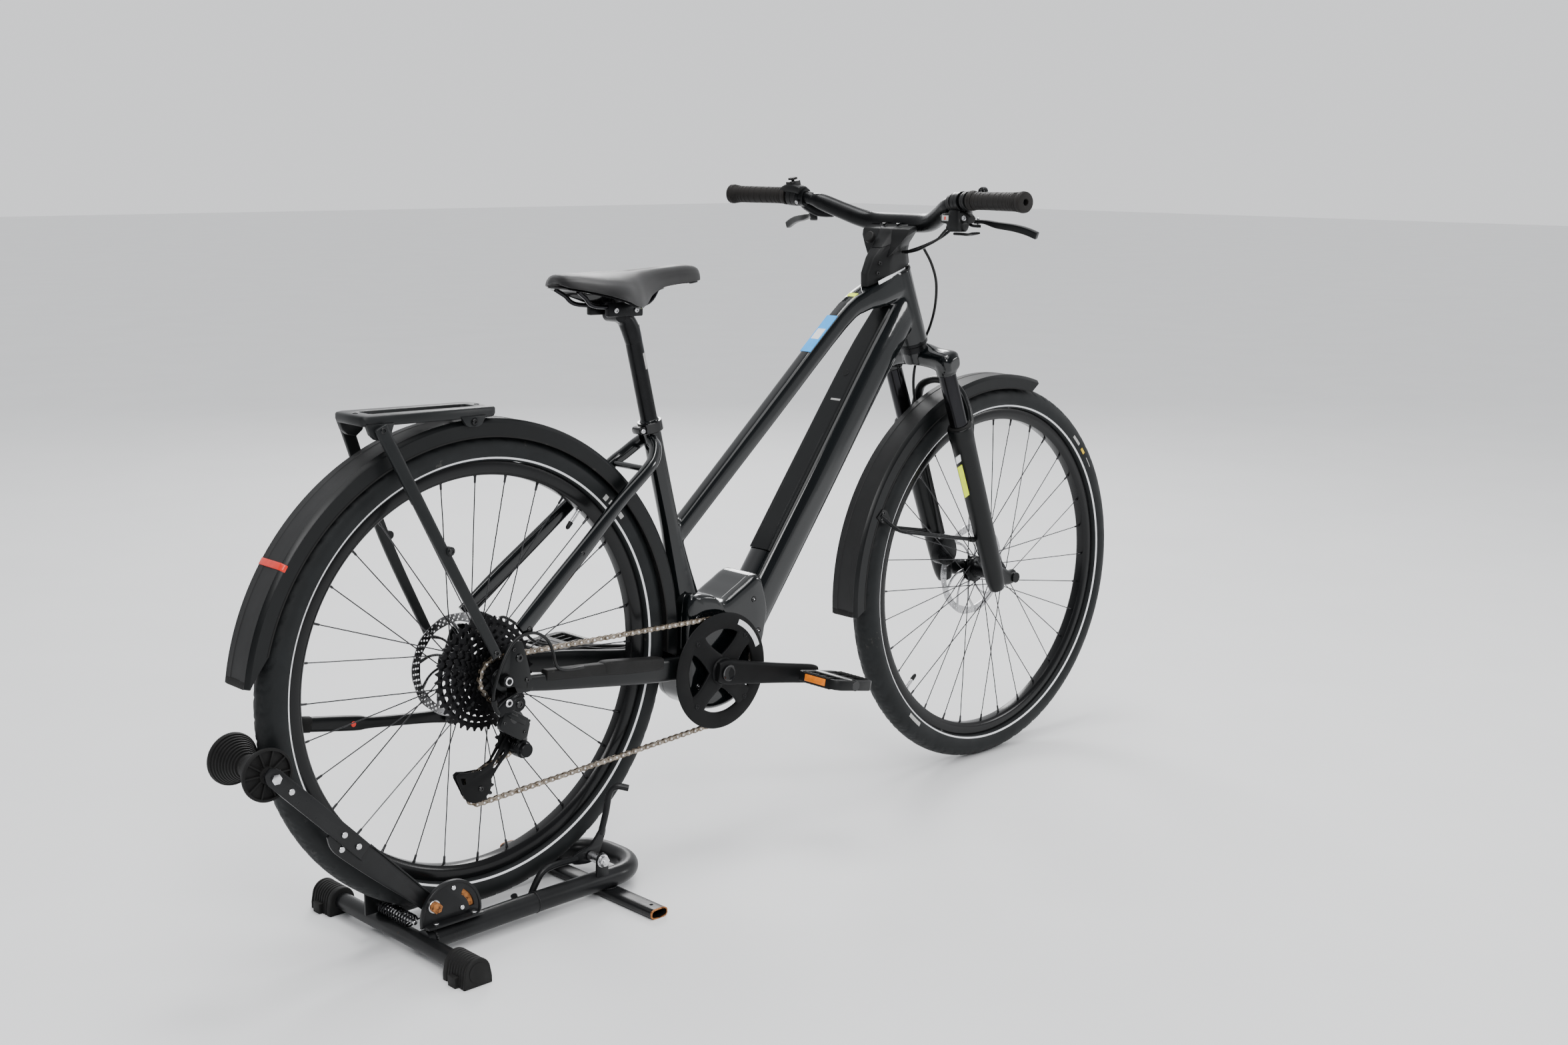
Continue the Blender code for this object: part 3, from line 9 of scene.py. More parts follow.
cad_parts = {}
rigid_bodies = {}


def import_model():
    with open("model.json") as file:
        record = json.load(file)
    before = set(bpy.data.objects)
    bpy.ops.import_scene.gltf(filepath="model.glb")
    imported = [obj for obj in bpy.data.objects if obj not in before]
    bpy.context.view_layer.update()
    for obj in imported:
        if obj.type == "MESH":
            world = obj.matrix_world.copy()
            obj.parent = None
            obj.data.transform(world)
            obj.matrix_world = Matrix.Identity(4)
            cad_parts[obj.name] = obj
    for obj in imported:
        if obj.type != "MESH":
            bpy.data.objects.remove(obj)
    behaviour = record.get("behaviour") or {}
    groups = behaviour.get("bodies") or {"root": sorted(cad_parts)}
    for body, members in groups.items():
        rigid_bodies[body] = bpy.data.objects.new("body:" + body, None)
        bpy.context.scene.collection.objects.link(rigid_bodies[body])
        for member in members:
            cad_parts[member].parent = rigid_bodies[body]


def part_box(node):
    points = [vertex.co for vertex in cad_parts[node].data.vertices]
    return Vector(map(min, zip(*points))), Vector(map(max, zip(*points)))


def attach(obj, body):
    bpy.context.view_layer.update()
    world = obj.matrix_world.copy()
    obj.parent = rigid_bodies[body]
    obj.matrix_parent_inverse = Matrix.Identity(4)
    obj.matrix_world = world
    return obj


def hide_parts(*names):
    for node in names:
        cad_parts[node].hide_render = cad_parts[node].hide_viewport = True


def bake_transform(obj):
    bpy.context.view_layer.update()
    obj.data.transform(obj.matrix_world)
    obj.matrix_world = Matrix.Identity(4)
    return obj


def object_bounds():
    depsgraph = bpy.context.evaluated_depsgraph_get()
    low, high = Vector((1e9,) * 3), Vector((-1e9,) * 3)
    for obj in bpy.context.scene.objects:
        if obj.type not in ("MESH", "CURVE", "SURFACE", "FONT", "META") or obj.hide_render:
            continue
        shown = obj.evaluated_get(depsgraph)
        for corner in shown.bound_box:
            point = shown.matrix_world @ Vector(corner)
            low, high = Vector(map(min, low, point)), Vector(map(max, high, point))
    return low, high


for leftover in list(bpy.data.objects):
    bpy.data.objects.remove(leftover, do_unlink=True)
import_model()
CAD_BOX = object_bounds()

# ---- Places taken from the frame ----
ACROSS = Vector((0, 1, 0))
UP = Vector((0, 0, 1))


def middle(node):
    low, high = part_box(node)
    return (low + high) / 2


REAR = middle("rear_rim")
REAR.y = 0
FRONT = middle("front_rim")
FRONT.y = 0
WHEELBASE = (FRONT - REAR).length
PITCH = math.asin((REAR.z - FRONT.z) / WHEELBASE)
ON_BIKE = Matrix.Translation(REAR) @ Matrix.Rotation(PITCH, 4, "Y")
ON_STAND = Matrix.Translation((REAR.x, 0, 0))

# ---- Dimensions, in the bicycle's own axes from its rear axle ----
WHEEL_RADIUS = 0.36
TYRE_SECTION = 0.0246
TYRE_MIDDLE = WHEEL_RADIUS - 0.025
RIM_INNER = 0.2945
SPOKES = 32
SPOKE_RADIUS = 0.00092
SPOKE_HOLES = 0.0215
NIPPLE_SEAT = 0.2935
HEAD_ANGLE = math.radians(68.0)
FORK_OFFSET = 0.048
SEAT_LEAN = math.radians(14.7)
BB = Vector((0.4415, 0, -0.0615))
CRANK_LENGTH = 0.175
CRANK_DROP = math.radians(8.7)
CHAIN_Y = -0.0542
PITCH_LENGTH = 0.0127
COG_SIZES = (11, 13, 15, 17, 19, 21, 24, 28, 32, 37, 42)
UPPER_JOCKEY = (0.02, -0.097)
LOWER_JOCKEY = (-0.033, -0.162)
CAGE_PIVOT = (0.027, -0.108)
HEAD_LOW, HEAD_TOP = 0.502, 0.6472
LEG_Y = 0.065

STEER_AXIS = Vector((-math.cos(HEAD_ANGLE), 0, math.sin(HEAD_ANGLE)))
STEER_FORWARD = Vector((math.sin(HEAD_ANGLE), 0, math.cos(HEAD_ANGLE)))
FRONT_AXLE = Vector((WHEELBASE, 0, 0))
STEER_FOOT = FRONT_AXLE - STEER_FORWARD * FORK_OFFSET
SEAT_AXIS = Vector((-math.sin(SEAT_LEAN), 0, math.cos(SEAT_LEAN)))
SEAT_FORWARD = Vector((SEAT_AXIS.z, 0, -SEAT_AXIS.x))
CRANK_TURN = Vector((math.cos(CRANK_DROP), 0, -math.sin(CRANK_DROP)))
SADDLE_PIVOT = Vector((0.262, 0, 0.521))


def steer(along, forward=0.0, side=0.0):
    return STEER_FOOT + STEER_AXIS * along + STEER_FORWARD * forward + ACROSS * side


def seat(along, forward=0.0, side=0.0):
    return BB + SEAT_AXIS * along + SEAT_FORWARD * forward + ACROSS * side


def radial(angle):
    """Unit direction in the bicycle's middle plane, angle round from forward to up."""
    return Vector((math.cos(angle), 0, math.sin(angle)))


def pitch_radius(teeth):
    return PITCH_LENGTH / (2 * math.sin(math.pi / teeth))


# ---- Shapes: each is (points, faces) ----
def catmull(rows, spans):
    """Smooth curve through rows of numbers, spans steps between each two."""
    if spans < 2 or len(rows) < 3:
        return [list(r) for r in rows]
    rows = [[float(v) for v in r] for r in rows]
    first = [2 * a - b for a, b in zip(rows[0], rows[1])]
    last = [2 * a - b for a, b in zip(rows[-1], rows[-2])]
    padded = [first] + rows + [last]
    out = []
    for p, q, r, s in zip(padded, padded[1:], padded[2:], padded[3:]):
        for k in range(spans):
            t = k / spans
            out.append([0.5 * (2 * b + (c - a) * t + (2 * a - 5 * b + 4 * c - d) * t * t
                               + (3 * b - a - 3 * c + d) * t ** 3) for a, b, c, d in zip(p, q, r, s)])
    out.append(rows[-1])
    return out


def loft(rings, looped=False):
    count = len(rings[0])
    points = [Vector(p) for ring in rings for p in ring]
    faces = []
    total = len(rings)
    for i in range(total if looped else total - 1):
        a, b = i * count, ((i + 1) % total) * count
        for j in range(count):
            k = (j + 1) % count
            faces.append((a + j, a + k, b + k, b + j))
    if not looped:
        faces.append(tuple(range(count - 1, -1, -1)))
        faces.append(tuple(range((total - 1) * count, total * count)))
    return points, faces


def merge(*shapes):
    points, faces = [], []
    for more, links in shapes:
        base = len(points)
        points.extend(more)
        faces.extend(tuple(base + i for i in face) for face in links)
    return points, faces


def moved(shape, matrix):
    return [matrix @ p for p in shape[0]], shape[1]


def mirrored(shape):
    return [Vector((p.x, -p.y, p.z)) for p in shape[0]], [tuple(reversed(f)) for f in shape[1]]


def both(shape):
    return merge(shape, mirrored(shape))


def ring_at(centre, first, second, half_a, half_b, sides, power):
    ring = []
    for i in range(sides):
        angle = 2 * math.pi * (i + 0.5) / sides
        c, s = math.cos(angle), math.sin(angle)
        ring.append(centre + first * half_a * math.copysign(abs(c) ** (2 / power), c)
                    + second * half_b * math.copysign(abs(s) ** (2 / power), s))
    return ring


def tube(path, halves, lateral=ACROSS, sides=32, power=2.0, spans=5, rounding=0.0):
    """Smooth sweep. halves is (in-plane, lateral), once or for each point; rounding softens the ends."""
    lateral = Vector(lateral)
    if isinstance(halves, (int, float)):
        halves = (halves, halves)
    if isinstance(halves[0], (int, float)):
        halves = [halves] * len(path)
    rows = catmull([[*p, *h] for p, h in zip(path, halves)], spans)
    points = [Vector(r[:3]) for r in rows]
    sizes = [(max(r[3], 1e-4), max(r[4], 1e-4)) for r in rows]
    last = len(points) - 1
    frames = []
    for i, point in enumerate(points):
        before = points[max(i - 1, 0)]
        after = points[min(i + 1, last)]
        tangent = (after - before).normalized()
        side = (lateral - tangent * lateral.dot(tangent)).normalized()
        frames.append((point, tangent, side.cross(tangent), side))
    rings = []

    def add_end(index, sign):
        point, tangent, a, b = frames[index]
        half_a, half_b = sizes[index]
        steps = range(4) if sign < 0 else range(3, -1, -1)
        for k in steps:
            turn = math.pi / 2 * (1 - k / 4)
            inset = rounding * (1 - math.cos(turn))
            shift = sign * rounding * (math.sin(turn) - 1)
            rings.append(ring_at(point + tangent * shift, a, b, max(half_a - inset, half_a * 0.05),
                                 max(half_b - inset, half_b * 0.05), sides, power))

    if rounding:
        add_end(0, -1)
    for i, (point, tangent, a, b) in enumerate(frames):
        if rounding:
            start_gap = (point - points[0]).length
            end_gap = (point - points[last]).length
            if start_gap < rounding * 1.01 or end_gap < rounding * 1.01:
                continue
        rings.append(ring_at(point, a, b, *sizes[i], sides, power))
    if rounding:
        add_end(last, 1)
    return loft(rings)


def wire(points, radius, sides=10, spans=6):
    """Round wire or cord along a smooth curve, with its frame carried along."""
    path = [Vector(p) for p in catmull([list(p) for p in points], spans)]
    tangents = [(b - a).normalized() for a, b in zip(path, path[1:])]
    tangents.append(tangents[-1])
    side = tangents[0].orthogonal().normalized()
    rings = []
    for i, point in enumerate(path):
        tangent = tangents[i] if i == 0 else (tangents[i] + tangents[i - 1]).normalized()
        side = (side - tangent * side.dot(tangent)).normalized()
        rings.append(ring_at(point, side, tangent.cross(side), radius, radius, sides, 2.0))
    return loft(rings)


def turned(profile, steps=64, centre=(0, 0, 0), axis=ACROSS, first=None, sweep=360.0):
    """Turn a closed outline of (radius, along) about an axis, from first through sweep degrees."""
    centre, axis, first, second = turning_frame(centre, axis, first)
    full = abs(sweep - 360.0) < 1e-6
    rings = []
    for i in range(steps if full else steps + 1):
        angle = math.radians(sweep) * i / steps
        radial = first * math.cos(angle) + second * math.sin(angle)
        rings.append([centre + radial * r + axis * a for r, a in profile])
    return loft(rings, looped=full)


def turning_frame(centre, axis, first=None):
    """Centre, axis and two directions square to the axis, one of them nearest to first."""
    centre, axis = Vector(centre), Vector(axis).normalized()
    first = Vector(first) if first else (Vector((1, 0, 0)) if abs(axis.x) < 0.9 else Vector((0, 0, 1)))
    first = (first - axis * first.dot(axis)).normalized()
    return centre, axis, first, axis.cross(first)


def lathe(profile, steps=48, centre=(0, 0, 0), axis=ACROSS):
    """Turned solid whose outline starts and ends on the axis, where flat caps close it."""
    centre, axis, first, second = turning_frame(centre, axis)
    rings = []
    for r, a in profile:
        rings.append([centre + axis * a + (first * math.cos(2 * math.pi * i / steps)
                                           + second * math.sin(2 * math.pi * i / steps)) * r
                      for i in range(steps)])
    return loft(rings)


def prism(outline, low, high):
    return loft([[Vector((x, y, z)) for x, z in outline] for y in (low, high)])


def slab(outline, low, high):
    return loft([[Vector((x, y, z)) for x, y in outline] for z in (low, high)])


def block(low, high):
    return slab([(low[0], low[1]), (high[0], low[1]), (high[0], high[1]), (low[0], high[1])],
                low[2], high[2])


def arc(centre, radius, start, end, steps):
    return [(centre[0] + radius * math.cos(math.radians(start + (end - start) * i / steps)),
             centre[1] + radius * math.sin(math.radians(start + (end - start) * i / steps)))
            for i in range(steps + 1)]


def disc(start, end, radius, rim=0.0006, steps=28):
    """Short round bar with softened rims."""
    start, end = Vector(start), Vector(end)
    length = (end - start).length
    rim = min(rim, length / 3, radius / 3)
    profile = [(radius * 0.02, 0), (radius - rim, 0), (radius, rim), (radius, length - rim),
               (radius - rim, length), (radius * 0.02, length)]
    return lathe(profile, steps, start, end - start)


def bolt(centre, axis, radius, height, socket=True):
    """Cap screw: a rounded head with a hexagonal socket."""
    centre, axis = Vector(centre), Vector(axis).normalized()
    rim = radius * 0.16
    head = [(radius * 0.9, 0), (radius, rim), (radius, height - rim), (radius - rim, height)]
    if not socket:
        return lathe([(radius * 0.02, 0)] + head + [(radius * 0.02, height)], 24, centre, axis)
    shape = turned([(radius * 0.02, 0)] + head + [(radius * 0.56, height), (radius * 0.5, height * 0.35),
                                                  (radius * 0.02, height * 0.35)], 24, centre, axis)
    return shape


def toothed(teeth, inner, low, high, centre=(0, 0, 0), tip=0.0026, phase=0.0, root=0.0032):
    """Sprocket ring: a toothed outer edge round a plain bore."""
    radius = pitch_radius(teeth)
    shape = [(0.0, -root), (0.16, -root), (0.3, -0.0008), (0.42, tip), (0.58, tip), (0.7, -0.0008),
             (0.84, -root)]
    outer, bore = [], []
    for t in range(teeth):
        for share, height in shape:
            angle = 2 * math.pi * (t + share - 0.5) / teeth + phase
            c, s = math.cos(angle), math.sin(angle)
            outer.append((centre[0] + (radius + height) * c, centre[1] + (radius + height) * s))
            bore.append((centre[0] + inner * c, centre[1] + inner * s))
    rings = [[Vector((x, y, z)) for x, z in line]
             for line, y in ((bore, low), (outer, low), (outer, high), (bore, high))]
    return loft(rings, looped=True)


# ---- Materials ----
def look(name, colour, roughness=0.5, metallic=0.0, spread=0.12, scale=60.0, rough_spread=0.08,
         bump=0.0, bump_scale=400.0, coat=0.0, fleck=None, fleck_share=0.0, fleck_scale=25.0,
         grain=None, sheen=0.0, specular=0.24):
    """Procedural finish: uneven colour and gloss, fine relief, and optional flecks of dust, rust or wear."""
    made = bpy.data.materials.new(name)
    made.use_nodes = True
    nodes, links = made.node_tree.nodes, made.node_tree.links
    shader = nodes["Principled BSDF"]
    shader.inputs["Metallic"].default_value = metallic
    shader.inputs["Coat Weight"].default_value = coat
    shader.inputs["Coat Roughness"].default_value = 0.04
    shader.inputs["Sheen Weight"].default_value = sheen
    shader.inputs["Specular IOR Level"].default_value = specular
    place = nodes.new("ShaderNodeTexCoord")
    source = place.outputs["Object"]
    if grain:
        stretch = nodes.new("ShaderNodeMapping")
        stretch.inputs["Scale"].default_value = grain
        links.new(source, stretch.inputs["Vector"])
        source = stretch.outputs["Vector"]

    def noise(size, detail=4.0, rough=0.55):
        made_noise = nodes.new("ShaderNodeTexNoise")
        made_noise.inputs["Scale"].default_value = size
        made_noise.inputs["Detail"].default_value = detail
        made_noise.inputs["Roughness"].default_value = rough
        links.new(source, made_noise.inputs["Vector"])
        return made_noise.outputs["Fac"]

    ramp = nodes.new("ShaderNodeValToRGB")
    ramp.color_ramp.elements[0].position = 0.3
    ramp.color_ramp.elements[1].position = 0.7
    ramp.color_ramp.elements[0].color = (*[c * (1 - spread) for c in colour], 1)
    ramp.color_ramp.elements[1].color = (*[min(c * (1 + spread), 1) for c in colour], 1)
    links.new(noise(scale), ramp.inputs["Fac"])
    tint = ramp.outputs["Color"]
    spread_gloss = nodes.new("ShaderNodeMapRange")
    spread_gloss.inputs["From Min"].default_value = 0.3
    spread_gloss.inputs["From Max"].default_value = 0.7
    spread_gloss.inputs["To Min"].default_value = max(roughness - rough_spread, 0.02)
    spread_gloss.inputs["To Max"].default_value = min(roughness + rough_spread, 1.0)
    links.new(noise(scale * 0.37, 6.0, 0.65), spread_gloss.inputs["Value"])
    if fleck:
        mask = nodes.new("ShaderNodeMapRange")
        mask.inputs["From Min"].default_value = 1 - fleck_share
        mask.inputs["From Max"].default_value = 1 - fleck_share + 0.06
        links.new(noise(fleck_scale, 9.0, 0.72), mask.inputs["Value"])
        mix = nodes.new("ShaderNodeMix")
        mix.data_type = "RGBA"
        mix.inputs["B"].default_value = (*fleck, 1)
        links.new(mask.outputs["Result"], mix.inputs["Factor"])
        links.new(tint, mix.inputs["A"])
        tint = mix.outputs["Result"]
    links.new(tint, shader.inputs["Base Color"])
    links.new(spread_gloss.outputs["Result"], shader.inputs["Roughness"])
    if bump:
        relief = nodes.new("ShaderNodeBump")
        relief.inputs["Strength"].default_value = min(bump, 1.0)
        relief.inputs["Distance"].default_value = 0.0004
        links.new(noise(bump_scale, 2.0), relief.inputs["Height"])
        links.new(relief.outputs["Normal"], shader.inputs["Normal"])
    return made


FINISHES = {
    "frame_gloss": dict(colour=(0.0022, 0.0032, 0.0036), roughness=0.12, spread=0.15, scale=8,
         rough_spread=0.05, bump=0.02, bump_scale=700, coat=0.5),
    "frame_satin": dict(colour=(0.0036, 0.0042, 0.0045), roughness=0.32, spread=0.12, scale=30, bump=0.06,
         bump_scale=900, rough_spread=0.05),
    "plastic": dict(colour=(0.005, 0.0053, 0.0055), roughness=0.46, spread=0.15, scale=40, bump=0.16,
         bump_scale=1300),
    "guard_top": dict(colour=(0.015, 0.0152, 0.0155), roughness=0.55, spread=0.12, scale=18, bump=0.18,
         bump_scale=1500, fleck=(0.045, 0.045, 0.043), fleck_share=0.34, fleck_scale=14),
    "rack_paint": dict(colour=(0.0085, 0.0095, 0.01), roughness=0.42, spread=0.15, scale=24, bump=0.12,
         bump_scale=1600, fleck=(0.03, 0.03, 0.03), fleck_share=0.33),
    "anodised": dict(colour=(0.006, 0.0064, 0.007), roughness=0.3, metallic=0.45, spread=0.2, scale=80,
         bump=0.05, bump_scale=1500),
    "flat_black": dict(colour=(0.0036, 0.0038, 0.0041), roughness=0.5, spread=0.2, scale=60, bump=0.06,
         bump_scale=1500, specular=0.14),
    "stanchion": dict(colour=(0.022, 0.022, 0.024), roughness=0.14, metallic=0.9, spread=0.1, scale=40,
         rough_spread=0.05, grain=(1, 1, 0.05)),
    "gloss_part": dict(colour=(0.003, 0.0032, 0.0035), roughness=0.17, spread=0.15, scale=30,
         rough_spread=0.06, coat=0.4),
    "tyre": dict(colour=(0.006, 0.0072, 0.0078), roughness=0.58, spread=0.22, scale=35, bump=0.3,
         bump_scale=900, fleck=(0.04, 0.039, 0.036), fleck_share=0.35, fleck_scale=20),
    "rim": dict(colour=(0.0055, 0.0058, 0.0062), roughness=0.24, metallic=0.1, spread=0.15, scale=20,
         rough_spread=0.06, bump=0.03, bump_scale=800),
    "reflective": dict(colour=(0.8, 0.81, 0.83), roughness=0.38, spread=0.04, scale=90, bump=0.1,
         bump_scale=2200, fleck=(0.45, 0.46, 0.47), fleck_share=0.33, fleck_scale=30),
    "spoke": dict(colour=(0.04, 0.04, 0.042), roughness=0.32, metallic=0.9, spread=0.15, scale=60),
    "steel": dict(colour=(0.62, 0.62, 0.63), roughness=0.26, metallic=1.0, spread=0.1, scale=120,
         rough_spread=0.1, bump=0.05, bump_scale=1800),
    "rotor": dict(colour=(0.46, 0.46, 0.47), roughness=0.26, metallic=1.0, spread=0.1, scale=200,
         rough_spread=0.1, fleck=(0.36, 0.34, 0.32), fleck_share=0.4, fleck_scale=60),
    "chain_steel": dict(colour=(0.26, 0.225, 0.185), roughness=0.36, metallic=1.0, spread=0.3, scale=180,
         rough_spread=0.14, fleck=(0.1, 0.075, 0.05), fleck_share=0.48, fleck_scale=220),
    "cog": dict(colour=(0.01, 0.01, 0.011), roughness=0.34, metallic=0.6, spread=0.3, scale=150,
         fleck=(0.12, 0.11, 0.1), fleck_share=0.36, fleck_scale=120),
    "rubber": dict(colour=(0.0065, 0.0064, 0.0062), roughness=0.66, spread=0.2, scale=60, bump=0.3,
         bump_scale=1500, fleck=(0.034, 0.032, 0.029), fleck_share=0.37, fleck_scale=35),
    "grip": dict(colour=(0.009, 0.0078, 0.007), roughness=0.62, spread=0.35, scale=30, bump=0.35,
         bump_scale=900, grain=(1.0, 0.12, 1.0)),
    "saddle": dict(colour=(0.009, 0.0088, 0.0092), roughness=0.48, spread=0.16, scale=26, bump=0.28,
         bump_scale=1400, sheen=0.15),
    "saddle_shell": dict(colour=(0.006, 0.006, 0.0065), roughness=0.1, spread=0.1, scale=20,
         rough_spread=0.04, coat=0.6),
    "stand_paint": dict(colour=(0.008, 0.0084, 0.009), roughness=0.32, spread=0.3, scale=22,
         rough_spread=0.12, bump=0.14, bump_scale=420, fleck=(0.12, 0.052, 0.018), fleck_share=0.325,
         fleck_scale=16),
    "rust": dict(colour=(0.36, 0.145, 0.045), roughness=0.72, metallic=0.25, spread=0.45, scale=160,
         bump=0.6, bump_scale=600, fleck=(0.1, 0.038, 0.012), fleck_share=0.48, fleck_scale=130),
    "cord": dict(colour=(0.0055, 0.0058, 0.006), roughness=0.34, spread=0.15, scale=60, bump=0.05,
         bump_scale=900),
    "red": dict(colour=(0.72, 0.025, 0.012), roughness=0.3, spread=0.12, scale=120, coat=0.3),
    "orange": dict(colour=(0.86, 0.22, 0.012), roughness=0.25, spread=0.1, scale=160, bump=0.25,
         bump_scale=1100, coat=0.5),
    "white_label": dict(colour=(0.74, 0.75, 0.76), roughness=0.45, spread=0.05, scale=120),
    "grey_label": dict(colour=(0.42, 0.42, 0.41), roughness=0.5, spread=0.12, scale=220),
    "yellow_label": dict(colour=(0.72, 0.86, 0.015), roughness=0.42, spread=0.06, scale=90),
    "gold_label": dict(colour=(0.78, 0.52, 0.02), roughness=0.48, spread=0.08, scale=120),
    "blue_label": dict(colour=(0.025, 0.36, 0.86), roughness=0.35, spread=0.08, scale=60, coat=0.3),
}
LOOKS = {name: look(name, **finish) for name, finish in FINISHES.items()}


def piece(name, shape, body, finish, stands_for=(), bevel=0.0, angle=35.0, place=ON_BIKE):
    """One visible object: its mesh in the frame's own coordinates, its finish, and the body it rides on."""
    item = linked(name, mesh_of(name, shape, place))
    item.data.materials.append(LOOKS[finish])
    if bevel:
        soft = item.modifiers.new("edges", "BEVEL")
        soft.width = bevel
        soft.segments = 2
        soft.limit_method = "ANGLE"
        soft.angle_limit = math.radians(38)
        soft.use_clamp_overlap = True
        settle(item)
    item.data.shade_smooth()
    item.data.set_sharp_from_angle(angle=math.radians(angle))
    if body:
        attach(item, body)
    if stands_for:
        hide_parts(*stands_for)
    return item


def linked(name, data):
    """New object in the scene, of a mesh, lamp or camera."""
    item = bpy.data.objects.new(name, data)
    bpy.context.scene.collection.objects.link(item)
    return item


def mesh_of(name, shape, place=None):
    """Mesh of a shape, moved by place, with its faces turned outward."""
    points = [place @ p for p in shape[0]] if place else shape[0]
    mesh = bpy.data.meshes.new(name)
    mesh.from_pydata([tuple(p) for p in points], [], shape[1])
    bm = bmesh.new()
    bm.from_mesh(mesh)
    bmesh.ops.recalc_face_normals(bm, faces=bm.faces)
    bm.to_mesh(mesh)
    bm.free()
    return mesh


def result_of(item):
    """Mesh that an object's modifiers make."""
    bpy.context.view_layer.update()
    return bpy.data.meshes.new_from_object(item.evaluated_get(bpy.context.evaluated_depsgraph_get()))


def settle(item):
    """Replace an object's mesh by what its modifiers make of it."""
    result = result_of(item)
    item.modifiers.clear()
    item.data = result


def shape_of(item, *helpers):
    """Shape that an object's modifiers make; the object and its helpers are then removed."""
    mesh = result_of(item)
    for done in (item, *helpers):
        bpy.data.objects.remove(done, do_unlink=True)
    return [v.co.copy() for v in mesh.vertices], [tuple(f.vertices) for f in mesh.polygons]


def carve(shape, tool):
    """Shape less the tool's volume."""
    base = linked("base", mesh_of("raw", shape))
    cutter = linked("cutter", mesh_of("raw", tool))
    step = base.modifiers.new("cut", "BOOLEAN")
    step.operation = "DIFFERENCE"
    step.solver = "EXACT"
    step.object = cutter
    return shape_of(base, cutter)


def fused(shape, voxel, smoothing):
    """Skin overlapping shapes with one blended surface."""
    item = linked("fused", mesh_of("raw", shape))
    skin = item.modifiers.new("skin", "REMESH")
    skin.mode = "VOXEL"
    skin.voxel_size = voxel
    relax = item.modifiers.new("relax", "SMOOTH")
    relax.factor = 0.5
    relax.iterations = smoothing
    return shape_of(item)


# ---- Wheels ----
def tread_depth(turn, across):
    """Depth of the tread's grooves; turn counts blocks round the tyre, across runs from -1 to 1."""
    reach = abs(across)
    if reach > 1.0:
        return 0.0
    side = 1 if across > 0 else -1
    wave = turn * 1.0 + 0.42 * reach + 0.1 * math.sin(7 * reach) + (0.5 if side > 0 else 0.0)
    phase = wave % 1.0
    depth = 0.0
    if 0.14 < reach < 0.96 and phase < 0.2:
        depth = 0.0011
    second = (wave * 1.0 + 0.5 - 0.9 * (reach - 0.3)) % 1.0
    if 0.3 < reach < 0.72 and second < 0.14:
        depth = 0.0009
    if abs(reach - 0.3 - 0.05 * math.sin(2 * math.pi * turn)) < 0.035:
        depth = 0.0009
    return depth


def tyre(centre):
    steps, count, blocks = 720, 44, 72
    edge = 136.0
    rings = []
    for i in range(steps):
        around = 2 * math.pi * i / steps
        out = radial(around)
        ring = []
        for j in range(count):
            phi = math.radians(-edge + 2 * edge * j / (count - 1))
            across = math.degrees(phi) / 58.0
            section = TYRE_SECTION + 0.0002 - tread_depth(blocks * i / steps, across)
            ring.append(centre + out * (TYRE_MIDDLE + section * math.cos(phi))
                        + ACROSS * section * math.sin(phi))
        rings.append(ring)
    return loft(rings, looped=True)


def sidewall_band(centre, side, phi_low, phi_high, start=0.0, sweep=360.0, steps=240):
    """Thin band lying on the tyre's sidewall, between two angles of its section."""
    outer, inner = [], []
    for k in range(5):
        phi = math.radians(phi_low + (phi_high - phi_low) * k / 4)
        high, low = TYRE_SECTION + 0.0004, TYRE_SECTION - 0.0006
        outer.append((TYRE_MIDDLE + high * math.cos(phi), side * high * math.sin(phi)))
        inner.append((TYRE_MIDDLE + low * math.cos(phi), side * low * math.sin(phi)))
    first = Vector((math.cos(math.radians(start)), 0, -math.sin(math.radians(start))))
    return turned(outer + inner[::-1], steps, centre, ACROSS, first, sweep)


def spokes(centre, right_flange, left_flange):
    parts, nipples = [], []
    for i in range(SPOKES):
        right = i % 2 == 0
        lead = 1 if (i // 2) % 2 == 0 else -1
        rim_angle = 2 * math.pi * i / SPOKES
        hub_angle = rim_angle + lead * math.radians(62)
        flange_y = (right_flange if right else left_flange) + 0.0026 * lead
        hub_out = radial(hub_angle)
        rim_out = radial(rim_angle)
        side = ACROSS * (-0.002 if right else 0.002)
        start = centre + hub_out * SPOKE_HOLES + ACROSS * flange_y
        end = centre + rim_out * NIPPLE_SEAT + side
        bend = start + (end - start).normalized() * 0.004
        flange_mid = centre + hub_out * SPOKE_HOLES + ACROSS * (flange_y - 0.003 * lead)
        parts.append(wire([flange_mid, start, bend, end], SPOKE_RADIUS, 8, 1))
        inward = (start - end).normalized()
        nipples.append(lathe([(0.0002, -0.0015), (0.0023, -0.0015), (0.0023, 0.001), (0.0019, 0.002),
                              (0.0018, 0.0095), (0.0013, 0.0105), (0.0002, 0.0105)], 10, end, inward))
    return merge(*parts), merge(*nipples)


def hub(centre, right_flange, left_flange, right_end, left_end):
    profile = [(0.0068, right_end), (0.0105, right_end), (0.012, right_end + 0.002),
               (0.013, right_flange - 0.0032), (0.0235, right_flange - 0.003),
               (0.0245, right_flange - 0.002), (0.0245, right_flange + 0.002),
               (0.0235, right_flange + 0.003), (0.0165, right_flange + 0.0045),
               (0.014, right_flange + 0.01), (0.0135, 0.0), (0.014, left_flange - 0.01),
               (0.0165, left_flange - 0.0045), (0.0235, left_flange - 0.003), (0.0245, left_flange - 0.002),
               (0.0245, left_flange + 0.002), (0.0235, left_flange + 0.003), (0.015, left_flange + 0.0035),
               (0.012, left_end - 0.004), (0.0105, left_end), (0.0068, left_end)]
    return turned(profile, 56, centre)


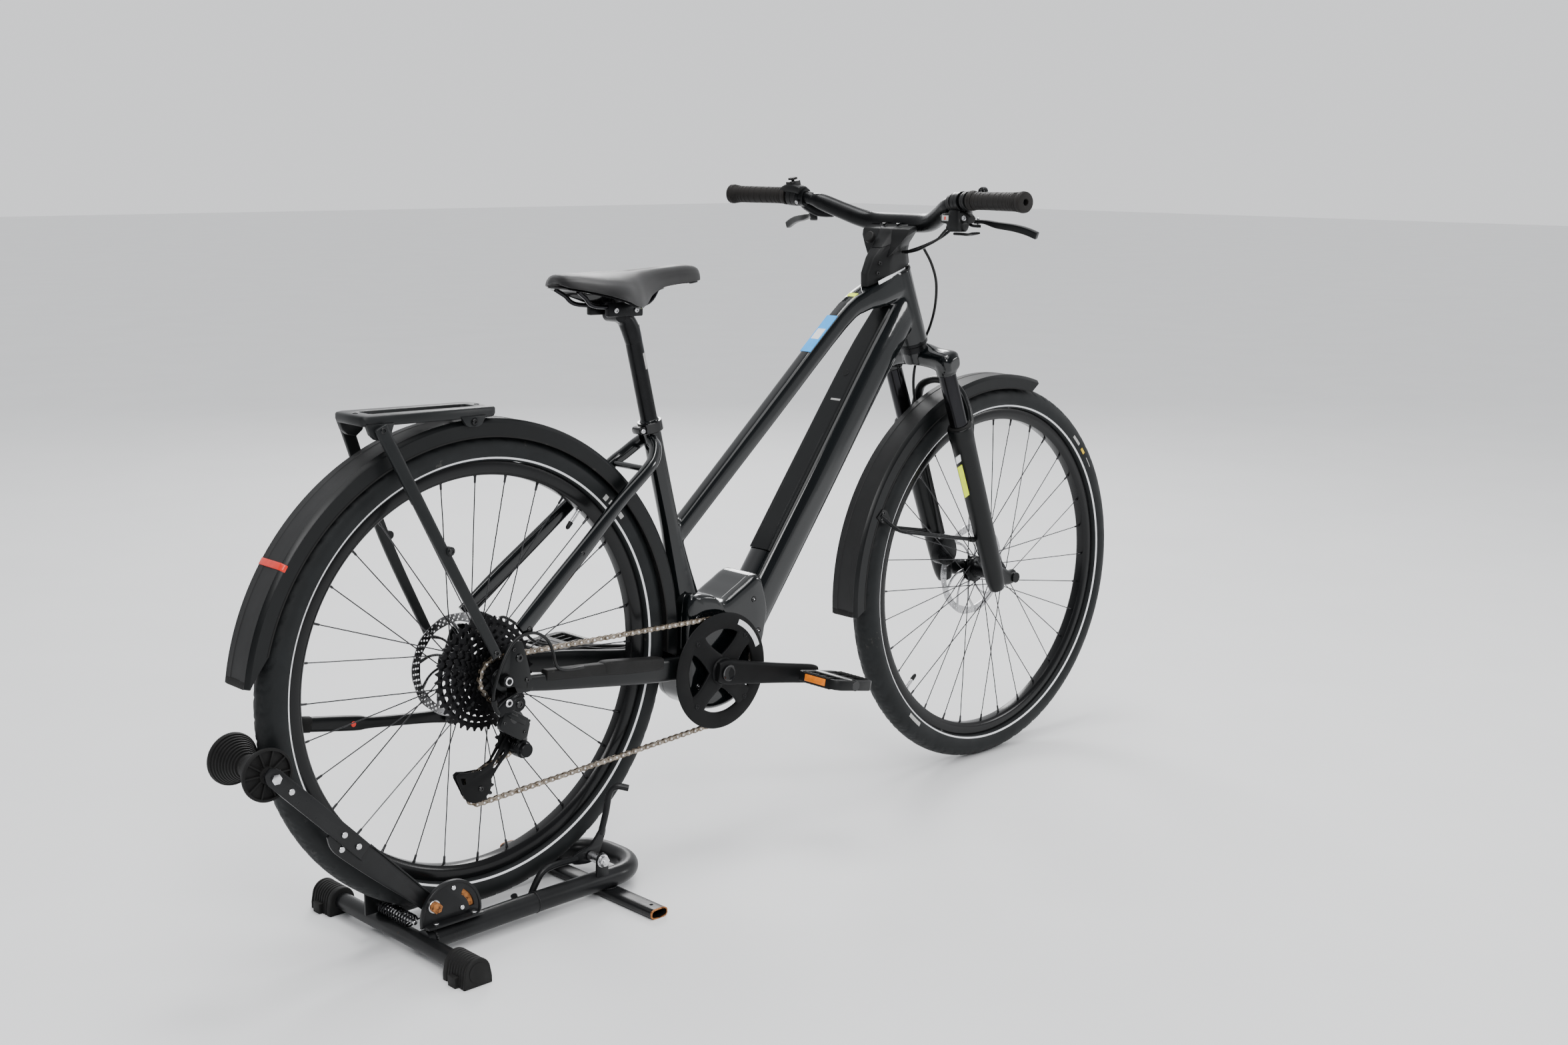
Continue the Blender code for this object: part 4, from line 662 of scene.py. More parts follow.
def rotor(centre, y, radius):
    """Wavy perforated brake rotor on its five-armed carrier."""
    thick, steps, waves = 0.0009, 240, 10
    inner_edge = radius - 0.0145
    outer, bore = [], []
    for i in range(steps):
        angle = 2 * math.pi * i / steps
        ripple = 0.0007 * math.cos(waves * angle)
        outer.append(((radius - 0.0008 + ripple), angle))
        bore.append(((inner_edge - ripple), angle))
    rings = []
    for line, offset in ((bore, -thick), (outer, -thick), (outer, thick), (bore, thick)):
        rings.append([centre + Vector((r * math.cos(a), y + offset, r * math.sin(a))) for r, a in line])
    band = loft(rings, looped=True)
    holes = []
    for row, (inset, size) in enumerate(((0.0033, 0.0013), (0.0072, 0.0018), (0.0112, 0.0015))):
        count = round(2 * math.pi * (radius - inset) / 0.0088)
        for k in range(count):
            if row == 1 and k % 6 == 5:
                continue
            angle = 2 * math.pi * (k + 0.5 * (row % 2)) / count
            spot = centre + Vector(((radius - inset) * math.cos(angle), y,
                                    (radius - inset) * math.sin(angle)))
            holes.append(lathe([(size, -0.003), (size, 0.003)], 10, spot))
    band = carve(band, merge(*holes))
    arms = []
    for k in range(10):
        angle = 2 * math.pi * k / 10
        twist = 0.42
        path = []
        for share in (0.0, 0.33, 0.66, 1.0):
            reach = 0.0225 + (inner_edge + 0.001 - 0.0225) * share
            turn = angle + twist * (share ** 1.4)
            path.append(centre + Vector((reach * math.cos(turn), y, reach * math.sin(turn))))
        arms.append(tube(path, [(0.003, thick), (0.0021, thick), (0.0021, thick), (0.003, thick)], ACROSS,
                         8, 6, 4))
    carrier = turned([(0.011, y - 0.0028), (0.018, y - 0.0028), (0.0245, y - 0.0012), (0.0245, y + 0.0012),
                      (0.018, y + 0.0024), (0.011, y + 0.0024)], 48, centre)
    return merge(band, *arms), carrier


def valve(centre, degrees):
    out = radial(math.radians(degrees))
    foot = centre + out * NIPPLE_SEAT
    stem = lathe([(0.0003, 0), (0.0052, 0), (0.0052, 0.002), (0.0031, 0.0024), (0.0031, 0.019),
                  (0.0026, 0.0195), (0.0026, 0.024), (0.0003, 0.024)], 20, foot, -out)
    threads = [turned([(0.0029, 0.003 + 0.0012 * k), (0.0034, 0.0036 + 0.0012 * k),
                       (0.0029, 0.0042 + 0.0012 * k)], 20, foot, -out) for k in range(12)]
    cap = lathe([(0.0003, 0.0215), (0.0038, 0.0215), (0.004, 0.0225), (0.0034, 0.032), (0.0018, 0.0345),
                 (0.0003, 0.0345)], 16, foot, -out)
    return merge(stem, *threads), cap


def wheel(name, centre, body, flanges, ends, rotor_y, rotor_radius, valve_at, marks):
    rubber = piece(name + "_tyre_tread", tyre(centre), body, "tyre", [name + "_tyre"], angle=50)
    profile = [(RIM_INNER, -0.005), (RIM_INNER + 0.0006, -0.0082), (0.2985, -0.0118), (0.303, -0.0133),
               (0.308, -0.0135), (0.315, -0.0135), (0.3165, -0.0128), (0.3165, -0.0115), (0.311, -0.0108),
               (0.308, -0.006), (0.307, 0.0), (0.308, 0.006), (0.311, 0.0108), (0.3165, 0.0115),
               (0.3165, 0.0128), (0.315, 0.0135), (0.308, 0.0135), (0.303, 0.0133), (0.2985, 0.0118),
               (RIM_INNER + 0.0006, 0.0082), (RIM_INNER, 0.005)]
    piece(name + "_rim_body", turned(profile, 240, centre), body, "rim", [name + "_rim"],
          angle=30)
    lines, nipples = spokes(centre, *flanges)
    piece(name + "_spokes", lines, body, "spoke")
    piece(name + "_nipples", nipples, body, "spoke")
    piece(name + "_hub_shell", hub(centre, *flanges, *ends), body, "anodised", [name + "_hub"])
    disc_part, carrier = rotor(centre, rotor_y, rotor_radius)
    piece(name + "_rotor", disc_part, body, "rotor", angle=30)
    piece(name + "_rotor_carrier", carrier, body, "anodised")
    stem_part, cap = valve(centre, valve_at)
    piece(name + "_valve", stem_part, body, "steel")
    piece(name + "_valve_cap", cap, body, "plastic")
    bands = merge(sidewall_band(centre, 1, 119, 126.5), sidewall_band(centre, -1, 119, 126.5))
    piece(name + "_reflective_bands", bands, body, "reflective")
    for k, (start, sweep, low, high, finish) in enumerate(marks):
        band = sidewall_band(centre, -1, low, high, start, sweep, 12)
        piece("%s_tyre_mark_%d" % (name, k + 1), band, body, finish)
    return rubber


wheel("rear", Vector(), "rear_wheel", (-0.0155, 0.03), (-0.0196, 0.066), 0.049, 0.08, 49.0,
      [(-45, 6.5, 88, 105, "grey_label"), (-47.5, 1.4, 88, 108, "grey_label"),
       (-248, 3.0, 88, 101, "gold_label"), (-252, 2.0, 90, 99, "grey_label"),
       (-243, 5.0, 90, 99, "grey_label")])
wheel("front", FRONT_AXLE, "front_wheel", (-0.027, 0.027), (-0.048, 0.044), 0.0365, 0.09, 221.5,
      [(-48, 4.5, 88, 100, "grey_label"), (-41.5, 2.4, 88, 100, "gold_label"),
       (-37, 4.0, 91, 94, "grey_label"), (-232, 6.5, 88, 105, "grey_label")])


# ---- Stand ----
CROSS = Vector((-0.15, 0, 0.0205))
ARM_PIVOT = Vector((-0.137, 0, 0.077))
ROLLER = Vector((-0.3726, 0, 0.3225))
LEVER_PIVOT = Vector((0.17, 0, 0.066))


def stand_part(name, shape, finish, nodes=(), body="stand", bevel=0.0, angle=35.0):
    return piece(name, shape, body, finish, nodes, bevel, angle, ON_STAND)


def weld(centre, axis, radius, bead=0.0019):
    """Rippled bead round a welded joint."""
    centre, axis = Vector(centre), Vector(axis).normalized()
    first = axis.orthogonal().normalized()
    second = axis.cross(first)
    rings = []
    steps = 96
    for i in range(steps):
        angle = 2 * math.pi * i / steps
        out = first * math.cos(angle) + second * math.sin(angle)
        size = bead * (1 + 0.22 * math.cos(24 * angle))
        rings.append(ring_at(centre + out * radius, out, axis, size, size * 1.2, 8, 2.0))
    return loft(rings, looped=True)


def stand_frame():
    y, front, corner = 0.072, 0.262, 0.06
    bend = [(front - corner + dx, -(y - corner) + dy) for dx, dy in arc((0, 0), corner, -90, 0, 16)]
    right = [(-0.15, -y, 0.026), (0.0, -y, 0.029)] + [(px, py, 0.03) for px, py in bend]
    path = right + [(px, -py, pz) for px, py, pz in reversed(right)]
    stand_part("stand_loop_tube", tube(path, 0.016, UP, 40, spans=1), "stand_paint", ["stand_base"])
    bar = disc(CROSS - ACROSS * 0.178, CROSS + ACROSS * 0.172, 0.0135, steps=40)
    stand_part("stand_cross_tube", bar, "stand_paint")
    foot = tube([(0.19, -0.195, 0.008), (0.19, 0.195, 0.008)], (0.008, 0.016), (1, 0, 0), 32, 3.2, 1)
    bore = tube([(0.19, -0.2, 0.008), (0.19, 0.2, 0.008)], (0.0062, 0.0142), (1, 0, 0), 32, 3.2, 1)
    hole = lathe([(0.0032, 0), (0.0032, 0.05)], 16, (0.19, -0.176, -0.01), UP)
    stand_part("stand_foot_bar", carve(carve(foot, bore), hole), "stand_paint")
    ends = [tube([(0.19, s * 0.193, 0.008), (0.19, s * 0.1952, 0.008)], (0.0081, 0.0161), (1, 0, 0), 32, 3.2,
                 1) for s in (-1, 1)]
    stand_part("stand_foot_rust", merge(*[carve(end, bore) for end in ends]), "rust")
    beads = [weld((-0.137, s * y, 0.0262), (1, 0, 0.02), 0.0163) for s in (-1, 1)]
    beads += [weld((0.046, s * y, 0.0294), (1, 0, 0.01), 0.016, 0.0009) for s in (-1, 1)]
    beads += [weld((0.19, s * y, 0.0148), UP, 0.012, 0.0018) for s in (-1, 1)]
    stand_part("stand_welds", merge(*beads), "stand_paint", angle=60)
    x, z = LEVER_PIVOT.x, LEVER_PIVOT.z
    outline = [(x - 0.012, 0.036), (x + 0.012, 0.036), (x + 0.0105, z + 0.002), (x + 0.0085, z + 0.008),
               (x + 0.004, z + 0.0115), (x, z + 0.012), (x - 0.004, z + 0.0115), (x - 0.0085, z + 0.008),
               (x - 0.0105, z + 0.002)]
    stand_part("stand_lever_bracket", prism(outline, -0.084, -0.079), "stand_paint", bevel=0.0008)
    pin = merge(disc((x, -0.079, z), (x, -0.0535, z), 0.0075), disc((x, -0.054, z), (x, -0.042, z), 0.004))
    stand_part("stand_lever_pin", pin, "steel")
    nut = merge(prism(arc((x, z), 0.0092, 0, 300, 5), -0.0895, -0.0845),
                disc((x, -0.092, z), (x, -0.089, z), 0.004),
                disc((x, -0.0847, z), (x, -0.0838, z), 0.0105, 0.0003))
    stand_part("stand_lever_nut", nut, "steel", bevel=0.0006)


def stand_cap(side):
    rings = []
    stations = [(0.15, -0.0022), (0.1512, -0.0004), (0.153, 0.0), (0.158, 0.0)]
    for k in range(6):
        y = 0.16 + 0.0062 * k
        stations += [(y, -0.0001), (y + 0.0006, -0.0017), (y + 0.0024, -0.0017), (y + 0.003, 0.0)]
    stations += [(0.1985, 0.0), (0.199, -0.002), (0.2, -0.002), (0.2006, 0.0004), (0.204, 0.0004),
                 (0.205, -0.001)]
    for y, grow in stations:
        outline = [(CROSS.x - 0.0235 - grow, 0.0), (CROSS.x + 0.0235 + grow, 0.0)]
        outline += [(CROSS.x + 0.0235 + grow, 0.01)] + arc((CROSS.x, CROSS.z), 0.0211 + grow, 8, 172, 20)
        outline += [(CROSS.x - 0.0235 - grow, 0.01)]
        rings.append([Vector((px, side * y, pz)) for px, pz in outline])
    face = lathe([(0.0003, 0), (0.015, 0), (0.015, 0.001), (0.0003, 0.0014)], 32,
                 (CROSS.x, side * 0.2048, CROSS.z), ACROSS * side)
    lugs = [block((CROSS.x + 0.024 * s - 0.005, min(side * 0.172, side * 0.19), 0.0),
                  (CROSS.x + 0.024 * s + 0.005, max(side * 0.172, side * 0.19), 0.016)) for s in (-1, 1)]
    return merge(loft(rings), face, *lugs)


def stand_plates():
    cx, cz, r, bottom = -0.105, 0.055, 0.052, 0.0462
    plate = prism([(cx + r, bottom), *arc((cx, cz), r, -8, 188, 48), (cx - r, bottom)], -0.076, -0.071)
    slot = prism(arc((cx, cz), 0.04, 6, 58, 14) + arc((cx, cz), 0.031, 58, 6, 14), -0.08, -0.07)
    stand_part("stand_side_plate", carve(plate, slot), "stand_paint", ["stand_plate_right"], bevel=0.0006)
    rust = prism(arc((cx, cz), 0.0412, 4, 60, 14) + arc((cx, cz), 0.0298, 60, 4, 14), -0.0725, -0.0712)
    stand_part("stand_slot_rust", rust, "rust")
    rim = tube([(px, -0.0762, pz) for px, pz in arc((cx, cz), r - 0.0022, -6, 186, 60)], (0.0021, 0.0012),
               ACROSS, 10, 3, 1)
    stand_part("stand_plate_rim", rim, "stand_paint")
    flange = block((cx - r + 0.004, -0.09, bottom), (cx + r - 0.004, -0.0712, bottom + 0.004))
    stand_part("stand_plate_flange", flange, "stand_paint", bevel=0.001)
    rivets = [bolt((cx + dx, -0.083, bottom + 0.0038), UP, 0.0042, 0.0028, False) for dx in (-0.032, 0.034)]
    rivets += [bolt((cx + dx, -0.0758, cz + dz), -ACROSS, 0.0036, 0.0022, False)
               for dx, dz in ((0.004, 0.04), (0.018, 0.006))]
    stand_part("stand_plate_rivets", merge(*rivets), "steel")
    x, z = ARM_PIVOT.x, ARM_PIVOT.z
    sleeve = merge(disc((x, -0.0815, z), (x, -0.074, z), 0.0098), disc((x, -0.06, z), (x, -0.053, z), 0.008))
    stand_part("stand_arm_washer", sleeve, "steel")
    head = merge(prism(arc((x, z), 0.0082, 10, 310, 5), -0.09, -0.0812),
                 disc((x, -0.076, z), (x, -0.055, z), 0.004))
    stand_part("stand_arm_bolt", head, "rust", bevel=0.0008)
    x = CROSS.x
    left = prism([(x - 0.024, 0.0346), (x + 0.02, 0.0346), (x + 0.018, 0.07), (x + 0.008, 0.08),
                  (x - 0.004, 0.084), (x - 0.016, 0.083), (x - 0.024, 0.078)], 0.046, 0.05)
    stand_part("stand_spring_plate", left, "stand_paint", ["stand_plate_left"], bevel=0.0006)
    shaft = disc((x, -0.05, 0.0465), (x, 0.053, 0.0465), 0.0035)
    stand_part("stand_spring_shaft", shaft, "steel")
    turns, per_turn, coil = 11, 28, []
    for i in range(turns * per_turn + 1):
        angle = 2 * math.pi * i / per_turn
        coil.append((x + 0.0092 * math.cos(angle), -0.04 + 0.078 * i / (turns * per_turn),
                     0.0465 + 0.0092 * math.sin(angle)))
    coil = [(x + 0.03, -0.04, 0.048)] + coil + [(x + 0.026, 0.04, 0.044)]
    stand_part("stand_coil_spring", wire(coil, 0.0014, 10, 1), "stanchion", ["stand_spring"])


def stand_arm():
    along = (ROLLER - ARM_PIVOT).normalized()
    length = (ROLLER - ARM_PIVOT).length
    normal = Vector((along.z, 0, -along.x))

    def strip(stations, low, high):
        rows = catmull(stations, 6)
        upper = [ARM_PIVOT + along * s + normal * h for s, h, _ in rows]
        lower = [ARM_PIVOT + along * s - normal * h for s, _, h in reversed(rows)]
        return prism([(p.x, p.z) for p in upper + lower], low, high)

    lower = strip([(-0.013, 0.004, 0.004), (-0.008, 0.011, 0.011), (0.03, 0.0125, 0.0135),
                   (0.1, 0.013, 0.021), (0.17, 0.013, 0.0265), (0.195, 0.0125, 0.0255),
                   (0.212, 0.009, 0.017)], -0.0655, -0.0605)
    hole = lathe([(0.0046, 0), (0.0046, 0.03)], 20, ARM_PIVOT - ACROSS * 0.08, ACROSS)
    stand_part("arm_lower_plate", carve(lower, hole), "stand_paint", ["stand_arm"], "roller_arm",
               bevel=0.0007)
    upper = strip([(0.15, 0.01, 0.01), (0.156, 0.0125, 0.0125), (length - 0.02, 0.013, 0.013),
                   (length + 0.004, 0.0125, 0.0125), (length + 0.016, 0.006, 0.006)], -0.0705, -0.0655)
    stand_part("arm_upper_plate", upper, "stand_paint", (), "roller_arm", bevel=0.0007)
    edge = tube([ARM_PIVOT + along * s + normal * h - ACROSS * 0.0668 for s, h in
                 ((0.006, 0.0122), (0.06, 0.013), (0.147, 0.013))], (0.0011, 0.0014), ACROSS, 8, 3, 3)
    stand_part("arm_edge_flange", edge, "stand_paint", (), "roller_arm")
    rivets = [bolt(ARM_PIVOT + along * s + normal * h - ACROSS * y, -ACROSS, 0.0045, 0.0026, False)
              for s, h, y in ((0.165, 0.0, 0.0704), (0.196, 0.0, 0.0704), (0.182, -0.017, 0.0654),
                              (length - 0.032, 0.0, 0.0704))]
    stand_part("arm_rivets", merge(*rivets), "steel", (), "roller_arm")
    x, z = ROLLER.x, ROLLER.z
    axle = merge(disc((x, -0.0735, z), (x, 0.054, z), 0.004),
                 prism(arc((x, z), 0.0078, 0, 300, 5), -0.0745, -0.0705),
                 disc((x, 0.0515, z), (x, 0.057, z), 0.0085), disc((x, -0.0655, z), (x, -0.0515, z), 0.0062))
    stand_part("arm_axle", axle, "steel", (), "roller_arm", bevel=0.0004)


def roller():
    r = 0.0375
    half = [(0.0045, 0.0485), (0.011, 0.05), (0.012, 0.05), (0.0124, 0.0455), (0.0332, 0.0455),
            (0.0338, 0.05), (0.037, 0.05), (r, 0.0495), (r, 0.0464)]
    for k in range(9):
        share = k / 9
        reach, place = 0.037 - 0.02 * share, 0.0455 - 0.041 * share
        half += [(reach, place), (reach - 0.0006, place - 0.0022), (reach - 0.0028, place - 0.0024)]
    half += [(0.0165, 0.004)]
    profile = [(a, -b) for a, b in half] + half[::-1]
    webs = []
    for side in (-1, 1):
        for k in range(10):
            angle = 2 * math.pi * k / 10
            out = radial(angle)
            low, high = sorted((side * 0.0452, side * 0.0492))
            webs.append(tube([ROLLER + out * 0.0118 + ACROSS * (low + high) / 2,
                              ROLLER + out * 0.0342 + ACROSS * (low + high) / 2],
                             (0.0012, (high - low) / 2), ACROSS, 8, 6, 1))
    return merge(turned(profile, 72, ROLLER), *webs)


def foot_lever():
    x, z = LEVER_PIVOT.x, LEVER_PIVOT.z
    rows = catmull([(x - 0.034, z - 0.001, 0.003), (x - 0.03, z - 0.001, 0.0068), (x - 0.016, z, 0.0108),
                    (x, z + 0.001, 0.0128), (x + 0.01, z + 0.007, 0.0115), (x + 0.018, z + 0.019, 0.0085),
                    (x + 0.0255, z + 0.031, 0.0062), (x + 0.03, z + 0.0375, 0.003)], 5)
    middle_line = [Vector((a, 0, b)) for a, b, _ in rows]
    upper, lower = [], []
    for i, point in enumerate(middle_line):
        ahead = middle_line[min(i + 1, len(rows) - 1)] - middle_line[max(i - 1, 0)]
        normal = Vector((-ahead.z, 0, ahead.x)).normalized()
        upper.append(point + normal * rows[i][2])
        lower.append(point - normal * rows[i][2])
    plate = prism([(p.x, p.z) for p in upper + lower[::-1]], -0.052, -0.0465)
    hole = lathe([(0.0046, 0), (0.0046, 0.03)], 20, (x, -0.06, z), ACROSS)
    stand_part("lever_plate", carve(plate, hole), "stand_paint", ["stand_lever"], "foot_lever", bevel=0.0007)
    y = -0.0492
    hook = wire([(x + 0.024, y, z + 0.028), (x + 0.035, y, z + 0.062), (x + 0.043, y, z + 0.092),
                 (x + 0.052, y - 0.007, z + 0.102), (x + 0.066, y - 0.019, z + 0.099)], 0.0053, 16)
    tail = wire([(x - 0.024, y, z), (x - 0.06, y + 0.003, z), (x - 0.085, y + 0.006, z - 0.006),
                 (x - 0.1, y + 0.008, z - 0.026), (x - 0.11, y + 0.009, z - 0.045),
                 (x - 0.122, y + 0.009, z - 0.052), (x - 0.134, y + 0.008, z - 0.044),
                 (x - 0.14, y + 0.007, z - 0.03)], 0.0053, 16)
    stand_part("lever_wire_hook", merge(hook, tail), "stand_paint", (), "foot_lever")


stand_frame()
for cap_side, cap_name in ((-1, "right"), (1, "left")):
    stand_part("stand_foot_cap_" + cap_name, stand_cap(cap_side), "rubber", ["stand_cap_" + cap_name],
               bevel=0.0005)
stand_plates()
stand_arm()
stand_part("roller_body", roller(), "rubber", ["stand_roller"], "roller", angle=28)
foot_lever()


# ---- Frame ----
TOP_TUBE_LOW, TOP_TUBE_HIGH = (0.59, 0, 0.3434), (0.756, 0, 0.495)
DOWN_DIRECTION, DOWN_NORMAL = Vector((0.574, 0, 0.819)), Vector((-0.819, 0, 0.574))
NECK_DIRECTION, NECK_NORMAL = Vector((0.623, 0, 0.782)), Vector((-0.782, 0, 0.623))
DOWN_MIDDLE = Vector((0.706, 0, 0.2345))
COVER_HALVES = (0.0228, 0.0228, 0.0212, 0.018)


def cylinder(start, end, radius, steps=40):
    start, end = Vector(start), Vector(end)
    return lathe([(radius, 0), (radius, (end - start).length)], steps, start, end - start)


def front_triangle():
    head = cylinder(steer(HEAD_LOW + 0.001), steer(HEAD_TOP - 0.001), 0.0262, 64)
    seat_sizes = ((0.431, 0.0155, 0.0155), (0.27, 0.0155, 0.0155), (0.22, 0.0175, 0.0165),
                  (0.165, 0.0215, 0.0195), (0.105, 0.0265, 0.025), (0.05, 0.03, 0.028),
                  (0.01, 0.03, 0.028))
    seat_part = tube([seat(s) for s, _, _ in seat_sizes], [(a, b) for _, a, b in seat_sizes], sides=40,
                     spans=4)
    down = tube([(0.51, 0, -0.045), (0.5625, 0, 0.03), (0.634, 0, 0.132), (0.706, 0, 0.2345),
                 (0.83, 0, 0.411), (0.885, 0, 0.48), (0.918, 0, 0.52)],
                [(0.036, 0.034), (0.036, 0.034), (0.036, 0.034), (0.036, 0.034), (0.036, 0.032),
                 (0.036, 0.028), (0.032, 0.023)], sides=40, power=3.2, spans=4)
    top = tube([(0.385, 0, 0.158), (0.4176, 0, 0.186), TOP_TUBE_LOW, TOP_TUBE_HIGH,
                (0.808, 0, 0.5275), (0.845, 0, 0.541), (0.89, 0, 0.562)],
               [(0.0165, 0.0135), (0.016, 0.013), (0.0165, 0.014), (0.017, 0.015), (0.02, 0.0185),
                (0.026, 0.022), (0.034, 0.024)], sides=40, power=4.0, spans=4)
    skin = fused(merge(head, seat_part, down, top), 0.0021, 9)
    above = [steer(HEAD_TOP - 0.0006, -0.3), steer(HEAD_TOP - 0.0006, 0.2), steer(0.9, 0.2), steer(0.9, -0.3)]
    skin = carve(skin, prism([(p.x, p.z) for p in above], -0.1, 0.1))
    post_bore = cylinder(seat(0.19), seat(0.5), 0.0139)
    skin = carve(skin, post_bore)
    skin = carve(skin, cylinder(steer(0.49), steer(0.66), 0.017))
    pocket = tube(battery_line(0.0455, 0.0014, 0.014), [(0.0147, half + 0.0012) for half in COVER_HALVES],
                  ACROSS, 40, 16, 4)
    return carve(skin, pocket)


def battery_line(lift, overrun=0.0, short=0.0):
    """Points along the rear face of the down tube, lift away from the tube's middle."""
    bend, high = Vector((0.827, 0, 0.4068)), Vector((0.8934, 0, 0.4907))
    return [DOWN_MIDDLE - DOWN_DIRECTION * (0.1695 + overrun) + DOWN_NORMAL * lift,
            DOWN_MIDDLE + DOWN_NORMAL * lift,
            bend + (DOWN_NORMAL + NECK_NORMAL).normalized() * lift,
            high - NECK_DIRECTION * short + NECK_NORMAL * lift]


def battery_cover():
    cover = tube(battery_line(0.03445), [(0.0038, half) for half in COVER_HALVES], ACROSS, 48, 12, 4)
    base = DOWN_MIDDLE + DOWN_NORMAL * 0.03445
    rails = [tube([base - DOWN_DIRECTION * 0.15 + DOWN_NORMAL * 0.0034 + ACROSS * y,
                   base + DOWN_DIRECTION * 0.06 + DOWN_NORMAL * 0.0034 + ACROSS * y], (0.0007, 0.0009),
                  ACROSS, 8, 3, 1) for y in (-0.0165, 0.0165)]
    high = base + DOWN_DIRECTION * 0.18
    lock = disc(high + DOWN_NORMAL * 0.002, high + DOWN_NORMAL * 0.0048, 0.007)
    return merge(cover, *rails), lock


MOTOR_OUTLINE = [(0.386, 0.052), (0.386, -0.082), (0.405, -0.118), (0.44, -0.132), (0.49, -0.125),
                 (0.522, -0.095), (0.54, -0.06), (0.552, -0.034), (0.558, -0.01), (0.563, 0.022),
                 (0.556, 0.055), (0.54, 0.084), (0.5, 0.066), (0.461, 0.048), (0.438, 0.062), (0.405, 0.066)]


def rounded_outline(outline, spans=5):
    rows = [*outline[-2:], *outline, *outline[:3]]
    smooth = catmull(rows, spans)
    return [tuple(p) for p in smooth[2 * spans:(2 + len(outline)) * spans]]


def motor():
    outline = rounded_outline(MOTOR_OUTLINE)
    cx = sum(p[0] for p in outline) / len(outline)
    cz = sum(p[1] for p in outline) / len(outline)
    rings = []
    for y, shrink in ((-0.043, 0.62), (-0.043, 0.905), (-0.0424, 0.935), (-0.0405, 0.965), (-0.0375, 0.985),
                      (-0.033, 0.994), (-0.0255, 0.994), (-0.025, 0.988), (-0.0244, 0.994), (0.0244, 0.994),
                      (0.025, 0.988), (0.0255, 0.994), (0.033, 0.994), (0.0375, 0.985), (0.0405, 0.965),
                      (0.0424, 0.935), (0.043, 0.905), (0.043, 0.62)):
        rings.append([Vector((cx + (x - cx) * shrink, y, cz + (z - cz) * shrink)) for x, z in outline])
    return loft(rings)


piece("frame_main_weldment", front_triangle(), "bicycle", "frame_gloss",
      ["frame_head_tube", "frame_seat_tube", "frame_down_tube", "frame_top_tube"], angle=40)
cover_shape, lock_shape = battery_cover()
piece("battery_lid", cover_shape, "bicycle", "frame_satin", ["battery_cover"], 0.0004)
piece("battery_lock", lock_shape, "bicycle", "plastic")
piece("motor_cover", motor(), "bicycle", "frame_gloss", ["frame_motor_housing"], angle=28)
screw_places = [(x, s * 0.0426, z) for s in (-1, 1) for x, z in ((0.404, 0.028), (0.408, -0.086),
        (0.476, -0.104), (0.5286, 0.043), (0.54, -0.012))]
motor_screws = [bolt(place, (0, place[1], 0), 0.0052, 0.0022) for place in screw_places]
piece("motor_screws", merge(*motor_screws), "bicycle", "gloss_part")
pips = [disc((x, y, z), (x, y + math.copysign(0.0019, y), z), 0.0014, 0.0002, 10) for x, y, z in screw_places]
piece("motor_screw_pips", merge(*pips), "bicycle", "steel")
head_races = merge(turned([(0.015, 0), (0.0255, 0), (0.0268, 0.0012), (0.0268, 0.0058), (0.0255, 0.0064),
                           (0.015, 0.0064)], 64, steer(HEAD_LOW + 0.0002), STEER_AXIS),
                   turned([(0.015, 0), (0.025, 0), (0.0268, 0.0012), (0.0268, 0.0052), (0.015, 0.0056)], 64,
                          steer(HEAD_TOP - 0.006), STEER_AXIS))
piece("head_tube_races", head_races, "bicycle", "anodised")


def seatstays():
    path = [(0.33, -0.01, 0.322), (0.326, -0.024, 0.312), (0.312, -0.037, 0.296), (0.292, -0.044, 0.281),
            (0.233, -0.05, 0.237), (0.16, -0.059, 0.177), (0.085, -0.0675, 0.1165), (0.03, -0.0725, 0.07)]
    halves = [(0.0095, 0.0095), (0.0095, 0.0095), (0.0095, 0.0095), (0.0095, 0.009), (0.0105, 0.008),
              (0.0125, 0.0065), (0.014, 0.0062), (0.014, 0.0045)]
    stay = tube(path, halves, sides=32, power=2.4, spans=6)
    bridge = disc((0.294, -0.042, 0.282), (0.294, 0.042, 0.282), 0.005)
    return merge(stay, mirrored(stay), bridge)


piece("frame_seatstay_pair", seatstays(), "bicycle", "frame_gloss", ["frame_seatstays"])
stay_screws = [bolt((0.15, s * 0.0655, 0.17), ACROSS * s, 0.0042, 0.002) for s in (-1, 1)]
stay_screws += [bolt((0.044, s * 0.076, 0.07), ACROSS * s, 0.0048, 0.002) for s in (-1, 1)]
piece("seatstay_screws", merge(*stay_screws), "bicycle", "gloss_part")


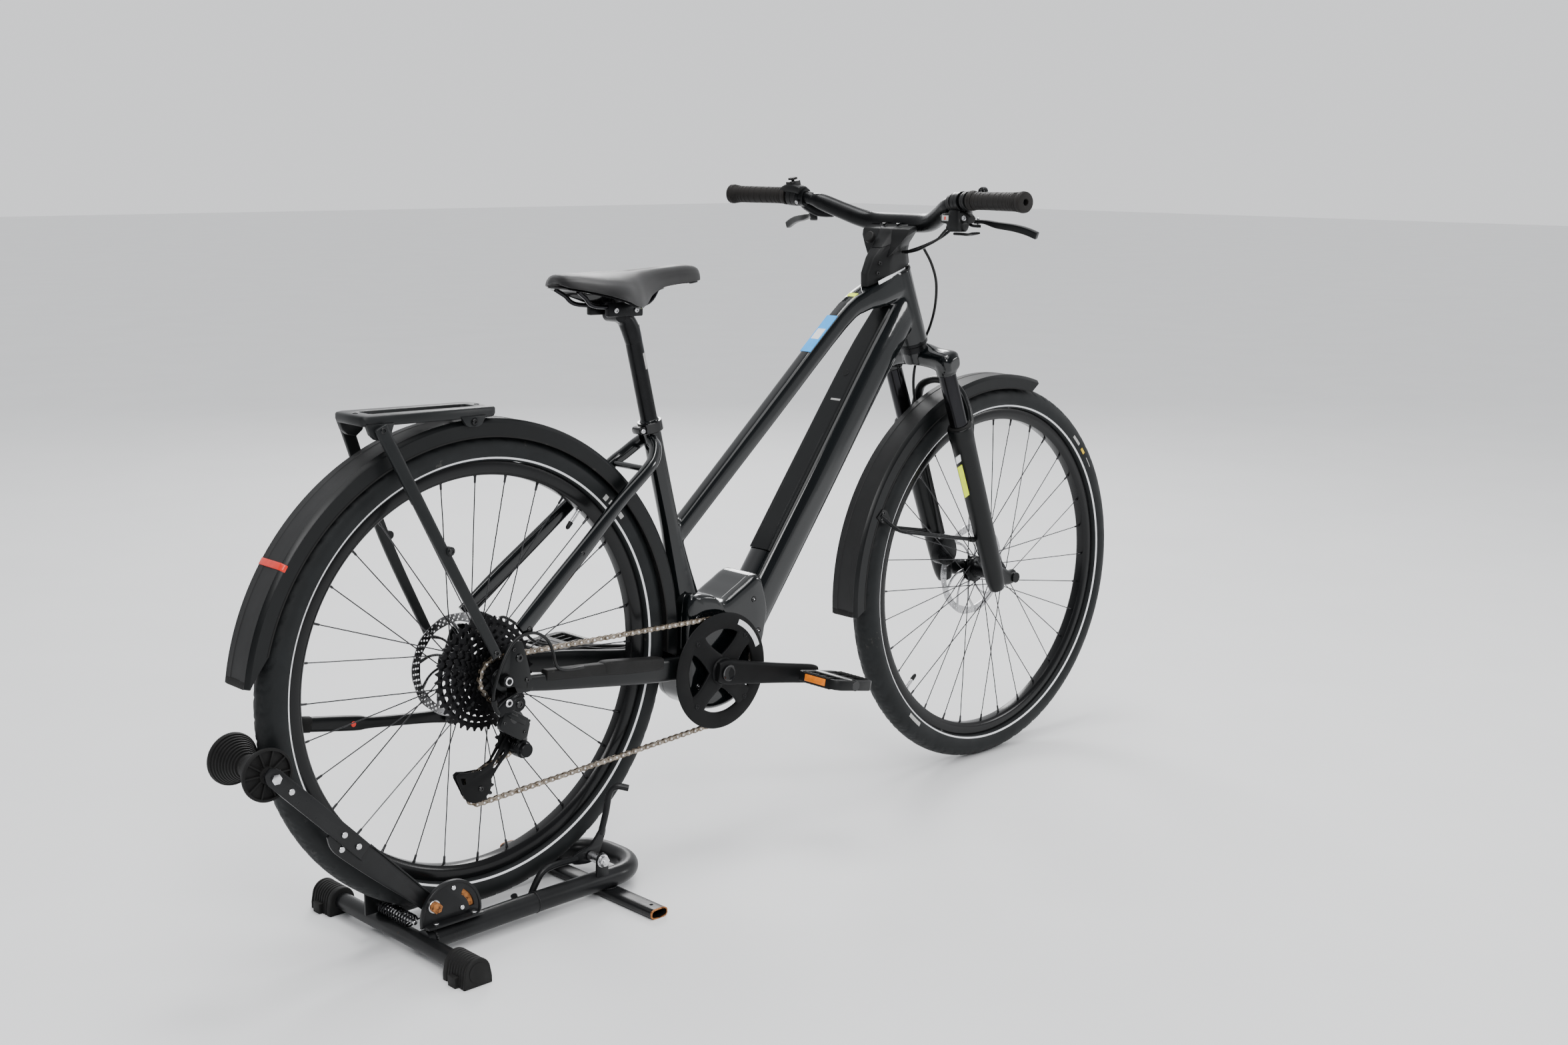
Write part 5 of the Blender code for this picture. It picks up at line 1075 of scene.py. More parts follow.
def chainstay(side):
    """Stay, dropout plate and what is bolted to them on one side."""
    name = "left" if side > 0 else "right"
    path = [(0.3835, 0.04, -0.05), (0.33, 0.0425, -0.046), (0.285, 0.0475, -0.041), (0.21, 0.056, -0.031),
            (0.1, 0.066, -0.019), (0.04, 0.07, -0.012)]
    halves = [(0.0195, 0.0075), (0.019, 0.0085), (0.0185, 0.009), (0.018, 0.0085), (0.0145, 0.0065),
              (0.012, 0.005)]
    stay = tube([(x, side * y, z) for x, y, z in path], halves, sides=36, power=3, spans=6)
    piece("chainstay_" + name, stay, "bicycle", "frame_satin", ["frame_chainstay_" + name])
    drop = rounded_outline([(0.05, -0.022), (0.046, 0.004), (0.036, 0.04), (0.03, 0.054), (0.016, 0.0545),
                            (0.006, 0.048), *arc((0, 0), 0.0172, 112, 250, 5), (0.006, -0.02),
                            (0.03, -0.024)], 3)
    ends = sorted((side * 0.0695, side * 0.0745))
    plate = carve(prism(drop, *ends), cylinder((0, side * 0.06, 0), (0, side * 0.09, 0), 0.0066))
    piece("dropout_" + name, plate, "bicycle", "frame_satin", bevel=0.0008)
    eye = turned([(0.0028, 0), (0.0056, 0), (0.0062, 0.0006), (0.0062, 0.0016), (0.0054, 0.0022),
                  (0.0028, 0.0022)], 32, (0.026, side * 0.0745, 0.03), ACROSS * side)
    bolts = merge(bolt((0.04, side * 0.0745, -0.006), ACROSS * side, 0.0036, 0.0018),
                  bolt((0.016, side * 0.0745, 0.044), ACROSS * side, 0.0032, 0.0018))
    piece("dropout_eye_" + name, eye, "bicycle", "gloss_part")
    piece("dropout_fixings_" + name, bolts, "bicycle", "gloss_part")


for stay_side in (-1, 1):
    chainstay(stay_side)
rear_pad = tube([(0.076, -0.0678, -0.006), (0.12, -0.0645, -0.0102), (0.165, -0.06, -0.015),
                 (0.2, -0.057, -0.019)],
                [(0.0085, 0.0076), (0.0088, 0.0086), (0.0092, 0.0092), (0.0098, 0.01)], sides=28, power=5,
                spans=4, rounding=0.0014)
front_pad = tube([(0.192, -0.0578, -0.0178), (0.202, -0.057, -0.0172), (0.2363, -0.0535, -0.0222),
                  (0.3, -0.0462, -0.0298), (0.3226, -0.0433, -0.032)],
                 [(0.0085, 0.0094), (0.0108, 0.0108), (0.0114, 0.0112), (0.0106, 0.0112), (0.0094, 0.0108)],
                 sides=28, power=5, spans=4, rounding=0.0014)
stay_guard = merge(rear_pad, front_pad)
piece("chainstay_protector", stay_guard, "bicycle", "rubber", angle=28)
axle_cap = merge(disc((0, -0.085, 0), (0, -0.074, 0), 0.0095), disc((0, 0.074, 0), (0, 0.083, 0), 0.01),
                 disc((0, -0.0748, 0), (0, 0.0748, 0), 0.006))
piece("rear_thru_axle", axle_cap, "bicycle", "anodised")
axle_ring = turned([(0.0044, 0), (0.0062, 0), (0.0066, 0.0004), (0.0062, 0.0009), (0.0044, 0.0009)], 36,
                   (0, -0.085, 0), -ACROSS)
piece("rear_axle_ring", axle_ring, "bicycle", "steel")
hanger = prism([(0.002, -0.01), (0.018, -0.012), (0.0245, -0.026), (0.026, -0.034), (0.023, -0.041),
                (0.016, -0.0445), (0.008, -0.041), (0.003, -0.028)], -0.0745, -0.0695)
piece("derailleur_hanger", hanger, "bicycle", "frame_satin", bevel=0.0008)
lug = prism([(0.058, -0.026), (0.04, -0.006), (0.024, -0.008), (0.01, -0.04), (-0.002, -0.084),
             *arc((0.01, -0.09), 0.012, 180, 360, 14), (0.03, -0.05)], 0.075, 0.079)
piece("kickstand_lug", lug, "bicycle", "frame_satin", bevel=0.0012)
kick_pin = merge(disc((0.01, 0.0785, -0.09), (0.01, 0.101, -0.09), 0.004),
                 bolt((0.01, 0.1, -0.09), ACROSS, 0.0078, 0.0045))
piece("kickstand_pivot_bolt", kick_pin, "bicycle", "steel")


# ---- Seat ----
clamp = turned([(0.0158, 0.41), (0.019, 0.41), (0.02, 0.4112), (0.02, 0.4258), (0.019, 0.427),
                (0.0158, 0.427)], 56, BB, SEAT_AXIS, ACROSS)
clamp_lug = tube([seat(0.4185, -0.0235, -0.0105), seat(0.4185, -0.0235, 0.0105)], (0.006, 0.006), SEAT_AXIS,
                 24, 4, 1, 0.0015)
piece("seat_clamp_ring", merge(clamp, clamp_lug), "bicycle", "gloss_part", ["seat_clamp"])
piece("seat_clamp_bolt", merge(bolt(seat(0.4185, -0.025, -0.0105), -ACROSS, 0.0038, 0.003),
                               bolt(seat(0.4185, -0.025, 0.0105), ACROSS, 0.0038, 0.002, False)),
      "bicycle", "steel")
post = lathe([(0.0003, 0), (0.0128, 0), (0.0136, 0.001), (0.0136, 0.283), (0.012, 0.284), (0.0003, 0.284)],
             56, seat(0.3), SEAT_AXIS)
neck = tube([seat(0.556), seat(0.57, -0.001), seat(0.582, -0.003), (0.281, 0, 0.514), SADDLE_PIVOT],
            [(0.0136, 0.0136), (0.0146, 0.0146), (0.0148, 0.0148), (0.0132, 0.015), (0.0105, 0.015)],
            sides=40, spans=5, rounding=0.001)
post_head = disc(SADDLE_PIVOT - ACROSS * 0.0165, SADDLE_PIVOT + ACROSS * 0.0165, 0.012, steps=40)
piece("seatpost_tube", merge(post, neck, post_head), "seat_pillar", "anodised", ["seatpost"])
post_mark = turned([(0.0134, 0), (0.0138, 0.0), (0.0138, 0.026), (0.0134, 0.026)], 20, seat(0.512), SEAT_AXIS,
                   -ACROSS + SEAT_FORWARD * 0.2, 46)
piece("seatpost_label", post_mark, "seat_pillar", "grey_label")


def saddle_frame():
    x, z = SADDLE_PIVOT.x, SADDLE_PIVOT.z
    right = [(x - 0.093, -0.028, z + 0.038), (x - 0.078, -0.025, z + 0.029), (x - 0.052, -0.022, z + 0.0145),
             (x + 0.04, -0.022, z + 0.0155), (x + 0.07, -0.02, z + 0.04), (x + 0.088, -0.011, z + 0.047)]
    nose = (x + 0.093, 0.0, z + 0.0475)
    rails = wire(right + [nose] + [(a, -b, c) for a, b, c in reversed(right)], 0.0035, 16, 6)
    piece("saddle_rail_wire", rails, "seat", "stanchion", ["saddle_rails"])
    cradle = [block((x - 0.034, min(s * 0.0172, s * 0.0275), z - 0.002),
                    (x + 0.034, max(s * 0.0172, s * 0.0275), z + 0.0205)) for s in (-1, 1)]
    cradle.append(block((x - 0.014, -0.024, z + 0.014), (x + 0.014, 0.024, z + 0.019)))
    piece("saddle_cradle", merge(*cradle), "seat", "anodised", bevel=0.0022)
    screws = [bolt((x + dx, s * 0.0275, z + 0.008), ACROSS * s, 0.0042, 0.0022) for dx in (-0.02, 0.02)
              for s in (-1, 1)]
    piece("saddle_cradle_bolts", merge(*screws), "seat", "steel")


SADDLE_STATIONS = [(0.146, 0.016, 0.579, 0.569), (0.153, 0.032, 0.583, 0.565), (0.172, 0.05, 0.5845, 0.561),
                   (0.203, 0.067, 0.585, 0.554), (0.234, 0.071, 0.586, 0.545), (0.262, 0.063, 0.587, 0.536),
                   (0.285, 0.05, 0.588, 0.539), (0.306, 0.038, 0.59, 0.5515), (0.331, 0.029, 0.592, 0.561),
                   (0.366, 0.024, 0.5945, 0.5665), (0.4, 0.021, 0.5955, 0.569), (0.421, 0.016, 0.592, 0.571),
                   (0.43, 0.007, 0.585, 0.574)]


def saddle_cover():
    """Crowned cover with a relief channel along its middle and a rolled lower hem."""
    rings = []
    for x, half, top, edge in catmull(SADDLE_STATIONS, 5):
        wall, crown = min(0.0045, half * 0.3), min(0.014, (top - edge) * 0.75)
        channel = 0.0032 * max(0.0, 1 - abs((x - 0.285) / 0.115) ** 3)
        outer, inner = [], []
        for i in range(41):
            u = math.sin(math.pi * (i / 40 - 0.5))
            rise = (1 - abs(u) ** 2.6) ** 0.55
            groove = channel * math.exp(-((u * half) / 0.0065) ** 2)
            seam = 0.0007 * math.exp(-((abs(u) - 0.8) / 0.018) ** 2)
            outer.append(Vector((x, half * u, edge + (top - edge) * rise - groove - seam)))
            inner.append(Vector((x, (half - wall) * u, edge + (top - crown - edge) * rise)))
        rings.append(outer + inner[::-1])
    return loft(rings)


def saddle_shell():
    """Glossy hard base that shows below the cover."""
    rings = []
    for x, half, top, edge in catmull(SADDLE_STATIONS[1:-1], 5):
        outer, inner = [], []
        for i in range(25):
            u = math.sin(math.pi * (i / 24 - 0.5))
            rise = (1 - abs(u) ** 2.6) ** 0.55
            low = edge - 0.0035
            outer.append(Vector((x, (half - 0.0046) * u, low + (top - 0.0155 - edge) * rise)))
            inner.append(Vector((x, (half - 0.007) * u, low + (top - 0.018 - edge) * rise)))
        rings.append(outer + inner[::-1])
    return loft(rings)


saddle_frame()
cushion = piece("saddle_cover", saddle_cover(), "seat", "saddle", ["saddle"], angle=60)
piece("saddle_base", saddle_shell(), "seat", "saddle_shell", angle=60)


# ---- Luggage rack, mudguards, kickstand ----
def guard_strip(centre, outline, start, end, steps, cut_back=(), taper=(7.0, 7.0)):
    """Sweep (side, radius) points round a wheel; those in cut_back draw in over taper degrees at each end."""
    rings = []
    for i in range(steps + 1):
        degrees = start + (end - start) * i / steps
        angle = math.radians(degrees)
        out = radial(angle)
        share = min(1.0, (degrees - start) / taper[0], (end - degrees) / taper[1])
        ring = []
        for k, (y, r) in enumerate(outline):
            if k in cut_back:
                r = cut_back[k] + (r - cut_back[k]) * share
            ring.append(Vector(centre) + out * r + ACROSS * y)
        rings.append(ring)
    return loft(rings)


def mudguard(name, body, centre, radius, drop, half, start, end, nodes, turn_out, taper):
    inner = radius - 0.0024
    top = [(-half + 0.0056, radius - 0.0002), (-0.0135, radius), (-0.0128, radius - 0.0007),
           (0.0128, radius - 0.0007), (0.0135, radius), (half - 0.0056, radius - 0.0002),
           (half - 0.0062, inner), (-half + 0.0062, inner)]
    piece(name + "_top", guard_strip(centre, top, start, end, 150), body, "guard_top",
          nodes, angle=20)
    skirt = [(-half, radius - drop), (-half, radius - 0.0062), (-half + 0.0012, radius - 0.004),
             (-half + 0.0052, radius), (-half + 0.0062, radius - 0.0004), (-half + 0.0066, inner),
             (-half + 0.0034, inner - 0.002), (-half + 0.0024, inner - 0.0048),
             (-half + 0.0024, radius - drop)]
    level = {0: radius - 0.007, 8: radius - 0.007}
    side = guard_strip(centre, skirt, start, end, 150, level, taper)
    piece(name + "_sides", both(side), body, "frame_satin", angle=28)
    lip = [(-half - 0.0004, radius - drop - 0.0004), (-half - 0.0004, radius - drop + 0.0022),
           (-half + 0.0022, radius - drop + 0.0022), (-half + 0.0022, radius - drop - 0.0004)]
    edge = guard_strip(centre, lip, start + taper[0], end - taper[1], 150)
    piece(name + "_lips", both(edge), body, "rubber", angle=28)
    flap_at = math.radians(end if turn_out > 0 else start)
    out = radial(flap_at)
    run = Vector((-out.z, 0, out.x)) * turn_out
    place = Vector(centre) + out * (radius - 0.0012)
    flap = tube([place - run * 0.01 + ACROSS * 0, place + run * 0.0008 + out * 0.0002],
                [(0.0011, half - 0.004), (0.0011, half - 0.008)], ACROSS, 24, 8, 3, 0.0005)
    piece(name + "_flap", flap, body, "rubber")


GUARD_CENTRE = Vector((-0.008, 0, -0.004))
mudguard("rear_guard", "bicycle", GUARD_CENTRE, 0.385, 0.027, 0.031, -4, 173, ["rear_mudguard"], 1,
         (1.2, 7.0))


def rear_light():
    outline = [(-0.0316, 0.3775), (-0.0312, 0.3797), (-0.03, 0.382), (-0.0262, 0.3858), (-0.014, 0.3863),
               (0.014, 0.3863), (0.0262, 0.3858), (0.03, 0.382), (0.0312, 0.3797), (0.0316, 0.3775),
               (0.03, 0.3775), (0.025, 0.3835), (-0.025, 0.3835), (-0.03, 0.3775)]
    return guard_strip(GUARD_CENTRE, outline, 146.6, 148.1, 4)


piece("rear_light_lens", rear_light(), "bicycle", "red", angle=25, bevel=0.0005)


def rack():
    rear, front = -0.21, 0.018
    plan = [(rear, -0.03), (rear + 0.0025, -0.0355), (rear + 0.01, -0.04), (front - 0.012, -0.036),
            (front - 0.003, -0.032), (front, -0.026)]
    plan += [(x, -y) for x, y in reversed(plan)]
    window = [(rear + 0.026, -0.013), (rear + 0.03, -0.017), (front - 0.03, -0.015), (front - 0.026, -0.011)]
    window += [(x, -y) for x, y in reversed(window)]
    rings = [[Vector((-0.096 + (x + 0.096) * s, y * s, z)) for x, y in plan]
             for z, s in ((0.3835, 0.955), (0.385, 0.985), (0.389, 1.0), (0.396, 1.0), (0.3978, 0.985),
                          (0.3985, 0.955))]
    top = carve(loft(rings), slab(window, 0.37, 0.41))
    piece("rack_platform", top, "bicycle", "rack_paint", ["rack_tray"], bevel=0.0009)
    ribs = [block((x - 0.0016, -0.0165, 0.385), (x + 0.0016, 0.0165, 0.3925))
            for x in (-0.15, -0.096, -0.042)]
    lugs = []
    for s in (-1, 1):
        y = sorted((s * 0.0315, s * 0.0415))
        lugs.append(prism([(-0.204, 0.387), (-0.16, 0.387), (-0.166, 0.37), (-0.176, 0.362), (-0.19, 0.365),
                           (-0.198, 0.372)], *y))
        y = sorted((s * 0.0325, s * 0.0385))
        lugs.append(prism([(-0.048, 0.387), (-0.004, 0.387), (-0.012, 0.3745), (-0.018, 0.3715),
                           (-0.034, 0.3715), (-0.04, 0.3745)], *y))
    piece("rack_brackets", merge(*ribs, *lugs), "bicycle", "rack_paint", bevel=0.0012)
    heads = [bolt((x, s * y, z), ACROSS * s, 0.0044, 0.0026)
             for x, y, z in ((-0.182, 0.0415, 0.3745), (-0.026, 0.0385, 0.379)) for s in (-1, 1)]
    heads += [bolt((x, 0, 0.3975), UP, 0.004, 0.002) for x in (-0.197, 0.005)]
    piece("rack_screws", merge(*heads), "bicycle", "gloss_part")
    washers = [disc((x, s * y, z), (x, s * (y + 0.001), z), 0.0064, 0.0003)
               for x, y, z in ((-0.182, 0.041, 0.3745), (-0.026, 0.038, 0.379)) for s in (-1, 1)]
    piece("rack_washers", merge(*washers), "bicycle", "anodised")


def rack_strut(side):
    name = "left" if side > 0 else "right"
    path = [(-0.187, side * 0.047, 0.384), (-0.178, side * 0.05, 0.364), (-0.107, side * 0.076, 0.206),
            (-0.03, side * 0.087, 0.056), (-0.023, side * 0.087, 0.042)]
    halves = [(0.01, 0.0042), (0.0098, 0.0042), (0.0084, 0.004), (0.0074, 0.0038), (0.0078, 0.0036)]
    bar = tube(path, halves, sides=28, power=4.5, spans=6, rounding=0.002)
    piece("rack_leg_" + name, bar, "bicycle", "rack_paint", ["rack_strut_" + name])
    eye = disc((-0.097, side * 0.0735, 0.205), (-0.097, side * 0.083, 0.205), 0.0066)
    piece("rack_eye_" + name, eye, "bicycle", "rack_paint")
    fix = merge(bolt((-0.097, side * 0.0826, 0.205), ACROSS * side, 0.005, 0.002),
                bolt((-0.0265, side * 0.0902, 0.048), ACROSS * side, 0.0046, 0.0026),
                bolt((-0.1845, side * 0.0505, 0.379), ACROSS * side, 0.0046, 0.0026))
    piece("rack_leg_bolts_" + name, fix, "bicycle", "gloss_part")


rack()
for strut_side in (-1, 1):
    rack_strut(strut_side)


def kickstand():
    path = [(0.022, 0.0895, -0.093), (0.01, 0.0895, -0.0905), (-0.03, 0.09, -0.087), (-0.12, 0.093, -0.0785),
            (-0.15, 0.095, -0.0745), (-0.236, 0.098, -0.062)]
    halves = [(0.0075, 0.0045), (0.0115, 0.006), (0.009, 0.006), (0.0085, 0.006), (0.0115, 0.0075),
              (0.011, 0.0075)]
    leg = tube(path, halves, sides=32, power=3, spans=6, rounding=0.0015)
    return carve(leg, cylinder((0.01, 0.07, -0.09), (0.01, 0.11, -0.09), 0.0046))


piece("kickstand_leg", kickstand(), "side_stand", "frame_satin", ["kickstand"])
kick_foot = tube([(-0.222, 0.0976, -0.064), (-0.2375, 0.0981, -0.0618)], (0.0122, 0.0086), sides=28,
                 power=3, spans=1, rounding=0.002)
piece("kickstand_foot", kick_foot, "side_stand", "rubber")
kick_button = disc((-0.156, 0.0875, -0.0735), (-0.156, 0.0857, -0.0735), 0.0042)
piece("kickstand_button",
      merge(kick_button, mirrored(moved(kick_button, Matrix.Translation((0, -0.1902, 0))))), "side_stand",
      "red")


def caliper(name, body, outline, low, high, axle, rotor_y, rotor_radius, node, hose):
    slot = cylinder(axle + ACROSS * (rotor_y - 0.0022), axle + ACROSS * (rotor_y + 0.0022),
                    rotor_radius + 0.0012, 96)
    shape = carve(prism(rounded_outline(outline, 4), low, high), slot)
    piece(name + "_body", shape, body, "anodised", [node], bevel=0.0015)
    xs = [p[0] for p in outline]
    zs = [p[1] for p in outline]
    centre = Vector((sum(xs) / len(xs), 0, sum(zs) / len(zs)))
    outer = high if high > 0 else low
    ring = turned([(0.007, 0), (0.0092, 0), (0.0096, 0.0006), (0.009, 0.0014), (0.007, 0.0014)], 40,
                  centre + ACROSS * outer, ACROSS)
    piece(name + "_piston_cap",
          merge(ring, disc(centre + ACROSS * (outer - 0.001), centre + ACROSS * (outer + 0.0009), 0.0072)),
          body, "anodised")
    corner = [Vector((x, 0, z)) for x, z in outline]
    fixings = [bolt(centre + (c - centre) * 0.66 + ACROSS * outer, ACROSS, 0.0035, 0.002)
               for c in (corner[0], corner[3])]
    fixings.append(disc(hose[0], hose[1], 0.0042))
    piece(name + "_bolts", merge(*fixings), body, "steel")


caliper("rear_brake", "bicycle",
        [(0.03, 0.04), (0.062, 0.018), (0.082, 0.03), (0.08, 0.05), (0.048, 0.074), (0.034, 0.066)],
        0.0375, 0.061, Vector(), 0.049, 0.08, "rear_caliper",
        ((0.07, 0.05, 0.052), (0.078, 0.05, 0.06)))
rear_hose = wire([(0.074, 0.0505, 0.057), (0.092, 0.0545, 0.058), (0.13, 0.066, 0.035), (0.165, 0.069, 0.004),
                  (0.23, 0.064, -0.012), (0.3, 0.055, -0.026), (0.35, 0.048, -0.028)], 0.0024, 14)
piece("rear_brake_hose", rear_hose, "bicycle", "cord")


# ---- Drive ----
CHAIN_STEP = 2.5


def belt_path(wheels):
    """Closed path round wheels given as (centre, radius, turn); turn 1 is clockwise."""
    spans = []
    for (c1, r1, t1), (c2, r2, t2) in zip(wheels, wheels[1:] + wheels[:1]):
        gap = Vector(c2) - Vector(c1)
        direction = math.atan2(gap.y, gap.x)
        normal = direction + math.pi / 2 + math.asin((t2 * r2 - t1 * r1) / gap.length)
        unit = Vector((math.cos(normal), math.sin(normal)))
        spans.append((Vector(c1) + unit * r1 * t1, Vector(c2) + unit * r2 * t2))
    points = []
    for i, (centre, radius, turn) in enumerate(wheels):
        start, end = spans[i - 1][1], spans[i][0]
        a = math.atan2(start.y - centre[1], start.x - centre[0])
        b = math.atan2(end.y - centre[1], end.x - centre[0])
        sweep = (a - b) % (2 * math.pi) if turn > 0 else -((b - a) % (2 * math.pi))
        steps = max(2, round(abs(sweep) / math.radians(CHAIN_STEP)))
        for k in range(steps + 1):
            angle = a - sweep * k / steps
            points.append(Vector((centre[0] + radius * math.cos(angle),
                                  centre[1] + radius * math.sin(angle))))
    return points


def evenly(points, pitch):
    """Points along a closed path, as near to one pitch apart as a whole even number allows."""
    loop = points + points[:1]
    lengths = [0.0]
    for a, b in zip(loop, loop[1:]):
        lengths.append(lengths[-1] + (b - a).length)
    count = 2 * round(lengths[-1] / pitch / 2)
    out, at = [], 0
    for i in range(count):
        goal = lengths[-1] * i / count
        while lengths[at + 1] < goal:
            at += 1
        share = (goal - lengths[at]) / max(lengths[at + 1] - lengths[at], 1e-9)
        out.append(loop[at].lerp(loop[at + 1], share))
    return out


def link_plate(a, b, y, thick, height):
    """Figure-eight chain plate between two pins."""
    along = (b - a).normalized()
    normal = Vector((-along.y, along.x))
    length = (b - a).length
    outline = []
    for sign in (1, -1):
        for k in range(9):
            angle = math.radians(-112 + 224 * k / 8)
            base = b if sign > 0 else a
            outline.append(base + along * sign * height * math.cos(angle)
                           + normal * sign * height * math.sin(angle))
        outline.append(a + along * length / 2 + normal * sign * height * 0.66)
    return prism([(p.x, p.y) for p in outline], y - thick / 2, y + thick / 2)


CHAIN_WHEELS = [((0.0, 0.0), pitch_radius(15), 1), ((BB.x, BB.z), pitch_radius(44), 1),
                (LOWER_JOCKEY, pitch_radius(12), 1), (UPPER_JOCKEY, pitch_radius(11), -1)]


def chain():
    pins = evenly(belt_path(CHAIN_WHEELS), PITCH_LENGTH)
    inner, outer, rollers, heads = [], [], [], []
    for i, pin in enumerate(pins):
        after = pins[(i + 1) % len(pins)]
        offset, target = (0.00165, inner) if i % 2 else (0.00245, outer)
        for sign in (-1, 1):
            target.append(link_plate(pin, after, CHAIN_Y + sign * offset, 0.0007,
                                     0.0041 if i % 2 else 0.0039))
        place = Vector((pin.x, CHAIN_Y, pin.y))
        rollers.append(lathe([(0.0037, -0.0012), (0.0037, 0.0012)], 12, place))
        heads.append(lathe([(0.0004, -0.0031), (0.0015, -0.0031), (0.0017, -0.0029), (0.0017, 0.0029),
                            (0.0015, 0.0031), (0.0004, 0.0031)], 10, place))
    piece("chain_outer_plates", merge(*outer), "bicycle", "chain_steel", ["chain"])
    piece("chain_inner_plates", merge(*inner), "bicycle", "chain_steel")
    piece("chain_pins", merge(*heads), "bicycle", "steel")
    piece("chain_rollers", merge(*rollers), "bicycle", "chain_steel")


def cassette():
    cogs = []
    for i, teeth in enumerate(COG_SIZES):
        y = -0.062 + 0.0039 * i
        rim = pitch_radius(teeth)
        bore = 0.015 if teeth < 19 else rim - 0.0105
        cogs.append(toothed(teeth, bore, y - 0.0007, y + 0.0007, phase=0.21 * i))
        for k in range(5 if teeth >= 19 else 0):
            angle = 2 * math.pi * k / 5 + 0.12 * i
            foot, knee, head = [radial(angle + lead) * reach + ACROSS * y
                                for lead, reach in ((0.0, 0.015), (0.16, rim * 0.55), (0.3, bore + 0.0008))]
            cogs.append(tube([foot, knee, head], [(0.005, 0.0008), (0.0028, 0.0008), (0.004, 0.0008)],
                             ACROSS, 8, 6, 3))
    piece("cassette_cogs", merge(*cogs), "sprockets", "cog", ["cassette"], angle=25)
    body = turned([(0.0068, -0.064), (0.015, -0.064), (0.0158, -0.0632), (0.0158, -0.041), (0.018, -0.04),
                   (0.018, -0.0222), (0.0068, -0.0222)], 48)
    arms = []
    for k in range(5):
        angle = 2 * math.pi * k / 5 + 0.3
        out = radial(angle)
        arms.append(tube([out * 0.016 - ACROSS * 0.0385, out * 0.04 - ACROSS * 0.035,
                          out * 0.062 - ACROSS * 0.027], [(0.006, 0.0016), (0.005, 0.005), (0.0045, 0.003)],
                         ACROSS, 12, 3, 4))
    piece("cassette_carrier", merge(body, *arms), "sprockets", "anodised")
    ring = turned([(0.0088, -0.0652), (0.0135, -0.0652), (0.0142, -0.0646), (0.0142, -0.0634),
                   (0.0088, -0.0634)], 36)
    piece("cassette_lockring", ring, "sprockets", "anodised")


def jockey(name, body, centre, teeth, node):
    place = Vector((centre[0], CHAIN_Y, centre[1]))
    root = pitch_radius(teeth)
    wheel_part = toothed(teeth, 0.0062, CHAIN_Y - 0.001, CHAIN_Y + 0.001, centre, 0.0018, root=0.0042)
    holes = [lathe([(0.0022, -0.003), (0.0022, 0.003)], 12, place + radial(a) * (root * 0.52))
             for a in (2 * math.pi * k / 5 for k in range(5))]
    piece(name + "_wheel", carve(wheel_part, merge(*holes)), body, "plastic", [node],
          angle=25)
    bearing = turned([(0.0028, -0.0016), (0.0062, -0.0016), (0.0066, -0.001), (0.0066, 0.001),
                      (0.0062, 0.0016), (0.0028, 0.0016)], 28, place)
    piece(name + "_bearing", bearing, body, "steel")


def cage():
    (ux, uz), (lx, lz) = UPPER_JOCKEY, LOWER_JOCKEY
    lean = math.degrees(math.atan2(uz - lz, ux - lx))
    up, low = Vector((ux, uz)), Vector((lx, lz))
    along = (up - low).normalized()
    normal = Vector((-along.y, along.x))

    def outline(top, bottom, waist):
        points = arc((ux, uz), top, lean - 90, lean + 90, 12)
        points.append(tuple(up.lerp(low, 0.5) + normal * waist))
        points += [(-0.033, -0.1345), (-0.056, -0.1335), (-0.07, -0.131), (-0.0755, -0.1345),
                   (-0.0745, -0.14)]
        points += arc((-0.04, -0.156), bottom, 196, 372, 16)
        points.append(tuple(up.lerp(low, 0.5) - normal * waist))
        return points

    def window(a, b, half):
        first, last = low.lerp(up, a), low.lerp(up, b)
        points = arc(tuple(last), half, lean - 90, lean + 90, 8)
        points += arc(tuple(first), half, lean + 90, lean + 270, 8)
        return prism(points, CHAIN_Y - 0.01, CHAIN_Y + 0.01)

    hollow = prism([(-0.06, -0.141), (-0.069, -0.139), (-0.065, -0.15), (-0.059, -0.15)], CHAIN_Y - 0.01,
                   CHAIN_Y)
    outer = carve(prism(outline(0.0115, 0.0262, 0.0075), CHAIN_Y - 0.0056, CHAIN_Y - 0.0041),
                  merge(hollow, window(0.46, 0.56, 0.003), window(0.66, 0.76, 0.003)))
    inner = carve(prism(outline(0.011, 0.024, 0.007), CHAIN_Y + 0.0041, CHAIN_Y + 0.0053),
                  window(0.44, 0.74, 0.0032))
    piece("cage_plates", merge(outer, inner), "bicycle", "flat_black", ["derailleur_cage"],
          bevel=0.0004)
    pins = []
    for x, z in (UPPER_JOCKEY, LOWER_JOCKEY):
        pins.append(disc((x, CHAIN_Y - 0.0052, z), (x, CHAIN_Y + 0.006, z), 0.0024))
        pins.append(bolt((x, CHAIN_Y - 0.0055, z), -ACROSS, 0.0042, 0.0018))
    piece("cage_bolts", merge(*pins), "bicycle", "gloss_part")
    px, pz = CAGE_PIVOT
    boss = turned([(0.002, 0), (0.0086, 0), (0.0092, 0.0008), (0.0092, 0.0052), (0.002, 0.0056)], 40,
                  (px, CHAIN_Y - 0.0045, pz), -ACROSS)
    piece("cage_pivot_boss", boss, "bicycle", "anodised")


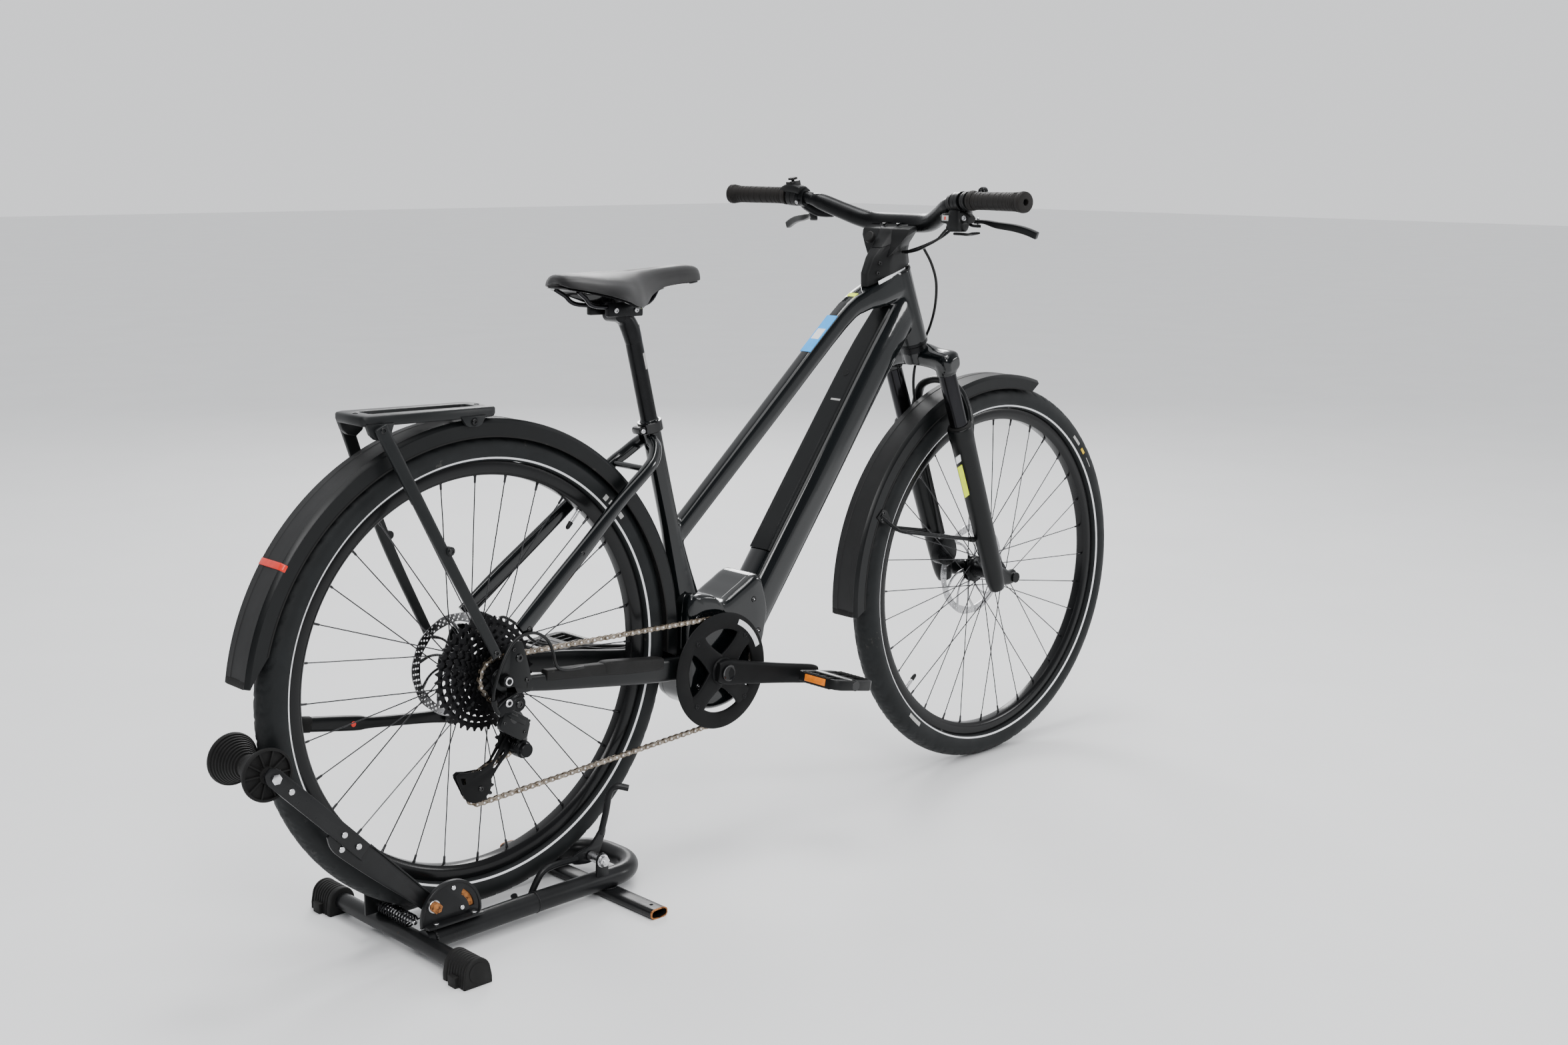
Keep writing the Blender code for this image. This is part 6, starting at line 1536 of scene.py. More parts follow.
def derailleur():
    px, pz = CAGE_PIVOT
    knuckle = lathe([(0.0003, 0), (0.0118, 0), (0.013, 0.0012), (0.013, 0.02), (0.0112, 0.0212),
                     (0.0104, 0.024), (0.0104, 0.0272), (0.0094, 0.0281), (0.0003, 0.0281)], 56,
                    (px, CHAIN_Y - 0.0104, pz), -ACROSS)
    groove = [turned([(0.0128, 0.003 + 0.0045 * k), (0.0134, 0.0036 + 0.0045 * k),
                      (0.0134, 0.0052 + 0.0045 * k), (0.0128, 0.0058 + 0.0045 * k)], 48,
                     (px, CHAIN_Y - 0.0104, pz), -ACROSS) for k in range(4)]
    piece("derailleur_knuckle", merge(knuckle, *groove), "bicycle", "anodised", ["derailleur"])
    box = prism([(-0.0105, -0.044), (0.002, -0.041), (0.032, -0.06), (0.035, -0.069), (0.03, -0.088),
                 (0.018, -0.092), (-0.008, -0.076), (-0.018, -0.069), (-0.0185, -0.062)], -0.089, -0.079)
    ridge = prism([(-0.007, -0.048), (0.001, -0.0462), (0.027, -0.0628), (0.0235, -0.069), (0.002, -0.056)],
                  -0.0906, -0.0885)
    piece("derailleur_links", merge(box, ridge), "bicycle", "frame_satin", bevel=0.0018)
    inner_link = tube([(0.006, -0.0725, -0.042), (0.022, -0.0715, -0.063), (0.031, -0.0705, -0.082),
                       (0.03, -0.07, -0.1)],
                      [(0.01, 0.004), (0.012, 0.0045), (0.011, 0.0045), (0.008, 0.003)], ACROSS, 24, 4, 6,
                      0.0012)
    bridge = tube([(0.004, -0.087, -0.052), (0.016, -0.083, -0.07), (0.026, -0.079, -0.09),
                   (0.028, -0.076, -0.102)],
                  [(0.0075, 0.003), (0.0095, 0.005), (0.0085, 0.005), (0.0085, 0.005)], ACROSS, 24, 4, 6,
                  0.0015)
    piece("derailleur_arms", merge(inner_link, bridge), "bicycle", "gloss_part")
    body = tube([(0.017, -0.08, -0.03), (0.006, -0.0825, -0.034), (-0.008, -0.0835, -0.038),
                 (-0.02, -0.083, -0.044)],
                [(0.0115, 0.006), (0.013, 0.0062), (0.012, 0.0058), (0.0085, 0.005)], ACROSS, 28, 4, 5,
                0.0015)
    pivot = merge(body, disc((0.016, -0.0885, -0.036), (0.016, -0.075, -0.036), 0.0112))
    piece("derailleur_hanger_knuckle", pivot, "bicycle", "anodised")
    piece("derailleur_clamp_bolt", merge(bolt((-0.003, -0.0878, -0.031), -ACROSS, 0.0062, 0.0026)), "bicycle",
          "steel")
    screws = [bolt((0.016, -0.0884, -0.036), -ACROSS, 0.0058, 0.002),
              bolt((-0.011, -0.089, -0.06), -ACROSS, 0.0026, 0.0012),
              bolt((0.025, -0.089, -0.08), -ACROSS, 0.0026, 0.0012),
              bolt((0.0345, -0.086, -0.065), (1, 0, 0.2), 0.002, 0.0022),
              bolt((0.0345, -0.082, -0.069), (1, 0, 0.2), 0.002, 0.0022)]
    piece("derailleur_screws", merge(*screws), "bicycle", "gloss_part")
    barrel = merge(wire([(-0.027, -0.0862, -0.03), (-0.024, -0.0858, -0.038), (-0.019, -0.085, -0.044)],
                        0.0034, 16, 3),
                   wire([(-0.0285, -0.0862, -0.023), (-0.0268, -0.0862, -0.031)], 0.0044, 12, 1))
    piece("derailleur_barrel", barrel, "bicycle", "plastic")
    loop = wire([(0.15, -0.069, -0.006), (0.118, -0.072, -0.004), (0.0985, -0.075, 0.002),
                 (0.0897, -0.0775, 0.012), (0.0849, -0.0785, 0.0288), (0.074, -0.079, 0.05),
                 (0.053, -0.08, 0.064), (0.0289, -0.0815, 0.0652), (0.007, -0.083, 0.0555),
                 (-0.01, -0.0845, 0.0335), (-0.022, -0.0855, 0.008), (-0.0285, -0.086, -0.012),
                 (-0.029, -0.0862, -0.0235)], 0.0024, 16)
    piece("shift_cable_housing", loop, "bicycle", "cord")


chain()
cassette()
jockey("upper_jockey", "upper_jockey", UPPER_JOCKEY, 11, "jockey_upper")
jockey("lower_jockey", "lower_jockey", LOWER_JOCKEY, 12, "jockey_lower")
cage()
derailleur()


# ---- Cranks and pedals ----
def crank_arm(side):
    end = CRANK_TURN * (-side)
    y = side
    path = [BB - end * 0.018 + ACROSS * y * 0.07, BB + end * 0.005 + ACROSS * y * 0.071,
            BB + end * 0.05 + ACROSS * y * 0.077, BB + end * 0.12 + ACROSS * y * 0.086,
            BB + end * (CRANK_LENGTH + 0.002) + ACROSS * y * 0.093,
            BB + end * (CRANK_LENGTH + 0.014) + ACROSS * y * 0.0935]
    halves = [(0.015, 0.007), (0.0205, 0.0085), (0.0185, 0.008), (0.0165, 0.007), (0.0155, 0.007),
              (0.011, 0.0065)]
    arm = tube(path, halves, sides=40, power=4.2, spans=8, rounding=0.0015)
    name = "left" if side > 0 else "right"
    piece("crank_arm_" + name, arm, "cranks", "flat_black", ["crank_" + name])
    boss = merge(turned([(0.01, 0.0), (0.0132, 0.0), (0.0136, 0.0006), (0.0136, 0.0014), (0.0126, 0.002),
                         (0.01, 0.0012)], 48, BB + ACROSS * y * 0.0787, ACROSS * y),
                 turned([(0.006, 0.0), (0.0086, 0.0), (0.009, 0.0008), (0.006, 0.001)], 6,
                        BB + ACROSS * y * 0.0775, ACROSS * y))
    piece("crank_boss_ring_" + name, boss, "cranks", "gloss_part")
    cap = lathe([(0.0003, 0.0), (0.0102, 0.0), (0.0102, 0.0008), (0.0003, 0.0004)], 40,
                BB + ACROSS * y * 0.0785, ACROSS * y)
    stub = disc(BB + ACROSS * y * 0.0434, BB + ACROSS * y * 0.07, 0.013)
    piece("crank_axle_" + name, merge(cap, stub), "cranks", "plastic")
    pedal_place = BB + end * CRANK_LENGTH
    spindle = merge(disc(pedal_place + ACROSS * y * 0.09, pedal_place + ACROSS * y * 0.19, 0.0045),
                    disc(pedal_place + ACROSS * y * 0.0992, pedal_place + ACROSS * y * 0.1045, 0.0078),
                    turned([(0.0046, 0.0), (0.0082, 0.0), (0.0086, 0.0006), (0.0046, 0.001)], 40,
                           pedal_place + ACROSS * y * 0.0992, -ACROSS * y))
    piece("pedal_spindle_" + name, spindle, "cranks", "steel")


def chainring():
    place = (BB.x, BB.z)
    teeth = toothed(44, 0.0745, CHAIN_Y - 0.001, CHAIN_Y + 0.001, place, 0.003)
    piece("chainring_teeth", teeth, "cranks", "cog", angle=25)
    guard = turned([(0.07, -0.059), (0.0715, -0.0586), (0.095, -0.0586), (0.0965, -0.0592), (0.0968, -0.06),
                    (0.096, -0.0608), (0.0935, -0.0614), (0.073, -0.0608), (0.0705, -0.0602),
                    (0.0695, -0.0596)], 160, BB)
    piece("chainring_guard", guard, "cranks", "flat_black", angle=28)
    link = turned([(0.07, -0.056), (0.079, -0.056), (0.079, -0.0592), (0.07, -0.0592)], 120, BB)
    arms = []
    for k in range(4):
        angle = math.radians(45 + 90 * k)
        out = radial(angle)
        arms.append(tube([BB + out * 0.012 - ACROSS * 0.06, BB + out * 0.035 - ACROSS * 0.06,
                          BB + out * 0.06 - ACROSS * 0.0592, BB + out * 0.0765 - ACROSS * 0.0585],
                         [(0.021, 0.004), (0.0165, 0.0034), (0.0155, 0.0028), (0.022, 0.0022)], ACROSS, 28,
                         4, 6, 0.0008))
    centre = lathe([(0.0003, 0), (0.0225, 0), (0.0235, 0.001), (0.0235, 0.012), (0.0215, 0.0145),
                    (0.0003, 0.0145)], 64, BB - ACROSS * 0.053, -ACROSS)
    piece("chainring_spider", merge(link, centre, *arms), "cranks", "flat_black")
    bolts, caps = [], []
    for k in range(4):
        angle = math.radians(45 + 90 * k)
        out = radial(angle)
        bolts.append(turned([(0.0024, 0), (0.0044, 0), (0.0048, 0.0005), (0.0044, 0.0013), (0.003, 0.0013),
                             (0.0024, 0.0006)], 28, BB + out * 0.0735 - ACROSS * 0.0604, -ACROSS))
        caps.append(disc(BB + out * 0.0735 - ACROSS * 0.06, BB + out * 0.0735 - ACROSS * 0.0609, 0.0026))
    piece("chainring_bolts", merge(*bolts), "cranks", "anodised")
    piece("chainring_bolt_sockets", merge(*caps), "cranks", "plastic")
    sticker = turned([(0.0805, -0.0608), (0.0895, -0.0608), (0.0895, -0.06165), (0.0805, -0.06165)], 30, BB,
                     ACROSS, radial(math.radians(65)), 44)
    piece("chainring_mark", sticker, "cranks", "white_label")


def pedal(name, body, centre, side, tilt, top_finish, node):
    """Platform with a raised frame, cross ribs, studs and reflectors round its bearing barrel."""
    half_x, inner, outer = 0.0475, 0.106, 0.201
    turn = Matrix.Translation(centre) @ Matrix.Rotation(tilt, 4, "Y")

    def put(shape):
        shape = mirrored(shape) if side < 0 else shape
        return moved(shape, turn)

    plan = [(-half_x + 0.012, inner), (half_x - 0.012, inner), (half_x - 0.003, inner + 0.006),
            (half_x, inner + 0.014), (half_x, outer - 0.016), (half_x - 0.004, outer - 0.006),
            (half_x - 0.014, outer), (-half_x + 0.014, outer), (-half_x + 0.004, outer - 0.006),
            (-half_x, outer - 0.016), (-half_x, inner + 0.014), (-half_x + 0.003, inner + 0.006)]
    body_slab = slab(plan, -0.0082, 0.0082)
    windows = [block((min(s * 0.0115, s * 0.0385), inner + 0.011, -0.02),
                     (max(s * 0.0115, s * 0.0385), outer - 0.013, 0.02)) for s in (-1, 1)]
    shell = carve(body_slab, merge(*windows))
    shell = carve(shell, cylinder((0, inner - 0.01, 0), (0, outer - 0.006, 0), 0.0048))
    piece(name + "_frame", put(shell), body, "plastic", [node], bevel=0.0012)
    ribs = []
    for s in (-1, 1):
        for k in range(4):
            y = inner + 0.02 + 0.0175 * k
            ribs.append(block((min(s * 0.011, s * 0.039), y - 0.0014, -0.0062),
                              (max(s * 0.011, s * 0.039), y + 0.0014, 0.0062)))
    piece(name + "_ribs", put(merge(*ribs)), body, "plastic", bevel=0.0004)
    barrel = turned([(0.005, inner + 0.004), (0.0096, inner + 0.004), (0.01, inner + 0.006),
                     (0.0092, inner + 0.04), (0.0088, outer - 0.02), (0.0094, outer - 0.008),
                     (0.005, outer - 0.008)], 40)
    cap = disc((0, outer - 0.0075, 0), (0, outer + 0.0002, 0), 0.0088)
    piece(name + "_barrel", put(merge(barrel, cap)), body, "gloss_part")
    treads = []
    for z in (-1, 1):
        for s in (-1, 1):
            x = s * 0.043
            low, high = sorted((z * 0.008, z * 0.0094))
            treads.append(block((x - 0.0032, inner + 0.014, low), (x + 0.0032, outer - 0.017, high)))
    piece(name + "_treads", put(merge(*treads)), body, top_finish, bevel=0.0007)
    studs = []
    for z in (-1, 1):
        for s in (-1, 1):
            for k in range(8):
                y = inner + 0.018 + 0.0082 * k
                low = Vector((s * 0.043, y, z * 0.0088))
                studs.append(lathe([(0.0013, 0), (0.0011, 0.0012), (0.0003, 0.0013)], 8, low, UP * z))
    piece(name + "_studs", put(merge(*studs)), body, top_finish)
    lenses = [block((min(s * 0.0458, s * 0.0484), inner + 0.022, -0.0058),
                    (max(s * 0.0458, s * 0.0484), outer - 0.026, 0.0058)) for s in (-1, 1)]
    piece(name + "_reflectors", put(merge(*lenses)), body, "orange", bevel=0.0008)


for crank_side in (-1, 1):
    crank_arm(crank_side)
chainring()
pedal("right_pedal", "right_pedal", BB + CRANK_TURN * CRANK_LENGTH, -1, math.radians(10), "rubber",
      "pedal_right")
pedal("left_pedal", "left_pedal", BB - CRANK_TURN * CRANK_LENGTH, 1, math.radians(-4), "grey_label",
      "pedal_left")


# ---- Fork ----
def fork_crown():
    path = [steer(0.466, 0.004, -0.086), steer(0.468, 0.004, -0.074), steer(0.474, 0.006, -0.04),
            steer(0.479, 0.007, 0.0), steer(0.474, 0.006, 0.04), steer(0.468, 0.004, 0.074),
            steer(0.466, 0.004, 0.086)]
    halves = [(0.012, 0.014), (0.02, 0.022), (0.016, 0.021), (0.018, 0.024), (0.016, 0.021), (0.02, 0.022),
              (0.012, 0.014)]
    crown = tube(path, halves, STEER_FORWARD, 32, 3, 5)
    race = cylinder(steer(0.47), steer(0.492), 0.024)
    collars = [cylinder(steer(0.4485, 0, s * LEG_Y), steer(0.47, 0, s * LEG_Y), 0.0186) for s in (-1, 1)]
    skin = fused(merge(crown, race, *collars), 0.0016, 5)
    piece("fork_crown_body", skin, "steering", "frame_gloss", ["fork_crown"], angle=50)
    race_ring = turned([(0.01, 0.49), (0.0232, 0.49), (0.0238, 0.4906), (0.0238, 0.501), (0.0232, 0.5016),
                        (0.01, 0.5016)], 64, STEER_FOOT, STEER_AXIS)
    piece("fork_crown_race", race_ring, "steering", "anodised")
    legs = [disc(steer(0.22, 0, s * LEG_Y), steer(0.462, 0, s * LEG_Y), 0.016, steps=56) for s in (-1, 1)]
    piece("fork_stanchions", merge(*legs), "steering", "stanchion")
    knob = lathe([(0.0003, 0), (0.0125, 0), (0.013, 0.0006), (0.013, 0.005), (0.0122, 0.006),
                  (0.0003, 0.0062)], 24, steer(0.4835, 0.002, -LEG_Y - 0.004), STEER_AXIS)
    knob = carve(knob, merge(*[tube([steer(0.4905, 0.002 - f, -LEG_Y - 0.004 - w),
                                     steer(0.4905, 0.002 + f, -LEG_Y - 0.004 + w)], (0.0014, 0.0016),
                                    STEER_AXIS, 8, 6, 1) for f, w in ((0.016, 0.0), (0.0, 0.016))]))
    cap = lathe([(0.0003, 0), (0.012, 0), (0.0124, 0.0006), (0.012, 0.0036), (0.0105, 0.0046),
                 (0.0003, 0.0046)], 40, steer(0.4835, 0.002, LEG_Y + 0.004), STEER_AXIS)
    piece("fork_top_caps", merge(knob, cap), "steering", "anodised")


def fork_lowers():
    parts = []
    for s in (-1, 1):
        path = [steer(0.343, 0, s * LEG_Y), steer(0.325, 0, s * LEG_Y), steer(0.3, 0, s * LEG_Y),
                steer(0.21, 0, s * LEG_Y), steer(0.12, 0, s * LEG_Y), steer(0.06, 0, s * LEG_Y),
                steer(0.02, 0, s * LEG_Y), steer(0.0, 0, s * LEG_Y)]
        halves = [(0.0232, 0.0226), (0.0236, 0.023), (0.0222, 0.0218), (0.0212, 0.0208), (0.0204, 0.0196),
                  (0.0196, 0.0184), (0.0184, 0.017), (0.014, 0.0134)]
        parts.append(tube(path, halves, sides=40, spans=5))
        parts.append(tube([steer(0.044, 0.002, s * 0.0635), steer(0.024, 0.014, s * 0.063),
                           steer(0.006, 0.034, s * 0.0625), steer(0.0, FORK_OFFSET + 0.006, s * 0.0625)],
                          [(0.016, 0.01), (0.016, 0.0095), (0.014, 0.009), (0.0125, 0.009)], sides=28,
                          power=3, spans=5))
    parts.append(tube([steer(0.322, 0.016, -0.066), steer(0.34, 0.026, -0.065), steer(0.368, 0.035, -0.059),
                       steer(0.398, 0.04, -0.042), steer(0.412, 0.042, 0.0), steer(0.398, 0.04, 0.042),
                       steer(0.368, 0.035, 0.059), steer(0.34, 0.026, 0.065), steer(0.322, 0.016, 0.066)],
                      [(0.012, 0.009), (0.01, 0.0085), (0.0085, 0.0075), (0.0075, 0.0075), (0.0065, 0.0085),
                       (0.0075, 0.0075), (0.0085, 0.0075), (0.01, 0.0085), (0.012, 0.009)],
                      STEER_FORWARD, 28, 3, 5))
    skin = fused(merge(*parts), 0.0018, 6)
    bores = [cylinder(steer(0.15, 0, s * LEG_Y), steer(0.36, 0, s * LEG_Y), 0.0166) for s in (-1, 1)]
    piece("fork_lower_casting", carve(skin, merge(*bores)), "fork_slider", "frame_satin",
          ["fork_lowers"], angle=50)
    seals = [turned([(0.0164, 0.3405), (0.0205, 0.3405), (0.0209, 0.3412), (0.0209, 0.3446), (0.0196, 0.3462),
                     (0.017, 0.347), (0.0164, 0.3468)], 56, STEER_FOOT + ACROSS * s * LEG_Y, STEER_AXIS)
             for s in (-1, 1)]
    piece("fork_wiper_seals", merge(*seals), "fork_slider", "rubber")
    axle = merge(disc(FRONT_AXLE - ACROSS * 0.0738, FRONT_AXLE + ACROSS * 0.0738, 0.006),
                 disc(FRONT_AXLE + ACROSS * 0.0705, FRONT_AXLE + ACROSS * 0.0745, 0.01),
                 disc(FRONT_AXLE - ACROSS * 0.0745, FRONT_AXLE - ACROSS * 0.0705, 0.01))
    piece("front_thru_axle", axle, "fork_slider", "anodised")
    feet = [bolt(steer(0.0045, 0, s * LEG_Y), -STEER_AXIS, 0.006, 0.0045) for s in (-1, 1)]
    piece("fork_foot_bolts", merge(*feet), "fork_slider", "steel")


fork_crown()
fork_lowers()
FRONT_GUARD = FRONT_AXLE + Vector((-0.014, 0, 0))
mudguard("front_guard", "fork_slider", FRONT_GUARD, 0.382, 0.026, 0.031, 73, 184.5, ["front_mudguard"], 1,
         (2.2, 1.6))


def guard_stays():
    stays, tabs, screws = [], [], []
    for s in (-1, 1):
        stays.append(wire([(0.845, s * 0.0315, 0.149), (0.856, s * 0.0348, 0.14),
                           (0.885, s * 0.042, 0.119), (0.93, s * 0.047, 0.1095), (1.0, s * 0.0515, 0.0965),
                           (1.05, s * 0.0545, 0.0875), (1.074, s * 0.056, 0.083)], 0.0036, 16))
        y = sorted((s * 0.0312, s * 0.033))
        tabs.append(prism([(0.8345, 0.146), (0.849, 0.16), (0.86, 0.156), (0.87, 0.14), (0.865, 0.133),
                           (0.848, 0.135)], *y))
        screws.append(bolt((0.85, s * 0.033, 0.153), ACROSS * s, 0.0038, 0.0018))
        screws.append(bolt((0.848, s * 0.033, 0.141), ACROSS * s, 0.0038, 0.0018))
        tabs.append(disc((1.064, s * 0.0553, 0.085), (1.076, s * 0.0561, 0.0828), 0.0052))
    piece("front_guard_stays", merge(*stays), "fork_slider", "anodised")
    piece("front_guard_tabs", merge(*tabs), "fork_slider", "plastic", bevel=0.0004)
    piece("front_guard_screws", merge(*screws), "fork_slider", "gloss_part")


guard_stays()
caliper("front_brake", "fork_slider",
        [(1.074, 0.03), (1.104, 0.018), (1.124, 0.034), (1.122, 0.058), (1.104, 0.076), (1.08, 0.062)],
        0.0268, 0.045, FRONT_AXLE, 0.0365, 0.09, "front_caliper",
        ((1.092, 0.0385, 0.066), (1.086, 0.0385, 0.077)))


# ---- Cockpit ----
def bar_point(side, place):
    shape = [(0.0, 0.905, 0.662), (0.055, 0.904, 0.6625), (0.085, 0.896, 0.6675), (0.115, 0.88, 0.679),
             (0.145, 0.862, 0.6925), (0.175, 0.849, 0.701), (0.215, 0.84, 0.704), (0.343, 0.82, 0.704)]
    for (y1, x1, z1), (y2, x2, z2) in zip(shape, shape[1:]):
        if place <= y2:
            t = (place - y1) / (y2 - y1)
            return Vector((x1 + (x2 - x1) * t, side * place, z1 + (z2 - z1) * t))
    return Vector((shape[-1][1], side * place, shape[-1][2]))


def bar_radius(place):
    if place < 0.055:
        return 0.0166
    if place < 0.15:
        return 0.0166 - (place - 0.055) * 0.022
    return max(0.0111, 0.0145 - (place - 0.15) * 0.22)


def handlebar():
    places = (0.341, 0.28, 0.215, 0.175, 0.166, 0.15, 0.115, 0.085, 0.055, 0.0)
    path = [bar_point(-1, p) for p in places] + [bar_point(1, p) for p in reversed(places[:-1])]
    radii = [bar_radius(p) for p in places] + [bar_radius(p) for p in reversed(places[:-1])]
    return tube(path, [(r, r) for r in radii], UP, 40, 2.0, 6)


def stem():
    stations = [(0.648, -0.083, 0.027, 0.0215), (0.6488, -0.085, 0.028, 0.0225),
                (0.67, -0.077, 0.031, 0.0235), (0.69, -0.056, 0.044, 0.0255), (0.703, -0.03, 0.056, 0.033),
                (0.711, -0.014, 0.059, 0.035), (0.717, -0.006, 0.0595, 0.0356),
                (0.7205, -0.002, 0.058, 0.035), (0.722, 0.001, 0.056, 0.0335)]
    rings = []
    for along, rear, front, half in stations:
        depth = front - rear
        outline = [(front, 0.1), (front, 0.42), (front - 0.03 * depth, 0.55), (front - 0.18 * depth, 0.9),
                   (front - 0.24 * depth, 0.95), (front - 0.55 * depth, 1.0), (front - 0.62 * depth, 0.97),
                   (rear + 0.1 * depth, 0.55), (rear + 0.02 * depth, 0.4), (rear, 0.3), (rear, 0.06)]
        left = [steer(along, f, w * half) for f, w in outline]
        right = [steer(along, f, -w * half) for f, w in reversed(outline)]
        rings.append(left + right)
    head = loft([[steer(along, rear, -half), steer(along, front, -half), steer(along, front, half),
                  steer(along, rear, half)] for along, rear, front, half in
                 ((0.684, -0.034, 0.02, 0.024), (0.7, -0.02, 0.022, 0.04), (0.712, -0.008, 0.022, 0.052),
                  (0.7195, -0.001, 0.02, 0.0545), (0.7215, 0.001, 0.018, 0.053))])
    shape = loft(rings)
    seam = [steer(0.7, -0.2), steer(0.7, 0.2), steer(0.7009, 0.2), steer(0.7009, -0.2)]
    shell = prism([(p.x, p.z) for p in seam], -0.05, 0.05)
    core_rings = [[middle_of(ring) + (p - middle_of(ring)) * 0.962 for p in ring] for ring in rings]
    groove = carve(shell, loft(core_rings))
    shape = carve(shape, groove)
    piece("stem_tower", merge(shape, head), "steering", "plastic", ["stem"], bevel=0.0013,
          angle=24)
    bar = steer(0.718, 0.038)
    clasp = turned([(0.0162, -0.0225), (0.0204, -0.0225), (0.0212, -0.0217), (0.0212, -0.0008), (0.0204, 0.0),
                    (0.0212, 0.0008), (0.0212, 0.0217), (0.0204, 0.0225), (0.0162, 0.0225)], 40, bar, ACROSS,
                   STEER_AXIS * 0.5 + STEER_FORWARD, 200)
    ears = [tube([steer(0.706, 0.0175, w), steer(0.723, 0.0165, w)], (0.0046, 0.0052), ACROSS, 20, 4, 1,
                 0.0012) for w in (-0.0165, 0.0165)]
    piece("stem_clasp", merge(clasp, *ears), "steering", "anodised", angle=30)
    knob = lathe([(0.0003, 0), (0.01, 0), (0.0104, 0.0008), (0.01, 0.007), (0.0086, 0.0084),
                  (0.0003, 0.0088)], 28, steer(0.712, -0.021, 0.0195),
                 STEER_AXIS * 0.75 - STEER_FORWARD * 0.65)
    screws = [bolt(steer(0.7225, 0.0165, w), STEER_AXIS, 0.0036, 0.0036) for w in (-0.0165, 0.0165)]
    screws += [bolt(steer(a, f, -w), -ACROSS + STEER_FORWARD * -0.4, 0.0036, 0.0034)
               for a, f, w in ((0.664, -0.06, 0.015), (0.679, -0.05, 0.016))]
    piece("stem_knob", knob, "steering", "rubber")
    piece("stem_screws", merge(*screws), "steering", "gloss_part")


def middle_of(points):
    total = Vector()
    for p in points:
        total += p
    return total / len(points)


def grip(side):
    start, end = bar_point(side, 0.217), bar_point(side, 0.343)
    axis = (end - start).normalized()
    profile = [(0.0113, 0.0), (0.0158, 0.0), (0.0166, 0.001), (0.0166, 0.0048), (0.0158, 0.0062)]
    shape = catmull([(0.0156, 0.008), (0.0149, 0.014), (0.0148, 0.04), (0.0151, 0.08), (0.0153, 0.104),
                     (0.016, 0.114), (0.0171, 0.122)], 3)
    for k, (r, a) in enumerate(shape):
        profile.append((r, a))
        if 0 < k < len(shape) - 1:
            profile.append((r - 0.0007, a + 0.0006))
            profile.append((r - 0.0007, a + 0.0016))
            profile.append((r, a + 0.0022))
    profile += [(0.0174, 0.124), (0.0174, 0.1272), (0.0166, 0.1282), (0.0166, 0.129), (0.017, 0.1298),
                (0.016, 0.1312), (0.0132, 0.1318), (0.006, 0.132), (0.0052, 0.1312), (0.005, 0.125),
                (0.0113, 0.124)]
    return turned(profile, 56, start, axis)


def clamp_band(side, place, width, radius):
    """Ring clamped round the handlebar."""
    start, end = bar_point(side, place), bar_point(side, place + width)
    length, split = (end - start).length, 0.0014
    return turned([(0.0112, 0), (radius - 0.0008, 0), (radius, 0.0008), (radius, length / 2 - split / 2),
                   (radius - 0.0007, length / 2 - split / 4), (radius - 0.0007, length / 2 + split / 4),
                   (radius, length / 2 + split / 2), (radius, length - 0.0008), (radius - 0.0008, length),
                   (0.0112, length)], 48, start, end - start)


def brake_control(side):
    name = "left" if side > 0 else "right"
    ring = clamp_band(side, 0.178, 0.018, 0.0165)
    cylinder_part = tube([(0.851, side * 0.191, 0.6945), (0.86, side * 0.187, 0.6875),
                          (0.874, side * 0.178, 0.678), (0.884, side * 0.164, 0.675),
                          (0.89, side * 0.15, 0.674)],
                         [(0.007, 0.0085), (0.0098, 0.01), (0.0105, 0.0095), (0.0095, 0.0086),
                          (0.0072, 0.007)], UP, 32, 3, 6, 0.0012)
    lug_part = tube([(0.866, side * 0.182, 0.6775), (0.874, side * 0.184, 0.667),
                     (0.878, side * 0.188, 0.6625), (0.888, side * 0.198, 0.6615)],
                    [(0.004, 0.006), (0.0036, 0.0065), (0.0026, 0.007), (0.0026, 0.007)],
                    (-0.707, side * 0.707, 0), 20, 4, 5, 0.0008)
    nose = merge(disc((0.8885, side * 0.153, 0.6741), (0.892, side * 0.144, 0.6738), 0.0052),
                 disc((0.891, side * 0.1465, 0.6739), (0.894, side * 0.139, 0.6737), 0.004))
    piece("brake_master_" + name, merge(ring, cylinder_part, lug_part, nose), "steering", "anodised",
          ["control_" + name])
    cap = [bolt(bar_point(side, 0.187) + Vector((0.012, 0, -0.0145)), (0.5, 0, -0.86), 0.0036, 0.003),
           bolt(Vector((0.872, side * 0.179, 0.6872)), (0.2, 0, 0.98), 0.003, 0.0016),
           disc((0.884, side * 0.196, 0.6588), (0.884, side * 0.196, 0.6758), 0.0024)]
    piece("brake_master_screws_" + name, merge(*cap), "steering", "steel")


def lever_pivot(side):
    return Vector((0.884, side * 0.196, 0.669))


def brake_lever(side):
    pivot = lever_pivot(side)
    name = "left" if side > 0 else "right"
    path = [(-0.004, -0.006, 0.0), (0.006, 0.01, 0.0), (0.01, 0.033, -0.0045), (0.02, 0.06, -0.008),
            (0.028, 0.081, -0.013), (0.034, 0.0995, -0.02)]
    blade = tube([pivot + Vector((x, side * y, z)) for x, y, z in path],
                 [(0.0034, 0.006), (0.0036, 0.007), (0.0056, 0.006), (0.0062, 0.0055), (0.0064, 0.0055),
                  (0.0064, 0.0054)], (1, 0, 0), 28, 4.5, 6, 0.0012)
    piece("brake_blade_" + name, blade, name + "_brake_lever", "frame_satin",
          ["brake_lever_" + name])


